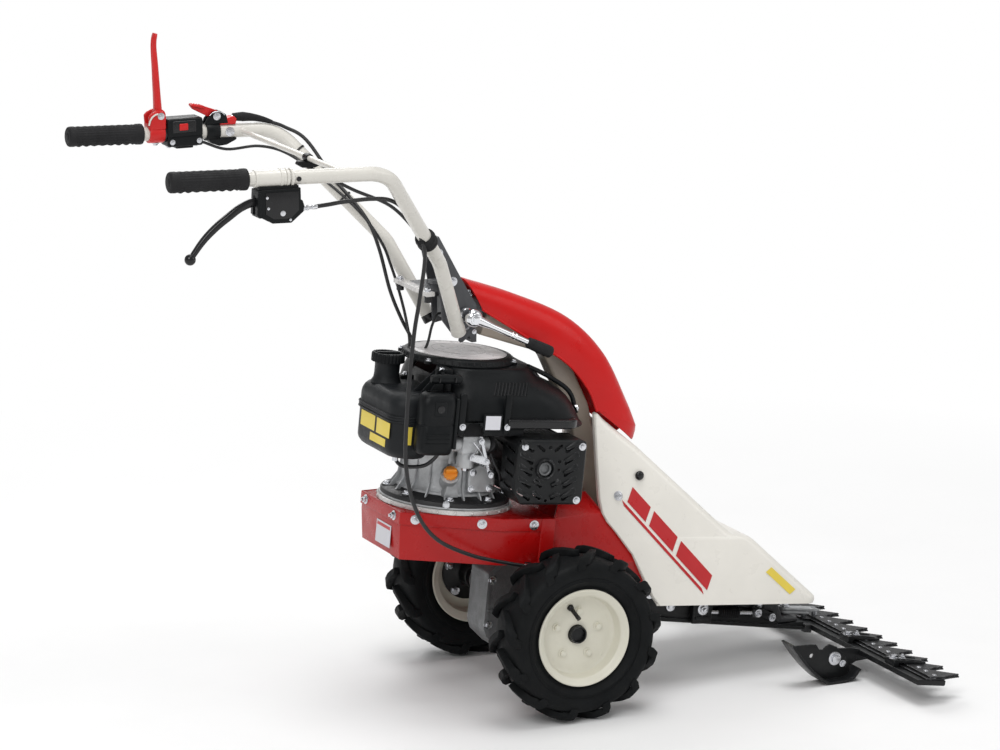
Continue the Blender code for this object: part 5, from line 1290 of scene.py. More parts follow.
def muffler_guard():
    """The pressed heat guard: louvres in a V, round holes and a ringed outlet."""
    piece = Piece("guard_look", "chassis", BODY)
    x0, y0, z0 = GUARD_LOW
    x1, y1, z1 = GUARD_HIGH
    outline = [(x0, z0 + 0.020), (x0 + 0.014, z0), (x1 - 0.006, z0), (x1, z0 + 0.008),
               (x1, z1 - 0.004), (x1 - 0.010, z1), (x0 + 0.010, z1), (x0, z1 - 0.010)]
    bm = prism_mesh(outline, y0, y1)
    away = [face for face in bm.faces if face.normal.y > 0.5]
    bmesh.ops.delete(bm, geom=away, context="FACES")
    for face in bm.faces:
        middle = face.calc_center_median()
        out = Vector((middle.x - (x0 + x1) / 2, (middle.y - y1) * 3, middle.z - (z0 + z1) / 2))
        if face.normal.dot(out) < 0:
            face.normal_flip()
    edges = [edge for edge in bm.edges if len(edge.link_faces) == 2
             and edge.calc_face_angle(0) > 0.5 and min(v.co.y for v in edge.verts) < y0 + 0.001]
    bmesh.ops.bevel(bm, geom=edges, offset=0.006, segments=4, profile=0.5, affect="EDGES",
                    clamp_overlap=True)
    bm = thick(bm, 0.0015, even=False)
    cutters = []
    for row in range(5):
        z = 0.2330 + row * 0.0215
        for x, lean in ((-0.1000, -0.62), (-0.0130, 0.62)):
            cutters.append(slanted_slot(x, z + 0.002, 0.0310, 0.0072, lean))
        if row not in (2, 3):
            cutters.append(slanted_slot(-0.0400, z, 0.0200, 0.0062, 0.62))
            cutters.append(slanted_slot(-0.0740, z, 0.0200, 0.0062, -0.62))
    for x, z in ((-0.0560, 0.3200), (-0.0560, 0.2250), (-0.0360, 0.2800), (-0.0360, 0.2950),
                 (-0.0890, 0.2820)):
        cutters.append(slanted_slot(x, z, 0.0068, 0.0066, 0.0))
    tools = [prism_mesh(shape, y0 - 0.01, y0 + 0.012) for shape in cutters]
    x, z = OUTLET
    tools.append(rod_mesh((x, y0 - 0.01, z), (x, y0 + 0.012, z), 0.0145, 40))
    for z in (0.240, 0.262, 0.284, 0.306):
        slot_line = [(-0.158, z), (-0.122, z + 0.006), (-0.122, z + 0.011), (-0.158, z + 0.005)]
        tools.append(prism_mesh(slot_line, x0 - 0.01, x0 + 0.01, "X"))
    joined = bmesh.new()
    for tool in tools:
        work = bpy.data.meshes.new("tool")
        tool.to_mesh(work)
        tool.free()
        joined.from_mesh(work)
    piece.add(cut_mesh(bm, joined), BLACK_STEEL)
    for shape in cutters[:14]:
        cx = sum(p[0] for p in shape) / len(shape)
        cz = sum(p[1] for p in shape) / len(shape)
        hood_line = [(cx + (px - cx) * 1.04, cz + (pz - cz) * 1.04 + 0.0032)
                     for px, pz in shape]
        low = [(px, y0 + 0.0004, pz) for px, pz in hood_line]
        high = [(px, y0 - 0.0030, cz + (pz - cz) * 0.55 + 0.0006) for px, pz in hood_line]
        piece.add(loft_mesh([low, high], (False, True)), BLACK_STEEL)
    ring = [(0.0145, y0 + 0.002), (0.0145, y0 - 0.0045), (0.0158, y0 - 0.0058),
            (0.0178, y0 - 0.0050), (0.0190, y0 - 0.0022), (0.0196, y0 + 0.002)]
    outlet = (OUTLET[0], 0, OUTLET[1])
    piece.lathe(ring, outlet, BLACK_STEEL, "Y", 56)
    piece.lathe([(0.0085, y0 - 0.001), (0.0095, y0 - 0.0020), (0.0118, y0 - 0.0012),
                 (0.0125, y0 + 0.004), (0.0085, y0 + 0.004)], outlet, GREY_CASTING, "Y", 48)
    for x, z in ((-0.105, 0.322), (0.006, 0.322), (0.004, 0.226)):
        piece.bolt((x, y0 + 0.0002, z), (0, -1, 0), 0.0048, 0.0036)
    return piece.done("muffler_guard")


# (z, rear, front, half width) of the blower housing, from its foot to its top
SHROUD_LEVELS = ((0.3360, -0.2315, 0.0480, 0.1480), (0.3400, -0.2318, 0.0485, 0.1484),
                 (0.3460, -0.2318, 0.0485, 0.1484), (0.3500, -0.2315, 0.0465, 0.1470),
                 (0.3540, -0.2312, 0.0420, 0.1452), (0.3620, -0.2312, 0.0380, 0.1440),
                 (0.3720, -0.2310, 0.0320, 0.1425), (0.3830, -0.2310, 0.0250, 0.1405),
                 (0.3950, -0.2308, 0.0150, 0.1375), (0.4060, -0.2305, 0.0010, 0.1325),
                 (0.4160, -0.2300, -0.0170, 0.1260), (0.4250, -0.2296, -0.0370, 0.1190),
                 (0.4330, -0.2292, -0.0450, 0.1130), (0.4390, -0.2290, -0.0500, 0.1105),
                 (0.4425, -0.2285, -0.0525, 0.1090), (0.4445, -0.2270, -0.0550, 0.1070))


def shroud_ring(rear, front, half, z):
    """One level of the housing: small corners behind, long rounded ones in front."""
    small, along, across, steps = 0.046, 0.080, half * 0.62, 12
    corners = ((front - along, half - across, along, across),
               (rear + small, half - small, small, small),
               (rear + small, small - half, small, small),
               (front - along, across - half, along, across))
    ring = []
    for quarter, (x, y, rx, ry) in enumerate(corners):
        for i in range(steps + 1):
            angle = math.pi / 2 * (quarter + i / steps)
            ring.append((x + rx * math.cos(angle), y + ry * math.sin(angle), z))
    return ring


def shroud():
    """The black blower housing: arched skirt, front hump, slots drawn in painted shade, lip,
    screws and blanks, with painted-shade plates inside.
    """
    piece = Piece("shroud_look", "chassis", BODY)
    rings = [shroud_ring(rear, front, half, z) for z, rear, front, half in SHROUD_LEVELS]
    bm = loft_mesh(rings, (False, True))
    for face in bm.faces:
        middle = face.calc_center_median()
        if face.normal.dot(middle - Vector((-0.10, 0, 0.37))) < 0:
            face.normal_flip()
    bm = thick(bm, 0.0028)
    inlet = rod_mesh((ENGINE_X, 0, 0.42), (ENGINE_X, 0, 0.46), 0.090, 56)
    arch = [(-0.2145, 0.330), (-0.2145, 0.346), (-0.208, 0.3535), (-0.196, 0.3570),
            (-0.184, 0.3535), (-0.1775, 0.346), (-0.1775, 0.330)]
    gap = box_mesh((-0.100, -0.20, 0.330), (0.06, -0.02, 0.3480))
    piece.add(cut_mesh(bm, inlet, prism_mesh(arch, -0.16, -0.13), gap), PLASTIC)
    # Two dark plates of painted shade inside the housing, seen through its arch and gap.
    piece.box((-0.2240, -0.1260, 0.3300), (-0.1700, -0.1230, 0.3950), PAINTED_SHADE, 0.001)
    piece.box((-0.1700, -0.1260, 0.3300), (-0.1000, -0.1230, 0.3600), PAINTED_SHADE, 0.001)
    # Each slot is a line of painted shade with a plastic lip beside it.
    for i in range(10):
        x = -0.1560 + 0.0066 * i
        line = [(x, -0.1335, 0.4035), (x + 0.0050, -0.1262, 0.4150), (x + 0.0085, -0.1200, 0.4240)]
        piece.tube(line, 0.0014, PAINTED_SHADE, 8)
        line = [(px + 0.0030, py, pz + 0.0006) for px, py, pz in line]
        piece.tube(line, 0.0012, PLASTIC, 8)
    hump = [rounded_box((-0.130, -w), (x, w), 0.030, z, 7)
            for z, x, w in ((0.352, 0.0440, 0.078), (0.366, 0.0400, 0.076),
                            (0.380, 0.0330, 0.073), (0.392, 0.0240, 0.069),
                            (0.402, 0.0130, 0.064), (0.4095, 0.0010, 0.058),
                            (0.4150, -0.0120, 0.052), (0.4180, -0.0240, 0.046))]
    piece.add(loft_mesh(hump), PLASTIC)
    lip = [(-0.134, -0.1560), (-0.020, -0.1560), (-0.006, -0.1530), (0.004, -0.1460),
           (0.0085, -0.1370), (0.0070, -0.1290), (0.0000, -0.1240), (-0.020, -0.1180),
           (-0.134, -0.1180)]
    piece.prism(lip, 0.3490, 0.3655, GLOSS_PLASTIC, "Z", 0.0045, 4)
    skirt = [(-0.226, 0.338), (-0.226, 0.3600), (-0.150, 0.3600), (-0.150, 0.3400),
             (-0.176, 0.3390), (-0.1790, 0.3480), (-0.186, 0.3570), (-0.196, 0.3605),
             (-0.206, 0.3570), (-0.2130, 0.3480), (-0.2160, 0.338)]
    piece.prism(skirt, -0.1500, -0.1470, PLASTIC, "Y", 0.0008)
    piece.box((-0.1800, -0.1520, 0.3440), (-0.1440, -0.1490, 0.3740), PLASTIC, 0.0022, 3)
    piece.box((-0.1765, -0.1526, 0.3470), (-0.1475, -0.1519, 0.3715), BLANK_WHITE, 0.0003, 1)
    for x0, x1 in ((-0.228, -0.214), (-0.140, -0.128)):
        piece.box((x0, -0.1515, 0.3370), (x1, -0.1440, 0.4100), PLASTIC, 0.004, 3)
    for x, y in ((-0.220, -0.1520), (-0.134, -0.1520)):
        piece.bolt((x, y, 0.352), (0, -1, 0), 0.0042, 0.0030)
    for side in (-1, 1):
        crest = smooth_path([(0.0440, side * 0.060, 0.3600), (0.0230, side * 0.066, 0.3990),
                             (-0.0180, side * 0.060, 0.4250), (-0.0650, side * 0.070, 0.4445)])
        piece.tube(crest, 0.0042, PLASTIC, 14)
    piece.bolt((0.0370, 0.070, 0.3700), (0.8, 0, 0.5), 0.0048, 0.0034)
    piece.bolt((0.0370, -0.070, 0.3700), (0.8, 0, 0.5), 0.0048, 0.0034)
    return piece.done("engine_shroud", angle=38)


def starter():
    """The starter's round cover: a dark rim whose notches are painted shade, with a pale blank
    disc let into it.
    """
    piece = Piece("starter_look", "chassis", BODY)
    profile = [(0.0800, 0.4446), (0.0992, 0.4446), (0.1004, 0.4458), (0.1004, 0.4476),
               (0.0990, 0.4488), (0.0984, 0.4520), (0.0972, 0.4546), (0.0945, 0.4568),
               (0.0905, 0.4580), (0.0868, 0.4584), (0.0860, 0.4566), (0.0300, 0.4574),
               (0.0, 0.4574), (0.0, 0.4500), (0.0800, 0.4500)]
    piece.lathe(profile, (ENGINE_X, 0, 0), PLASTIC, "Z", 96)
    disc = [(0.0, 0.4560), (0.0855, 0.4560), (0.0862, 0.4566), (0.0862, 0.4578),
            (0.0850, 0.4586), (0.0650, 0.4598), (0.0400, 0.4606), (0.0, 0.4610)]
    piece.lathe(disc, (ENGINE_X, 0, 0), DISC_GREY, "Z", 96)
    for radius, z in ((0.0845, 0.4589), (0.0480, 0.4606)):
        piece.lathe([(radius - 0.0006, z - 0.0010), (radius, z), (radius + 0.0006, z - 0.0010)],
                    (ENGINE_X, 0, 0), GLOSS_PLASTIC, "Z", 96)
    # The rim's 48 notches are short rods of painted shade.
    for i in range(48):
        angle = math.tau * i / 48
        spoke = Vector((math.cos(angle), math.sin(angle), 0))
        spot = Vector((ENGINE_X, 0, 0)) + spoke * 0.0984
        piece.rod(spot + Vector((0, 0, 0.4492)), spot - spoke * 0.0012 + Vector((0, 0, 0.4540)),
                  0.0016, PAINTED_SHADE, 10)
    for degrees in (35, 145, 215, 325):
        angle = math.radians(degrees)
        spoke = Vector((math.cos(angle), math.sin(angle), 0))
        spot = Vector((ENGINE_X, 0, 0)) + spoke * 0.1000
        piece.rod(spot + Vector((0, 0, 0.4440)), spot + Vector((0, 0, 0.4500)), 0.0072,
                  PLASTIC, 28, 0.0012)
        piece.bolt(spot + Vector((0, 0, 0.4498)), (0, 0, 1), 0.0044, 0.0030)
    for shift in (0.0, 0.0085, 0.017):
        rib = [(-0.2700 - shift, 0.4010), (-0.2340, 0.4010), (-0.2340, 0.4440),
               (-0.2430, 0.4440)]
        piece.prism(rib, -0.108 + shift * 1.6, -0.1055 + shift * 1.6, TANK_PLASTIC, "Y", 0.0008)
    piece.box((-0.2420, -0.1120, 0.4020), (-0.2290, -0.0700, 0.4460), PLASTIC, 0.003, 3)
    return piece.done("recoil_housing", angle=40)


def air_cleaner():
    """The air cleaner's moulded cover: deep rounded lobe, parting seam and latch."""
    piece = Piece("air_cleaner_look", "chassis", BODY)
    low, high = (-0.3000, -0.1580), (-0.2325, -0.1185)
    levels = ((0.3010, 0.0075), (0.3030, 0.0042), (0.3080, 0.0015), (0.3160, 0.0),
              (0.3520, 0.0), (0.3535, 0.0010), (0.3560, 0.0010), (0.3575, 0.0), (0.3900, 0.0),
              (0.3990, 0.0012), (0.4060, 0.0042), (0.4095, 0.0085), (0.4102, 0.0140))
    rings = [rounded_box((low[0] + s, low[1] + s), (high[0] - s * 0.3, high[1] - s * 0.3),
                         0.0165, z, 8) for z, s in levels]
    piece.add(loft_mesh(rings), PLASTIC)
    piece.box((-0.2780, -0.1592, 0.3720), (-0.2560, -0.1560, 0.3960), PLASTIC, 0.0014, 3)
    piece.rod((-0.2670, -0.1588, 0.3840), (-0.2670, -0.1606, 0.3840), 0.0070, GLOSS_PLASTIC, 28,
              0.0006)
    for z in (0.3230, 0.3310, 0.3390):
        piece.tube([(-0.2900, -0.1582, z), (-0.2450, -0.1582, z)], 0.0009, PLASTIC, 8)
    piece.box((-0.2360, -0.1545, 0.3120), (-0.2290, -0.1235, 0.4020), PLASTIC, 0.003, 3)
    return piece.done("air_cleaner_cover", angle=40)


def tank():
    """The blow-moulded petrol tank: split seam, shoulder, filler neck and blank labels."""
    piece = Piece("tank_look", "chassis", BODY)
    low, high, front = (-0.333, -0.118), (-0.2325, 0.062), -0.2545
    levels = ((0.2850, 0.010, front), (0.2880, 0.0055, front), (0.2940, 0.0015, front),
              (0.2990, 0.0002, front), (0.3016, 0.0, high[0]), (0.3300, 0.0, high[0]),
              (0.3500, 0.0, high[0]), (0.3520, -0.0016, high[0]), (0.3550, -0.0022, high[0]),
              (0.3580, -0.0016, high[0]), (0.3600, 0.0, high[0]), (0.3760, 0.0, high[0]),
              (0.3830, 0.0010, high[0]), (0.3900, 0.0038, high[0]), (0.3955, 0.0082, high[0]),
              (0.3990, 0.0140, high[0]), (0.4000, 0.0200, high[0]))
    rings = []
    for z, s, fore in levels:
        rings.append(rounded_box((low[0] + s, low[1] + s), (fore - max(0.0, s * 0.3), high[1] - s),
                                 0.034, z, 8))
    piece.add(loft_mesh(rings), TANK_PLASTIC)
    seam = rounded_box((low[0] - 0.0022, low[1] - 0.0022), (high[0] - 0.001, high[1] + 0.0022),
                       0.036, 0.3550, 8)
    for lift in (-0.0042, 0.0042):
        piece.add(tube_mesh([(x, y, z + lift) for x, y, z in seam[9:30]], 0.0015, 10),
                  TANK_PLASTIC)
    neck = [(0.0180, 0.3970), (0.0280, 0.3970), (0.0262, 0.4010), (0.0232, 0.4060),
            (0.0222, 0.4140), (0.0222, 0.4300), (0.0228, 0.4315), (0.0228, 0.4338),
            (0.0180, 0.4342)]
    piece.lathe(neck, (*FILLER, 0), TANK_PLASTIC, "Z", 56)
    for y0, y1, z0, z1 in ((-0.0980, -0.0420, 0.3190, 0.3460), (-0.0340, 0.0260, 0.3190, 0.3460),
                           (-0.0840, -0.0180, 0.3010, 0.3150)):
        piece.box((-0.3335, y0, z0), (-0.3328, y1, z1), BLANK_YELLOW, 0.0003, 1)
    piece.box((-0.3120, -0.1185, 0.3120), (-0.2990, -0.1178, 0.3440), BLANK_YELLOW, 0.0003, 1)
    piece.box((-0.262, 0.030, 0.392), (-0.236, 0.048, 0.4065), TANK_PLASTIC, 0.002)
    piece.bolt((-0.249, 0.039, 0.4065), (0, 0, 1), 0.0048, 0.0034)
    hose = smooth_path([(-0.300, -0.060, 0.288), (-0.298, -0.062, 0.272), (-0.286, -0.070, 0.264),
                        (-0.262, -0.094, 0.270), (-0.250, -0.108, 0.284), (-0.246, -0.122, 0.300)])
    piece.tube(hose, 0.0034, CABLE, 12)
    piece.rod((-0.300, -0.060, 0.272), (-0.300, -0.060, 0.288), 0.0055, ZINC, 24, 0.0006)
    return piece.done("fuel_tank", angle=40)


def fuel_cap():
    """The fuel cap: a fluted rim with a raised grip bar, and a round stem under it."""
    piece = Piece("fuel_cap_look", "fuel_filler_cap", BODY)
    x, y = FILLER
    flutes = [(0.0296 if i % 4 < 2 else 0.0284, math.tau * i / 112) for i in range(112)]
    rings = []
    for scale, z in ((0.97, 0.4346), (1.0, 0.4354), (1.0, 0.4472), (0.985, 0.4494),
                     (0.93, 0.4508), (0.80, 0.4506), (0.78, 0.4490), (0.2, 0.4488)):
        rings.append([(x + r * scale * math.cos(a), y + r * scale * math.sin(a), z)
                      for r, a in flutes])
    piece.add(loft_mesh(rings), PLASTIC)
    piece.box((x - 0.021, y - 0.0035, 0.4460), (x + 0.021, y + 0.0035, 0.4522), PLASTIC, 0.0014,
              3)
    piece.lathe([(0.0, 0.422), (0.0172, 0.422), (0.0172, 0.435), (0.0, 0.435)], (x, y, 0),
                PLASTIC, "Z", 48)
    return piece.done("fuel_cap")


def starter_handle():
    """The T-shaped pull handle with its moulded finger grip, and the rope to the cover."""
    piece = Piece("pull_handle_look", "starter_pull", BODY)
    spots = [(-0.2760, 0.0062), (-0.2735, 0.0080), (-0.2650, 0.0086), (-0.2560, 0.0080),
             (-0.2470, 0.0092), (-0.2380, 0.0080), (-0.2290, 0.0086), (-0.2205, 0.0080),
             (-0.2180, 0.0062)]
    piece.tube([(x, -0.126, 0.431) for x, _ in spots], [r for _, r in spots], PLASTIC, 28, 0.8)
    for x in (-0.2620, -0.2320):
        piece.tube([(x, -0.1335, 0.427), (x, -0.1345, 0.431), (x, -0.1335, 0.435)], 0.0016,
                   GLOSS_PLASTIC, 10)
    piece.rod((-0.247, -0.1200, 0.4310), (-0.247, -0.1085, 0.4370), 0.0040, PLASTIC, 24, 0.0006)
    piece.done("starter_handle")
    guide = Piece("rope_guide", "chassis", BODY)
    ring = lathe_mesh([(0.0032, -0.002), (0.0070, -0.003), (0.0078, 0.0), (0.0066, 0.0024),
                       (0.0040, 0.0028)], (-0.247, -0.1030, 0.4398),
                      toward((0, -0.85, -0.35)), 32)
    guide.add(ring, ZINC)
    guide.box((-0.2560, -0.1060, 0.4300), (-0.2380, -0.0960, 0.4460), PLASTIC, 0.002, 3)
    guide.done()


def engine():
    """Everything of the engine, from the spacer under it to the pull handle."""
    spacer()
    crankcase()
    carburettor()
    dipstick()
    cylinder()
    muffler()
    muffler_guard()
    shroud()
    starter()
    air_cleaner()
    tank()
    fuel_cap()
    starter_handle()


# ---- handlebar ----------------------------------------------------------------------------
def handle_line(side):
    """The middle line of a handle tube, from its grip end down to the console."""
    return rounded_path([(-0.745, side * GRIP_Y, 1.013), (-0.362, side * GRIP_Y, 1.000),
                         (-0.208, side * 0.115, 0.810), (-0.147, side * 0.0597, 0.671)],
                        0.07, 14)


def on_handle(x, side, up=0.0, out=0.0):
    """A point beside the straight rear stretch of a handle tube."""
    slope = (1.000 - 1.013) / (-0.362 + 0.745)
    return Vector((x, side * (GRIP_Y + out), 1.013 + slope * (x + 0.745) + up))


def on_slope(share, side):
    """A point of the handle tube's long leaning stretch."""
    high = Vector((-0.362, side * GRIP_Y, 1.000))
    low = Vector((-0.208, side * 0.115, 0.810))
    return high.lerp(low, share)


HANDLE_AXIS = (on_handle(-0.4, 1) - on_handle(-0.7, 1)).normalized()

# (x, z) of the pins that the hand controls turn on, in GROUND
LEVER_PIVOT = (-0.558, 0.950)
PRESENCE_PIVOT = (-0.584, 1.040)
THROTTLE_PIVOT = (-0.478, 1.032)


def collar(piece, at, axis, profile, material, steps=48):
    """A turned sleeve round an axis through a point."""
    piece.add(lathe_mesh(profile, at, toward(axis), steps), material)


def cross_pin(piece, pivot, y, half, radius, material, steps, edge):
    """A round pin along Y through a pivot, reaching half to each side of y."""
    x, z = pivot
    piece.rod((x, y - half, z), (x, y + half, z), radius, material, steps, edge)


def handle_tube(label, side):
    """A bent enamelled tube with its end plug, and its own side's collars, ties or bolt."""
    piece = Piece("tube_look_" + label, "handlebar", GROUND)
    path = handle_line(side)
    piece.tube(path, 0.0125, TUBE_IVORY, 32)
    end = (path[-1] - path[-2]).normalized()
    collar(piece, path[-1], end, [(0.0, -0.012), (0.0131, -0.012), (0.0134, 0.0), (0.0120, 0.0022),
                                  (0.0, 0.0026)], GLOSS_PLASTIC if side > 0 else TUBE_IVORY)
    slope = (on_slope(1, side) - on_slope(0, side)).normalized()
    if side > 0:
        bolt = on_handle(-0.4545, side, 0.0, -0.0125)
        piece.bolt(bolt, (0, -1, 0), 0.0058, 0.0036)
        piece.nut(on_handle(-0.4545, side, 0.0, 0.0125), (0, 1, 0), 0.0058, 0.0036)
        tie = [(0.0127, -0.0018), (0.0140, -0.0018), (0.0140, 0.0018), (0.0127, 0.0018)]
        for share in (0.20, 0.62):
            collar(piece, on_slope(share, side), slope, tie, CABLE)
    else:
        at = on_slope(0.74, side)
        rubber = [(0.0126, -0.0125), (0.0165, -0.0120), (0.0176, -0.0095), (0.0176, 0.0095),
                  (0.0165, 0.0120), (0.0126, 0.0125)]
        collar(piece, at, slope, rubber, GRIP_RUBBER)
        for shift in (-0.005, 0.005):
            ring = [(0.0174, shift - 0.0012), (0.0183, shift), (0.0174, shift + 0.0012)]
            collar(piece, at, slope, ring, GRIP_RUBBER)
        shine = [(0.0126, -0.001), (0.0146, 0.0), (0.0146, 0.052), (0.0150, 0.0535),
                 (0.0126, 0.0545)]
        collar(piece, on_handle(-0.6020, side), HANDLE_AXIS, shine, TUBE_IVORY)
        for x in (-0.5560, -0.5450, -0.5370):
            ring = [(0.0140, -0.0028), (0.0158, -0.0018), (0.0158, 0.0018), (0.0140, 0.0028)]
            collar(piece, on_handle(x, side), HANDLE_AXIS, ring, TUBE_IVORY)
        piece.rod(on_handle(-0.5270, side, -0.001, 0.0120),
                  on_handle(-0.5270, side, -0.001, 0.0146), 0.0042, GLOSS_PLASTIC, 20, 0.0006)
    return piece.done("handle_tube_" + label)


def grip(label, side):
    """A rubber grip: flanged ends, fluted waist and finger ridges underneath."""
    piece = Piece("grip_look_" + label, "handlebar", GROUND)
    turn = toward(HANDLE_AXIS).to_3x3()
    count = 96
    stations = [(-0.7520, 0.0105), (-0.7518, 0.0145), (-0.7505, 0.0166), (-0.7480, 0.0177),
                (-0.7420, 0.0179), (-0.7395, 0.0176), (-0.7380, 0.0170), (-0.7365, 0.0172)]
    stations += [(-0.7350 + 0.0018 * i, 0.0171 + 0.0003 * math.sin(i * 0.9)) for i in range(58)]
    stations += [(-0.6300, 0.0170), (-0.6280, 0.0175), (-0.6265, 0.0182), (-0.6180, 0.0184),
                 (-0.6158, 0.0178), (-0.6150, 0.0166), (-0.6150, 0.0127)]
    rings = []
    for x, radius in stations:
        centre = on_handle(x, side)
        waist = -0.7360 < x < -0.6320
        ring = []
        for i in range(count):
            angle = math.tau * i / count
            r = radius
            if waist:
                r += 0.0003 * (1 if i % 4 < 2 else -1)
                under = max(0.0, -math.sin(angle)) ** 3
                r += 0.0010 * under * math.sin((x + 0.7350) * math.tau / 0.0145)
            offset = turn @ Vector((r * math.cos(angle), r * math.sin(angle), 0))
            ring.append(centre + offset)
        rings.append(ring)
    piece.add(loft_mesh(rings), GRIP_RUBBER)
    back = on_handle(-0.7522, side)
    collar(piece, back, HANDLE_AXIS, [(0.0, -0.0010), (0.0060, -0.0008), (0.0072, 0.0),
                                      (0.0072, 0.002), (0.0, 0.002)], GRIP_RUBBER)
    return piece.done("grip_" + label, angle=50)


def brace():
    """The welded cross brace between the handle tubes, with the cable clip under it."""
    piece = Piece("brace_look", "handlebar", GROUND)
    x = -0.430
    z = on_handle(x, 1).z
    reach = GRIP_Y - 0.0126
    piece.tube([(x, -reach, z), (x, reach, z)], 0.0050, TUBE_IVORY, 24)
    for side in (-1, 1):
        bead = [(0.0050, -0.001), (0.0072, 0.0), (0.0066, 0.0018), (0.0050, 0.0030)]
        collar(piece, (x, side * reach, z), (0, -side, 0), bead, TUBE_IVORY, 32)
    clip = [(x - 0.018, z - 0.004), (x + 0.020, z - 0.006), (x + 0.026, z - 0.012),
            (x + 0.010, z - 0.017), (x - 0.012, z - 0.016), (x - 0.022, z - 0.010)]
    piece.prism(clip, -0.072, -0.056, PLASTIC, "Y", 0.003, 3)
    loop = [(0.0050, -0.0085), (0.0072, -0.0085), (0.0076, 0.0), (0.0072, 0.0085),
            (0.0050, 0.0085)]
    collar(piece, (x, -0.064, z), (0, 1, 0), loop, PLASTIC, 32)
    return piece.done("upper_brace")


def lever_housing():
    """The box under the right grip: ribbed casting, side screws and cable adjuster."""
    piece = Piece("lever_box_look", "handlebar", GROUND)
    y = -GRIP_Y
    outline = [(-0.6000, 0.9905), (-0.6025, 0.9480), (-0.5900, 0.9420), (-0.5750, 0.9335),
               (-0.5420, 0.9325), (-0.5200, 0.9500), (-0.5185, 0.9600), (-0.5215, 0.9690),
               (-0.5245, 0.9700), (-0.5250, 0.9905)]
    bm = round_edges(prism_mesh(outline, y - 0.0160, y + 0.0160), 0.0024, 3)
    slot = box_mesh((-0.620, y - 0.0058, 0.905), (-0.553, y + 0.0058, 0.9800))
    piece.add(cut_mesh(bm, slot), PLASTIC)
    saddle = [(-0.5980, 0.9880), (-0.5270, 0.9880), (-0.5270, 0.9945), (-0.5980, 0.9960)]
    piece.prism(saddle, y - 0.0130, y + 0.0130, PLASTIC, "Y", 0.002)
    piece.box((-0.5995, y - 0.0172, 0.9440), (-0.5945, y + 0.0172, 0.9870), PLASTIC, 0.0016, 3)
    panel = [(-0.5880, 0.9860), (-0.5880, 0.9500), (-0.5740, 0.9410), (-0.5440, 0.9400),
             (-0.5290, 0.9530), (-0.5290, 0.9850)]
    piece.prism(panel, y - 0.0172, y - 0.0150, GLOSS_PLASTIC, "Y", 0.0008)
    for x, z in ((-0.5860, 0.9780), (-0.5840, 0.9600)):
        piece.bolt((x, y - 0.0165, z), (0, -1, 0), 0.0028, 0.0020, washer=False)
    piece.bolt((-0.5450, y - 0.0165, 0.9385), (0, -1, 0), 0.0026, 0.0018, washer=False)
    cross_pin(piece, LEVER_PIVOT, y, 0.0185, 0.0048, ZINC, 24, 0.0006)
    mouth = Vector((-0.5190, y, 0.9520))
    pull = Vector((1.0, 0.03, 0.05)).normalized()
    for near, far, radius, material, steps, edge in (
            (0.0, 0.0060, 0.0052, ZINC, 6, 0.0005), (0.0060, 0.0100, 0.0036, ZINC, 20, 0.0),
            (0.0100, 0.0135, 0.0050, ZINC, 6, 0.0005), (0.0135, 0.0200, 0.0032, ZINC, 20, 0.0),
            (0.0200, 0.0290, 0.0044, CHROME, 24, 0.0006)):
        piece.rod(mouth + pull * near, mouth + pull * far, radius, material, steps, edge)
    return piece.done("drive_lever_housing", angle=40)


def blade(line, widths, depths):
    """A forged blade along a line: widths run across (Y), depths in the line's plane."""
    sides = 28
    rings = []
    for i, point in enumerate(line):
        ahead = (line[min(i + 1, len(line) - 1)] - line[max(i - 1, 0)]).normalized()
        across = Vector((-ahead.z, 0, ahead.x))
        share = i / (len(line) - 1)
        wide, deep = between(share, widths), between(share, depths)
        ring = []
        for k in range(sides):
            angle = math.tau * k / sides
            u = math.copysign(abs(math.cos(angle)) ** 0.7, math.cos(angle))
            v = math.copysign(abs(math.sin(angle)) ** 0.8, math.sin(angle))
            ring.append(point + across * (v * deep) + Vector((0, u * wide, 0)))
        rings.append(ring)
    return loft_mesh(rings)


def drive_lever():
    """The forged lever blade: broad root, thin curved blade, ball end."""
    piece = Piece("lever_look", "traction_lever", GROUND)
    y = -GRIP_Y
    line = smooth_path([(-0.5560, y, 0.9510), (-0.5760, y, 0.9600), (-0.6000, y, 0.9690),
                        (-0.6250, y, 0.9620), (-0.6480, y, 0.9475), (-0.6700, y, 0.9320),
                        (-0.6930, y, 0.9110), (-0.7150, y, 0.8835)], 6)
    piece.add(blade(line, ((0.0, 0.0042), (0.35, 0.0042), (0.55, 0.0062), (0.9, 0.0058),
                           (1.0, 0.0050)),
                    ((0.0, 0.0096), (0.2, 0.0080), (0.40, 0.0068), (0.75, 0.0060),
                     (0.92, 0.0050), (1.0, 0.0046))), GLOSS_PLASTIC)
    piece.ball((-0.7160, y, 0.8820), 0.0096, GLOSS_PLASTIC, (1, 0.9, 1))
    cross_pin(piece, LEVER_PIVOT, y, 0.0042, 0.0105, GLOSS_PLASTIC, 40, 0.0010)
    return piece.done("drive_lever", angle=60)


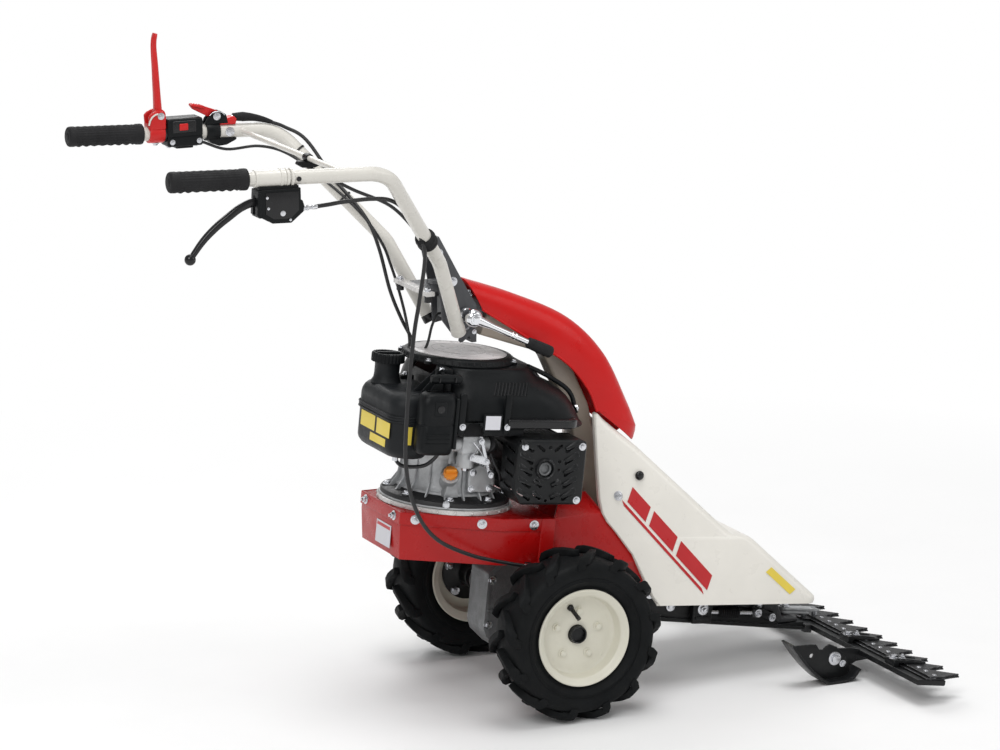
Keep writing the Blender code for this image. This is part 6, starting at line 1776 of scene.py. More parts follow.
def safety_bracket():
    """The red clamp of the operator-presence lever, with its pin, pale strap and screws."""
    piece = Piece("presence_clamp_look", "handlebar", GROUND)
    y = GRIP_Y
    band_profile = [(0.0126, -0.0140), (0.0160, -0.0140), (0.0166, -0.0125), (0.0166, 0.0125),
                    (0.0160, 0.0140), (0.0126, 0.0140)]
    collar(piece, on_handle(-0.590, 1), HANDLE_AXIS, band_profile, LEVER_RED)
    cheek = [(-0.6040, 1.0160), (-0.6060, 1.0400), (-0.6010, 1.0450), (-0.5900, 1.0500),
             (-0.5790, 1.0480), (-0.5745, 1.0380), (-0.5745, 1.0160)]
    for side in (-1, 1):
        piece.prism(cheek, y + side * 0.0092, y + side * 0.0150, LEVER_RED, "Y", 0.0018, 3)
    piece.box((-0.6050, y - 0.0130, 1.0150), (-0.5750, y + 0.0130, 1.0255), LEVER_RED, 0.0018)
    piece.box((-0.6056, y - 0.0130, 1.0180), (-0.6015, y + 0.0130, 1.0268), LEVER_RED, 0.0014)
    cross_pin(piece, PRESENCE_PIVOT, y, 0.0165, 0.0034, ZINC, 24, 0.0005)
    piece.bolt((-0.584, y - 0.0150, 1.040), (0, -1, 0), 0.0044, 0.0026)
    arc = [(-0.5900 - 0.017 * math.cos(a), y - 0.0160, 1.0210 + 0.023 * math.sin(a))
           for a in (math.radians(10 + 9 * i) for i in range(10))]
    piece.tube(arc, 0.0016, TUBE_IVORY, 12)
    piece.bolt(on_handle(-0.590, 1, -0.0166), (0, 0, -1), 0.0044, 0.0034)
    return piece.done("safety_bracket", angle=40)


def safety_lever():
    """The red presence lever: a tapered blade with a raised spine and flared tip."""
    piece = Piece("presence_lever_look", "presence_lever", GROUND)
    y = GRIP_Y
    line = smooth_path([(-0.5840, y, 1.0310), (-0.5852, y, 1.0600), (-0.5868, y, 1.0950),
                        (-0.5885, y, 1.1300), (-0.5900, y, 1.1560), (-0.5895, y, 1.1720),
                        (-0.5870, y, 1.1840)], 5)
    piece.add(blade(line, ((0.0, 0.0086), (0.25, 0.0078), (0.7, 0.0072), (0.93, 0.0086),
                           (1.0, 0.0070)),
                    ((0.0, 0.0078), (0.25, 0.0062), (0.7, 0.0044), (1.0, 0.0034))), LEVER_RED)
    cross_pin(piece, PRESENCE_PIVOT, y, 0.0086, 0.0115, LEVER_RED, 40, 0.0012)
    spine = [point + Vector((-0.0040 + 0.0012 * i / len(line), 0, 0))
             for i, point in enumerate(line[4:-3])]
    piece.tube(spine, 0.0022, LEVER_RED, 12)
    return piece.done("safety_lever", angle=50)


def switch_box():
    """The engine switch: two moulded halves, rocker button, screws and cable foot."""
    piece = Piece("switch_look", "handlebar", GROUND)
    y = GRIP_Y
    piece.box((-0.5730, y - 0.0195, 1.0000), (-0.5070, y + 0.0195, 1.0340), PLASTIC, 0.0055, 4)
    piece.box((-0.5730, y - 0.0190, 0.9840), (-0.5070, y + 0.0190, 1.0030), PLASTIC, 0.0050, 4)
    piece.box((-0.5640, y - 0.0205, 1.0080), (-0.5200, y + 0.0205, 1.0300), GLOSS_PLASTIC,
              0.0028, 3)
    piece.box((-0.5520, y - 0.0225, 1.0130), (-0.5360, y - 0.0180, 1.0250), LEVER_RED, 0.0018, 3)
    for x in (-0.5650, -0.5150):
        piece.bolt((x, y - 0.0192, 0.9930), (0, -1, 0), 0.0034, 0.0022)
        piece.bolt((x, y, 0.9842), (0, 0, -1), 0.0040, 0.0026)
    piece.box((-0.5560, y - 0.0140, 0.9800), (-0.5240, y + 0.0140, 0.9860), PLASTIC, 0.0022, 3)
    collar(piece, on_handle(-0.5770, 1), HANDLE_AXIS, [(0.0126, 0.0), (0.0160, 0.0),
                                                       (0.0160, 0.004), (0.0126, 0.004)],
           GLOSS_PLASTIC)
    return piece.done("switch_housing", angle=40)


def throttle_mount():
    """The throttle's clamp: split band, keel below, red carrier, adjuster and boot."""
    piece = Piece("throttle_mount_look", "handlebar", GROUND)
    y = GRIP_Y
    band_profile = [(0.0126, -0.0125), (0.0158, -0.0125), (0.0164, -0.0110), (0.0164, 0.0110),
                    (0.0158, 0.0125), (0.0126, 0.0125)]
    collar(piece, on_handle(-0.4850, 1), HANDLE_AXIS, band_profile, PLASTIC)
    keel = [(-0.4960, 0.9935), (-0.4880, 0.9840), (-0.4740, 0.9788), (-0.4600, 0.9800),
            (-0.4420, 0.9880), (-0.4405, 0.9915), (-0.4600, 0.9920)]
    piece.prism(keel, y - 0.0110, y + 0.0110, PLASTIC, "Y", 0.0028, 3)
    for side in (-1, 1):
        cheek = [(-0.4990, 1.0180), (-0.4960, 1.0270), (-0.4850, 1.0400), (-0.4710, 1.0410),
                 (-0.4600, 1.0340), (-0.4560, 1.0180)]
        piece.prism(cheek, y + side * 0.0040, y + side * 0.0100, PLASTIC, "Y", 0.0016, 3)
    carrier = [(-0.4720, 1.0160), (-0.4700, 1.0250), (-0.4450, 1.0300), (-0.4400, 1.0250),
               (-0.4420, 1.0150)]
    piece.prism(carrier, y - 0.0095, y + 0.0095, LEVER_RED, "Y", 0.0020, 3)
    cross_pin(piece, THROTTLE_PIVOT, y, 0.0125, 0.0038, ZINC, 24, 0.0005)
    piece.bolt((-0.478, y - 0.0100, 1.032), (0, -1, 0), 0.0048, 0.0028)
    spring = [(-0.4780 + 0.0147 * math.cos(a), y - 0.0118, 1.0300 + 0.0105 * math.sin(a))
              for a in (math.radians(20 + 14 * i) for i in range(11))]
    piece.tube(spring, 0.0009, ZINC, 10)
    piece.rod((-0.4480, y, 1.0275), (-0.4330, y, 1.0268), 0.0034, ZINC, 20, 0.0005)
    boot = smooth_path([(-0.4440, y, 1.0270), (-0.4250, y, 1.0262), (-0.4050, y - 0.001, 1.0235),
                        (-0.3860, y - 0.003, 1.0185), (-0.3720, y - 0.005, 1.0135)], 6)
    radii = [between(i / (len(boot) - 1), ((0.0, 0.0068), (0.25, 0.0085), (0.5, 0.0066),
                                           (1.0, 0.0036))) for i in range(len(boot))]
    piece.tube(boot, radii, GRIP_RUBBER, 24)
    return piece.done("throttle_body", angle=40)


def throttle_lever():
    """The red thumb lever with a ribbed thumb pad."""
    piece = Piece("throttle_lever_look", "throttle", GROUND)
    y = GRIP_Y
    cross_pin(piece, THROTTLE_PIVOT, y, 0.0032, 0.0092, LEVER_RED, 40, 0.0008)
    shank = [(-0.4700, 1.0290), (-0.4740, 1.0410), (-0.4980, 1.0500), (-0.5230, 1.0550),
             (-0.5250, 1.0520), (-0.5200, 1.0460), (-0.4840, 1.0270)]
    piece.prism(shank, y - 0.0032, y + 0.0032, LEVER_RED, "Y", 0.0012, 3)
    pad = [(-0.5245, 1.0520), (-0.5235, 1.0560), (-0.5000, 1.0515), (-0.5010, 1.0465)]
    piece.prism(pad, y - 0.0075, y + 0.0075, LEVER_RED, "Y", 0.0014, 3)
    for i in range(4):
        x = -0.5200 + 0.0048 * i
        piece.rod((x, y - 0.0065, 1.0552 - 0.0009 * i), (x, y + 0.0065, 1.0552 - 0.0009 * i),
                  0.0009, LEVER_RED, 10)
    return piece.done("throttle_lever", angle=40)


def console():
    """The folded console: rolled cheeks, front web, screws and the rear tie bar."""
    piece = Piece("console_look", "handlebar", GROUND)
    outline = [(-0.190, 0.835), (-0.178, 0.842), (-0.136, 0.765), (-0.106, 0.712),
               (-0.110, 0.686), (-0.128, 0.672), (-0.152, 0.668), (-0.170, 0.690),
               (-0.177, 0.755)]
    inner = [(-0.22, 0.86), (-0.1905, 0.860), (-0.1385, 0.7635), (-0.1290, 0.7460),
             (-0.090, 0.7460), (-0.090, 0.65), (-0.22, 0.65)]
    bm = cut_mesh(prism_mesh(outline, -0.046, 0.046), prism_mesh(inner, -0.0435, 0.0435),
                  rod_mesh((TILT.x, -0.1, TILT.z), (TILT.x, 0.1, TILT.z), 0.0063, 32),
                  prism_mesh([(-0.23, 0.87), (-0.1790, 0.87), (-0.1690, 0.80), (-0.1520, 0.72),
                              (-0.1480, 0.64), (-0.23, 0.64)], 0.0, 0.06))
    piece.add(bm, CONSOLE, 0.0007)
    rear_edges = ((-1, ((-0.1905, 0.834), (-0.1775, 0.755), (-0.1705, 0.692), (-0.153, 0.6685))),
                  (1, ((-0.1740, 0.832), (-0.1690, 0.800), (-0.1520, 0.720), (-0.1490, 0.669))))
    for side, line in rear_edges:
        piece.tube([(x, side * 0.0450, z) for x, z in line], 0.0021, CONSOLE, 10)
        piece.bolt((-0.1520, side * 0.0462, 0.7600), (0, side, 0), 0.0058, 0.0042)
    piece.bolt((-0.1780, -0.0462, 0.8130), (0, -1, 0), 0.0050, 0.0038)
    rib = [(-0.1500, 0.7300), (-0.1420, 0.7260), (-0.1600, 0.6860), (-0.1660, 0.6920)]
    piece.prism(rib, -0.0478, -0.0455, CONSOLE, "Y", 0.0009)
    clip = [(-0.1995, 0.762), (-0.1700, 0.762), (-0.1700, 0.7685), (-0.1995, 0.7685)]
    piece.prism(clip, -0.0640, -0.0450, CONSOLE, "Y", 0.001)
    tie = round_edges(box_mesh((-0.2135, -0.072, 0.742), (-0.1975, 0.072, 0.750)), 0.0014, 3)
    piece.add(tie, SPACER)
    piece.box((-0.2000, -0.0440, 0.7430), (-0.1540, 0.0440, 0.7490), CONSOLE, 0.0008)
    for y in (-0.060, 0.060):
        piece.bolt((-0.2055, y, 0.7500), (0, 0, 1), 0.0052, 0.0040)
        piece.rod((-0.2055, y, 0.7300), (-0.2055, y, 0.7425), 0.0068, GLOSS_PLASTIC, 28, 0.0012)
    piece.nut((TILT.x, 0.0458, TILT.z), (0, 1, 0), 0.0105, 0.0062)
    return piece.done("console_plate", angle=35)


def swing_block():
    """The forged block on the upright pin, with two bosses and a grease nipple."""
    piece = Piece("swing_block_look", "swing_block", GROUND)
    bm = round_edges(box_mesh((-0.150, -0.028, 0.6845), (-0.084, 0.028, 0.722)), 0.0040, 4)
    bm = cut_mesh(bm, rod_mesh((SWING_X, 0, 0.67), (SWING_X, 0, 0.74), 0.0081, 40),
                  rod_mesh((TILT.x, -0.1, TILT.z), (TILT.x, 0.1, TILT.z), 0.0063, 32))
    piece.add(bm, GREY_CASTING)
    for side in (-1, 1):
        boss = [(0.0064, 0.0), (0.0135, 0.0), (0.0135, 0.0120), (0.0125, 0.0135),
                (0.0064, 0.0135)]
        collar(piece, (TILT.x, side * 0.0275, TILT.z), (0, side, 0), boss, GREY_CASTING)
    piece.rod((-0.118, 0.014, 0.7215), (-0.118, 0.014, 0.7270), 0.0028, ZINC, 16, 0.0006)
    return piece.done("swing_head", angle=40)


def clamp():
    """The tilt bolt with its chromed clamping lever, and the lever's black hand grip."""
    y = -0.090
    piece = Piece("clamp_lever_look", "tilt_clamp", GROUND)
    piece.rod((TILT.x, y - 0.0065, TILT.z), (TILT.x, 0.060, TILT.z), 0.0061, ZINC, 32, 0.0006)
    hub_profile = [(0.0061, 0.0), (0.0130, 0.0), (0.0136, 0.0012), (0.0136, 0.0090),
                   (0.0118, 0.0110), (0.0100, 0.0180), (0.0100, 0.0270), (0.0128, 0.0300),
                   (0.0150, 0.0330), (0.0158, 0.0380), (0.0150, 0.0430), (0.0120, 0.0470),
                   (0.0061, 0.0490)]
    piece.add(lathe_mesh(hub_profile, (TILT.x, -0.0470, TILT.z), toward((0, -1, 0)), 56), CHROME)
    start, end = Vector((TILT.x, y, TILT.z)), Vector((-0.012, y, 0.641))
    along = end - start
    piece.tube([start, start + along * 0.10, start + along * 0.22, start + along * 0.30,
                start + along * 0.96], [0.0090, 0.0085, 0.0066, 0.0054, 0.0052], CHROME, 28)
    for share in (0.60, 0.66):
        at = start + along * share
        collar(piece, at, along, [(0.0050, -0.0012), (0.0060, 0.0), (0.0050, 0.0012)], CHROME, 28)
    piece.bolt((TILT.x, y - 0.0062, TILT.z), (0, -1, 0), 0.0068, 0.0034, CHROME)
    piece.done("clamp_lever", angle=45)
    grip_piece = Piece("clamp_grip_look", "tilt_clamp", GROUND)
    start, tip = Vector((-0.028, y, 0.6489)), Vector((0.018, y, 0.6259))
    along = tip - start
    spots = ((0.0, 0.0078), (0.02, 0.0092), (0.06, 0.0098), (0.12, 0.0094), (0.5, 0.0102),
             (0.86, 0.0108), (0.94, 0.0108), (0.985, 0.0092), (1.0, 0.0062))
    grip_piece.tube([start + along * share for share, _ in spots], [r for _, r in spots],
                    GRIP_RUBBER, 32)
    for i in range(8):
        angle = math.tau * i / 8
        turn = toward(along).to_3x3()
        offset = turn @ Vector((0.0100 * math.cos(angle), 0.0100 * math.sin(angle), 0))
        low, high = start + along * 0.16 + offset * 0.93, start + along * 0.84 + offset * 1.02
        grip_piece.tube([low, high], 0.0009, GRIP_RUBBER, 8)
    grip_piece.done("clamp_grip", angle=45)


def swing_lock():
    """The short lever that locks the swing: a hub, a tab and a flat hanging blade."""
    piece = Piece("swing_lock_look", "swing_lock_lever", GROUND)
    hub_profile = [(0.0, 0.6438), (0.0092, 0.6438), (0.0102, 0.6448), (0.0102, 0.6588),
                   (0.0092, 0.6597), (0.0, 0.6597)]
    piece.lathe(hub_profile, (SWING_X, 0, 0), CONSOLE, "Z", 48)
    piece.box((SWING_X - 0.0110, -0.0300, 0.6440), (SWING_X - 0.0010, 0.0, 0.6488), CONSOLE,
              0.0012)
    plate = [(-0.0992, 0.6440), (-0.0990, 0.6640), (-0.1030, 0.6705), (-0.1090, 0.6715),
             (-0.1330, 0.6530), (-0.1335, 0.6490), (-0.1300, 0.6455), (-0.1255, 0.6465),
             (-0.1130, 0.6560), (-0.1085, 0.6440)]
    piece.prism(plate, -0.0305, -0.0272, CONSOLE, "Y", 0.0009)
    piece.bolt((-0.1040, -0.0305, 0.6630), (0, -1, 0), 0.0030, 0.0022)
    return piece.done("swing_lock")


# ---- cables -------------------------------------------------------------------------------
UPPER_CUT = 0.715          # height at which each cable's two lengths meet


def cable(name, points, radius, low_end, high_start, *replaced):
    """A cable in two lengths, split where its path first falls below UPPER_CUT; neither is set on
    a body.
    """
    path = smooth_path(points, 8)
    cut_at = next(i for i, point in enumerate(path) if point.z < UPPER_CUT and i > 8)
    upper = Piece(name + "_upper", None, GROUND)
    upper.tube(path[:cut_at + 1], radius, CABLE, 14)
    upper = upper.done(*replaced, angle=60)
    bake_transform(upper)
    lower = Piece(name + "_lower", None, GROUND)
    lower.tube(path[cut_at:], radius, CABLE, 14)
    lower = lower.done(angle=60)
    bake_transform(lower)


def cables():
    """The traction, throttle and stop cables, two short ones, their tie and their clamp."""
    y = -GRIP_Y
    cable("traction_cable",
          [(-0.4930, y + 0.0005, 0.9534), (-0.4700, -0.2450, 0.9545), (-0.4382, -0.2400, 0.9560),
           (-0.3804, -0.2250, 0.9540), (-0.3368, -0.2060, 0.9440), (-0.2980, -0.1800, 0.9160),
           (-0.2640, -0.1640, 0.8650), (-0.2560, -0.1610, 0.8300), (-0.2644, -0.1560, 0.7566),
           (-0.2759, -0.1580, 0.6963), (-0.2928, -0.1700, 0.5879), (-0.2999, -0.1760, 0.4744),
           (-0.2784, -0.1700, 0.3905), (-0.2385, -0.1640, 0.3348), (-0.1709, -0.1560, 0.2961),
           (-0.1000, -0.1500, 0.2720), (-0.0500, -0.1460, 0.2580)], 0.0036, 0.500, 0.880,
          "drive_cable")
    cable("gas_cable",
          [(-0.3740, 0.2425, 1.0140), (-0.3500, 0.2350, 1.0040), (-0.3180, 0.2150, 0.9820),
           (-0.2850, 0.1700, 0.9180), (-0.2530, 0.1050, 0.8580), (-0.2380, 0.0800, 0.8060),
           (-0.2210, 0.0700, 0.7290), (-0.2020, 0.0640, 0.6770), (-0.1850, 0.0560, 0.6380),
           (-0.1900, 0.0350, 0.6130), (-0.2100, 0.0000, 0.6040)], 0.0032, 0.630, 0.860,
          "throttle_cable")
    cable("stop_cable",
          [(-0.5050, 0.2400, 0.9880), (-0.4600, 0.2380, 0.9720), (-0.4000, 0.2330, 0.9740),
           (-0.3500, 0.2200, 0.9580), (-0.3050, 0.1700, 0.9180), (-0.2600, 0.1150, 0.8660),
           (-0.2290, 0.0900, 0.8140), (-0.2120, 0.0860, 0.7700), (-0.2010, 0.0760, 0.7250),
           (-0.1960, 0.0560, 0.6750), (-0.2020, 0.0300, 0.6350), (-0.2250, 0.0200, 0.6120)],
          0.0026, 0.630, 0.860)
    inner = Piece("second_cable", "handlebar", GROUND)
    inner.tube(smooth_path([(-0.4300, -0.0640, 0.9860), (-0.3900, -0.0700, 0.9640),
                            (-0.3503, -0.0760, 0.9420), (-0.2900, -0.0900, 0.9130),
                            (-0.2472, -0.0940, 0.8700), (-0.2147, -0.0700, 0.8300),
                            (-0.1950, -0.0500, 0.8050), (-0.1780, -0.0380, 0.7900)], 8),
               0.0030, CABLE, 14)
    inner.rod((-0.1950, -0.0495, 0.8050), (-0.1850, -0.0420, 0.7960), 0.0044, GRIP_RUBBER, 20,
              0.0008)
    inner.done(angle=60)
    short = Piece("short_cable", None, GROUND)
    short.tube(smooth_path([(-0.1500, 0.0100, 0.6930), (-0.1580, 0.0100, 0.6900),
                            (-0.1680, 0.0090, 0.6700), (-0.1790, 0.0060, 0.6380),
                            (-0.2000, 0.0040, 0.6130), (-0.2150, 0.0000, 0.6050)], 8),
               0.0024, CABLE, 12)
    short = short.done(angle=60)
    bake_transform(short)
    band_piece = Piece("cable_tie", "handlebar", GROUND)
    at = Vector((-0.2625, -0.1628, 0.8600))
    ring = [(0.0038, -0.0022), (0.0052, -0.0022), (0.0052, 0.0022), (0.0038, 0.0022)]
    collar(band_piece, at, (0.1, 0.05, -1), ring, GRIP_RUBBER, 28)
    band_piece.rod(at, on_slope(0.74, -1), 0.0030, GRIP_RUBBER, 16)
    band_piece.done()
    clamp_piece = Piece("cable_clamp", "chassis", BODY)
    inverse = BODY.inverted() @ GROUND
    spot = inverse @ Vector((-0.0500, -0.1460, 0.2580))
    clamp_piece.rod(spot - Vector((0.012, 0, -0.001)), spot + Vector((0.012, 0, -0.001)), 0.0052,
                    ZINC, 24, 0.0006)
    clamp_piece.box(spot - Vector((0.006, 0.0005, 0.006)), spot + Vector((0.006, 0.0110, 0.006)),
                    BLACK_STEEL, 0.001)
    clamp_piece.done()


def pull_rope():
    """The starter rope: a short straight length by the rope guide, set on no body."""
    piece = Piece("pull_rope", None, BODY)
    inner, outer = Vector((-0.247, -0.0990, 0.4420)), Vector((-0.247, -0.1100, 0.4363))
    path = [inner.lerp(outer, i / 14) for i in range(15)]
    piece.tube(path, 0.0019, GRIP_RUBBER, 12)
    rope = piece.done(angle=60)
    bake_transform(rope)


def handlebar():
    """Both handle tubes and everything that they carry, with the cables and the rope."""
    for label, side in (("right", -1), ("left", 1)):
        handle_tube(label, side)
        grip(label, side)
    brace()
    lever_housing()
    drive_lever()
    safety_bracket()
    safety_lever()
    switch_box()
    throttle_mount()
    throttle_lever()
    console()
    swing_block()
    clamp()
    swing_lock()
    cables()
    pull_rope()


# ---- cutter -------------------------------------------------------------------------------
BAR_HALF = 0.435          # half the cutter bar's width
TOOTH_PITCH = 0.054375
TOOTH_COUNT = 16
ROCKER_X = -0.035         # the axis that both rockers turn on, in BAR


def tooth_centre(index):
    """The y of one tooth's middle."""
    return (index - (TOOTH_COUNT - 1) / 2) * TOOTH_PITCH


def cutter_beam():
    """The rolled bar with its bolt row, a row of short pins and the mounting saddle."""
    piece = Piece("bar_look", "chassis", BAR)
    half = BAR_HALF - 0.0003
    section = [(0.0003, -0.0100), (0.0560, -0.0100), (0.0580, -0.0080), (0.0580, -0.0002),
               (0.0003, -0.0002)]
    piece.prism(section, -half, half, BLACK_STEEL, "Y", 0.0012, 3)
    piece.box((-0.0115, -0.045, -0.0160), (0.0040, 0.045, -0.0006), DARK_CASTING, 0.0014, 3)
    for y in (-0.030, 0.030):
        piece.bolt((-0.0114, y, -0.0085), (-1, 0, 0), 0.0048, 0.0034)
    for y in (-0.400, -0.250, -0.085, 0.085, 0.250, 0.400):
        piece.bolt((0.047, y, -0.0100), (0, 0, -1), 0.0058, 0.0036)
    for i in range(12):
        y = -0.400 + 0.800 * i / 11
        piece.rod((0.0545, y - 0.011, -0.0050), (0.0595, y - 0.011, -0.0050), 0.0028, ZINC, 14,
                  0.0006)
    return piece.done("cutter_bar", angle=40)


def knife(name, body, low, high, tail, root, reach, head):
    """A row of riveted, serrated, hollow-ground sections on a flat back bar."""
    piece = Piece(name, body, BAR)
    half = TOOTH_COUNT * TOOTH_PITCH / 2 - 0.0004
    middle = (low + high) / 2
    is_lower = body == "lower_blade"
    piece.box((tail, -half, low), (root + 0.0015, half, high), KNIFE_STEEL, 0.0004, 1)
    for i in range(TOOTH_COUNT):
        y = tooth_centre(i)
        wide, tip = 0.44 * TOOTH_PITCH, 0.040 * TOOTH_PITCH
        steps = 9
        left = []
        for k in range(steps + 1):
            share = k / steps
            x = root + (reach - root - 0.0006) * share
            off = tip + (wide - tip) * (1.0 - share) ** 1.15
            left.append((x, off))
            if 0 < k < steps:
                left.append((x + 0.0006, off - 0.0016))
        outline = [(x, y - off) for x, off in left]
        outline += [(reach, y - tip * 0.4), (reach, y + tip * 0.4)]
        outline += [(x, y + off) for x, off in reversed(left)]
        rims = []
        for level, shrink in ((low, 0.0 if is_lower else 0.0030), (middle, 0.0),
                              (high, 0.0030 if is_lower else 0.0)):
            ring = []
            for px, py in outline:
                inward = shrink if px > root + 0.001 else 0.0
                share = (px - root) / (reach - root)
                ring.append((px - inward * 0.35 * share, py - math.copysign(inward * 0.5, py - y),
                             level))
            rims.append(ring)
        piece.add(loft_mesh(rims), KNIFE_STEEL)
        for off in (-0.0145, 0.0145):
            dome = [(0.0042, high - 0.0003), (0.0038, high + 0.0009), (0.0022, high + 0.0016),
                    (0.0, high + 0.0018)]
            if is_lower:
                dome = [(0.0, high), (0.0042, high), (0.0042, high + 0.0001), (0.0, high + 0.0001)]
            piece.lathe(dome, (tail + 0.016, y + off, 0), ZINC, "Z", 16)
        # A thin strip of painted shade marks the gap between neighbouring sections.
        if i < TOOTH_COUNT - 1 and not is_lower:
            seam = y + TOOTH_PITCH / 2
            piece.box((tail + 0.001, seam - 0.0004, high - 0.0002),
                      (root, seam + 0.0004, high + 0.0002), PAINTED_SHADE, 0.0, 1)
    head_x, pin_x, pin_top, pin_radius = head
    if head_x < tail:
        piece.box((head_x, -0.0140, low), (tail + 0.002, 0.0140, high), KNIFE_STEEL, 0.0004, 1)
    piece.rod((pin_x, 0, low), (pin_x, 0, pin_top), pin_radius, SHAFT_STEEL, 28, 0.0006)
    return piece


def knives():
    """Both knives; the last numbers are each one's drive head and pin."""
    lower = knife("lower_knife_look", "lower_blade", 0.0003, 0.0033, 0.0160, 0.0540, 0.1012,
                  (0.0, 0.0080, 0.0149, 0.0050))
    lower.done("lower_knife", angle=30)
    upper = knife("upper_knife_look", "upper_blade", 0.0036, 0.0066, 0.0240, 0.0540, 0.0995,
                  (0.024, 0.0300, 0.0209, 0.0050))
    upper.done("upper_knife", angle=30)


def rocker(name, body, low, high, reach, node):
    """A forged rocker: round boss, waisted arm and a slotted fork that holds the knife's pin."""
    piece = Piece(name, body, BAR)
    outline = []
    for i in range(17):
        angle = math.radians(60 + 240 * i / 16)
        outline.append((ROCKER_X + 0.0120 * math.cos(angle), 0.0120 * math.sin(angle)))
    fork = ROCKER_X + reach
    slot = 0.0067
    waist = ROCKER_X + 0.016
    outline += [(waist, -0.0088), (fork - 0.014, -0.0098), (fork + 0.0035, -0.0105),
                (fork + 0.0045, -0.0095), (fork + 0.0045, -slot), (fork - 0.0060, -slot),
                (fork - 0.0078, 0.0), (fork - 0.0060, slot), (fork + 0.0045, slot),
                (fork + 0.0045, 0.0095), (fork + 0.0035, 0.0105), (fork - 0.014, 0.0098),
                (waist, 0.0088)]
    bm = round_edges(prism_mesh(outline, low, high, "Z"), 0.0008, 2, 50)
    bore = rod_mesh((ROCKER_X, 0, low - 0.01), (ROCKER_X, 0, high + 0.01), 0.0055, 32)
    piece.add(cut_mesh(bm, bore), CASTING)
    return piece.done(node, angle=40)


def hold_down(number, y):
    """A stepped clip that keeps the knives down, with two ribs and two bolts."""
    piece = Piece(f"clip_look_{number}", "chassis", BAR)
    side = [(0.0012, -0.0004), (0.0124, -0.0004), (0.0124, 0.0072), (0.0680, 0.0072),
            (0.0680, 0.0096), (0.0660, 0.0108), (0.0420, 0.0112), (0.0340, 0.0126),
            (0.0030, 0.0126), (0.0012, 0.0112)]
    piece.prism(side, y - 0.0158, y + 0.0158, BLACK_STEEL, "Y", 0.0009, 2)
    rib = [(0.0100, 0.0120), (0.0340, 0.0120), (0.0420, 0.0108), (0.0600, 0.0104),
           (0.0600, 0.0122), (0.0400, 0.0140), (0.0100, 0.0142)]
    for off in (-0.0110, 0.0110):
        piece.prism(rib, y + off - 0.0022, y + off + 0.0022, BLACK_STEEL, "Y", 0.0007, 2)
    piece.bolt((0.0070, y, 0.0127), (0, 0, 1), 0.0056, 0.0046)
    piece.nut((0.0260, y, 0.0126), (0, 0, 1), 0.0048, 0.0036)
    return piece.done(f"hold_down_{number}", angle=40)


def drive_case():
    """The knife drive's casting: ribbed flanks, cover bolts, bellows and fasteners."""
    piece = Piece("drive_case_look", "chassis", BODY)
    outline = [(0.380, -0.002), (0.5005, -0.0172), (0.5143, -0.0404), (0.556, -0.0368),
               (0.556, -0.0305), (0.524, -0.0315), (0.512, -0.006), (0.480, 0.030),
               (0.410, 0.040), (0.385, 0.030)]
    piece.prism(outline, -0.0378, 0.0378, DARK_CASTING, "Y", 0.0022, 3)
    for side in (-1, 1):
        for x, low, high in ((0.400, -0.002, 0.034), (0.428, -0.006, 0.036),
                             (0.456, -0.009, 0.033), (0.482, -0.012, 0.024)):
            rib = [(x - 0.0022, low), (x + 0.0022, low), (x + 0.0022, high), (x - 0.0022, high)]
            piece.prism(rib, side * 0.0370, side * 0.0400, DARK_CASTING, "Y", 0.0009)
        for x, z in ((0.413, 0.030), (0.413, 0.005), (0.470, 0.026), (0.470, -0.005)):
            piece.bolt((x, side * 0.0378, z), (0, side, 0), 0.0052, 0.0040)
    for y in (-0.028, 0.028):
        piece.bolt((0.440, y, 0.0360), (0.1, 0, 1), 0.0056, 0.0044)
        piece.bolt((0.494, y, 0.0145), (0.62, 0, 0.78), 0.0050, 0.0038)
    profile = []
    for i in range(7):
        h = 0.0015 + 0.0032 * i
        profile += [(0.0150 - 0.0006 * i, h), (0.0182 - 0.0007 * i, h + 0.0016)]
    profile = [(0.0, 0.0)] + profile + [(0.0090, 0.0255), (0.0, 0.0255)]
    base = Vector((0.5010, 0, 0.0050))
    piece.add(lathe_mesh(profile, base, toward(Vector((0.70, 0, 0.45))), 48), GRIP_RUBBER)
    return piece.done("knife_drive_case", angle=40)


def rocker_post():
    """The upright pin that both rockers turn on, with its washer and nut."""
    piece = Piece("rocker_post_look", "chassis", BAR)
    profile = [(0.0, 0.0060), (0.0049, 0.0060), (0.0049, 0.0225), (0.0080, 0.0225),
               (0.0080, 0.0236), (0.0, 0.0236)]
    piece.lathe(profile, (ROCKER_X, 0, 0), ZINC, "Z", 40)
    piece.nut((ROCKER_X, 0, 0.0230), (0, 0, 1), 0.0064, 0.0042)
    return piece.done(angle=40)


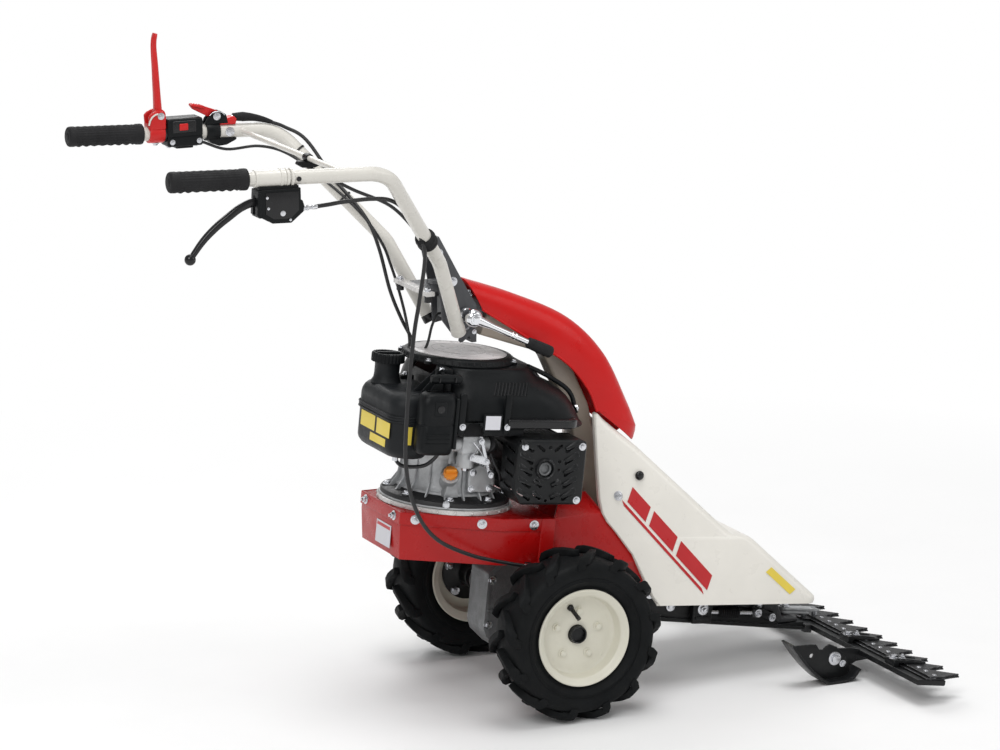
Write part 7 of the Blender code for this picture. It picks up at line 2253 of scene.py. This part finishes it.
def skid(label, side):
    """A folded height skid: half-round cheek with notch, curved sole, bolts and a hole."""
    piece = Piece("skid_look_" + label, "chassis", GROUND)
    lower = smooth_path([(0.4190, 0, 0.0822), (0.4350, 0, 0.0590), (0.4550, 0, 0.0343),
                         (0.4800, 0, 0.0105), (0.4980, 0, 0.0006), (0.5160, 0, 0.0002),
                         (0.5340, 0, 0.0008), (0.5500, 0, 0.0062), (0.5635, 0, 0.0215)], 4)
    upper = smooth_path([(0.4240, 0, 0.0835), (0.4395, 0, 0.0615), (0.4590, 0, 0.0372),
                         (0.4835, 0, 0.0143), (0.5000, 0, 0.0052), (0.5160, 0, 0.0046),
                         (0.5325, 0, 0.0052), (0.5472, 0, 0.0105), (0.5592, 0, 0.0243)], 4)
    outline = [(p.x, p.z) for p in lower] + [(p.x, p.z) for p in reversed(upper)]
    y0, y1 = sorted((side * 0.2122, side * 0.2538))
    bm = round_edges(prism_mesh(outline, y0, y1), 0.0009, 2, 50)
    piece.add(bm, BLACK_STEEL)
    cheek = [(0.4330, 0.0745), (0.4700, 0.0735), (0.4820, 0.0715), (0.4880, 0.0620),
             (0.4960, 0.0605), (0.5020, 0.0660), (0.5090, 0.0695), (0.5240, 0.0625),
             (0.5400, 0.0460), (0.5490, 0.0270), (0.5520, 0.0140), (0.5400, 0.0060),
             (0.5340, 0.0035), (0.5000, 0.0035), (0.4840, 0.0120), (0.4700, 0.0235)]
    bm = round_edges(prism_mesh(cheek, side * 0.2273, side * 0.2313), 0.0008, 2, 50)
    hole = rod_mesh((0.472, side * 0.22, 0.052), (0.472, side * 0.24, 0.052), 0.0042, 24)
    piece.add(cut_mesh(bm, hole), BLACK_STEEL)
    out = (0, side, 0)
    washer = [(0.0, 0.0), (0.0120, 0.0), (0.0126, 0.0006), (0.0122, 0.0016), (0.0, 0.0016)]
    piece.add(lathe_mesh(washer, (0.519, side * 0.2312, 0.042), toward(out), 40), ZINC)
    piece.bolt((0.519, side * 0.2326, 0.042), out, 0.0086, 0.0058)
    piece.bolt((0.536, side * 0.2314, 0.030), out, 0.0046, 0.0034)
    piece.nut((0.519, side * 0.2268, 0.042), (0, -side, 0), 0.0080, 0.0040)
    bracket = [(0.500, 0.060), (0.560, 0.055), (0.606, 0.040), (0.606, 0.031), (0.567, 0.029),
               (0.545, 0.018), (0.510, 0.022), (0.495, 0.040)]
    piece.prism(bracket, side * 0.2216, side * 0.2267, BLACK_STEEL, "Y", 0.0010)
    return piece.done("skid_" + label, angle=40)


def cutter():
    """Bar, knives, rockers, hold-downs, knife drive and skids."""
    cutter_beam()
    knives()
    rocker("upper_rocker_look", "upper_rocker_arm", 0.0160, 0.0215, 0.065, "upper_rocker")
    rocker("lower_rocker_look", "lower_rocker_arm", 0.0105, 0.0150, 0.043, "lower_rocker")
    for number, y in enumerate((-0.330, -0.165, 0.165, 0.330), 1):
        hold_down(number, y)
    drive_case()
    rocker_post()
    for label, side in (("right", -1), ("left", 1)):
        skid(label, side)


# ---- stage --------------------------------------------------------------------------------
CAMERA_AZIMUTH, CAMERA_ELEVATION, CAMERA_LENS = -25.0, 12.784, 154.23
CAMERA_SHIFT, CAMERA_Y, CAMERA_Z = -3.1708, -6.7148, 2.2537       # x is from the axle
WORLD_LIGHT = 0.42            # the backdrop's light on the object; the camera sees it white


def stage():
    """The floor, the white studio light and the camera."""
    bm = bmesh.new()
    bmesh.ops.create_grid(bm, x_segments=2, y_segments=2, size=30.0)
    mesh = bpy.data.meshes.new("floor")
    bm.to_mesh(mesh)
    bm.free()
    mesh.materials.append(FLOOR)
    floor = bpy.data.objects.new("floor", mesh)
    floor.location.z = -0.0004
    bpy.context.scene.collection.objects.link(floor)

    world = bpy.context.scene.world or bpy.data.worlds.new("studio")
    bpy.context.scene.world = world
    world.use_nodes = True
    tree = world.node_tree
    sky = tree.nodes["Background"]
    sky.inputs["Color"].default_value = (1.0, 1.0, 1.0, 1.0)
    seen = tree.nodes.new("ShaderNodeLightPath").outputs["Is Camera Ray"]
    level = tree.nodes.new("ShaderNodeMapRange")
    level.inputs["To Min"].default_value = WORLD_LIGHT
    level.inputs["To Max"].default_value = 1.0
    tree.links.new(seen, level.inputs["Value"])
    tree.links.new(level.outputs["Result"], sky.inputs["Strength"])

    lamps = (("key", (-3.0, -3.6, 4.4), 3.2, 122.0), ("fill", (3.6, -2.6, 3.0), 3.0, 30.0),
             ("back", (0.5, 4.2, 3.6), 3.4, 90.0), ("top", (0.2, -0.2, 4.6), 2.6, 75.0))
    for name, place, size, power in lamps:
        lamp = bpy.data.lights.new(name, "AREA")
        lamp.shape = "DISK"
        lamp.size = size
        lamp.energy = power
        obj = bpy.data.objects.new(name, lamp)
        obj.location = place
        aim = Vector((0.0, 0.0, 0.4)) - Vector(place)
        obj.rotation_mode = "QUATERNION"
        obj.rotation_quaternion = aim.to_track_quat("-Z", "Y")
        bpy.context.scene.collection.objects.link(obj)

    camera = bpy.data.cameras.new("camera")
    camera.lens = CAMERA_LENS
    camera.sensor_width = 36.0
    camera.clip_end = 100.0
    eye = bpy.data.objects.new("camera", camera)
    azimuth, elevation = math.radians(CAMERA_AZIMUTH), math.radians(CAMERA_ELEVATION)
    back = Vector((math.sin(azimuth) * math.cos(elevation),
                   -math.cos(azimuth) * math.cos(elevation), math.sin(elevation)))
    eye.location = (AXLE.x + CAMERA_SHIFT, CAMERA_Y, CAMERA_Z)
    eye.rotation_mode = "QUATERNION"
    eye.rotation_quaternion = (-back).to_track_quat("-Z", "Y")
    bpy.context.scene.collection.objects.link(eye)
    bpy.context.scene.camera = eye
    bpy.context.scene.view_settings.view_transform = "Standard"


def main():
    """Builds every piece, then the stage."""
    running_gear()
    body_work()
    engine()
    handlebar()
    cutter()
    stage()


main()
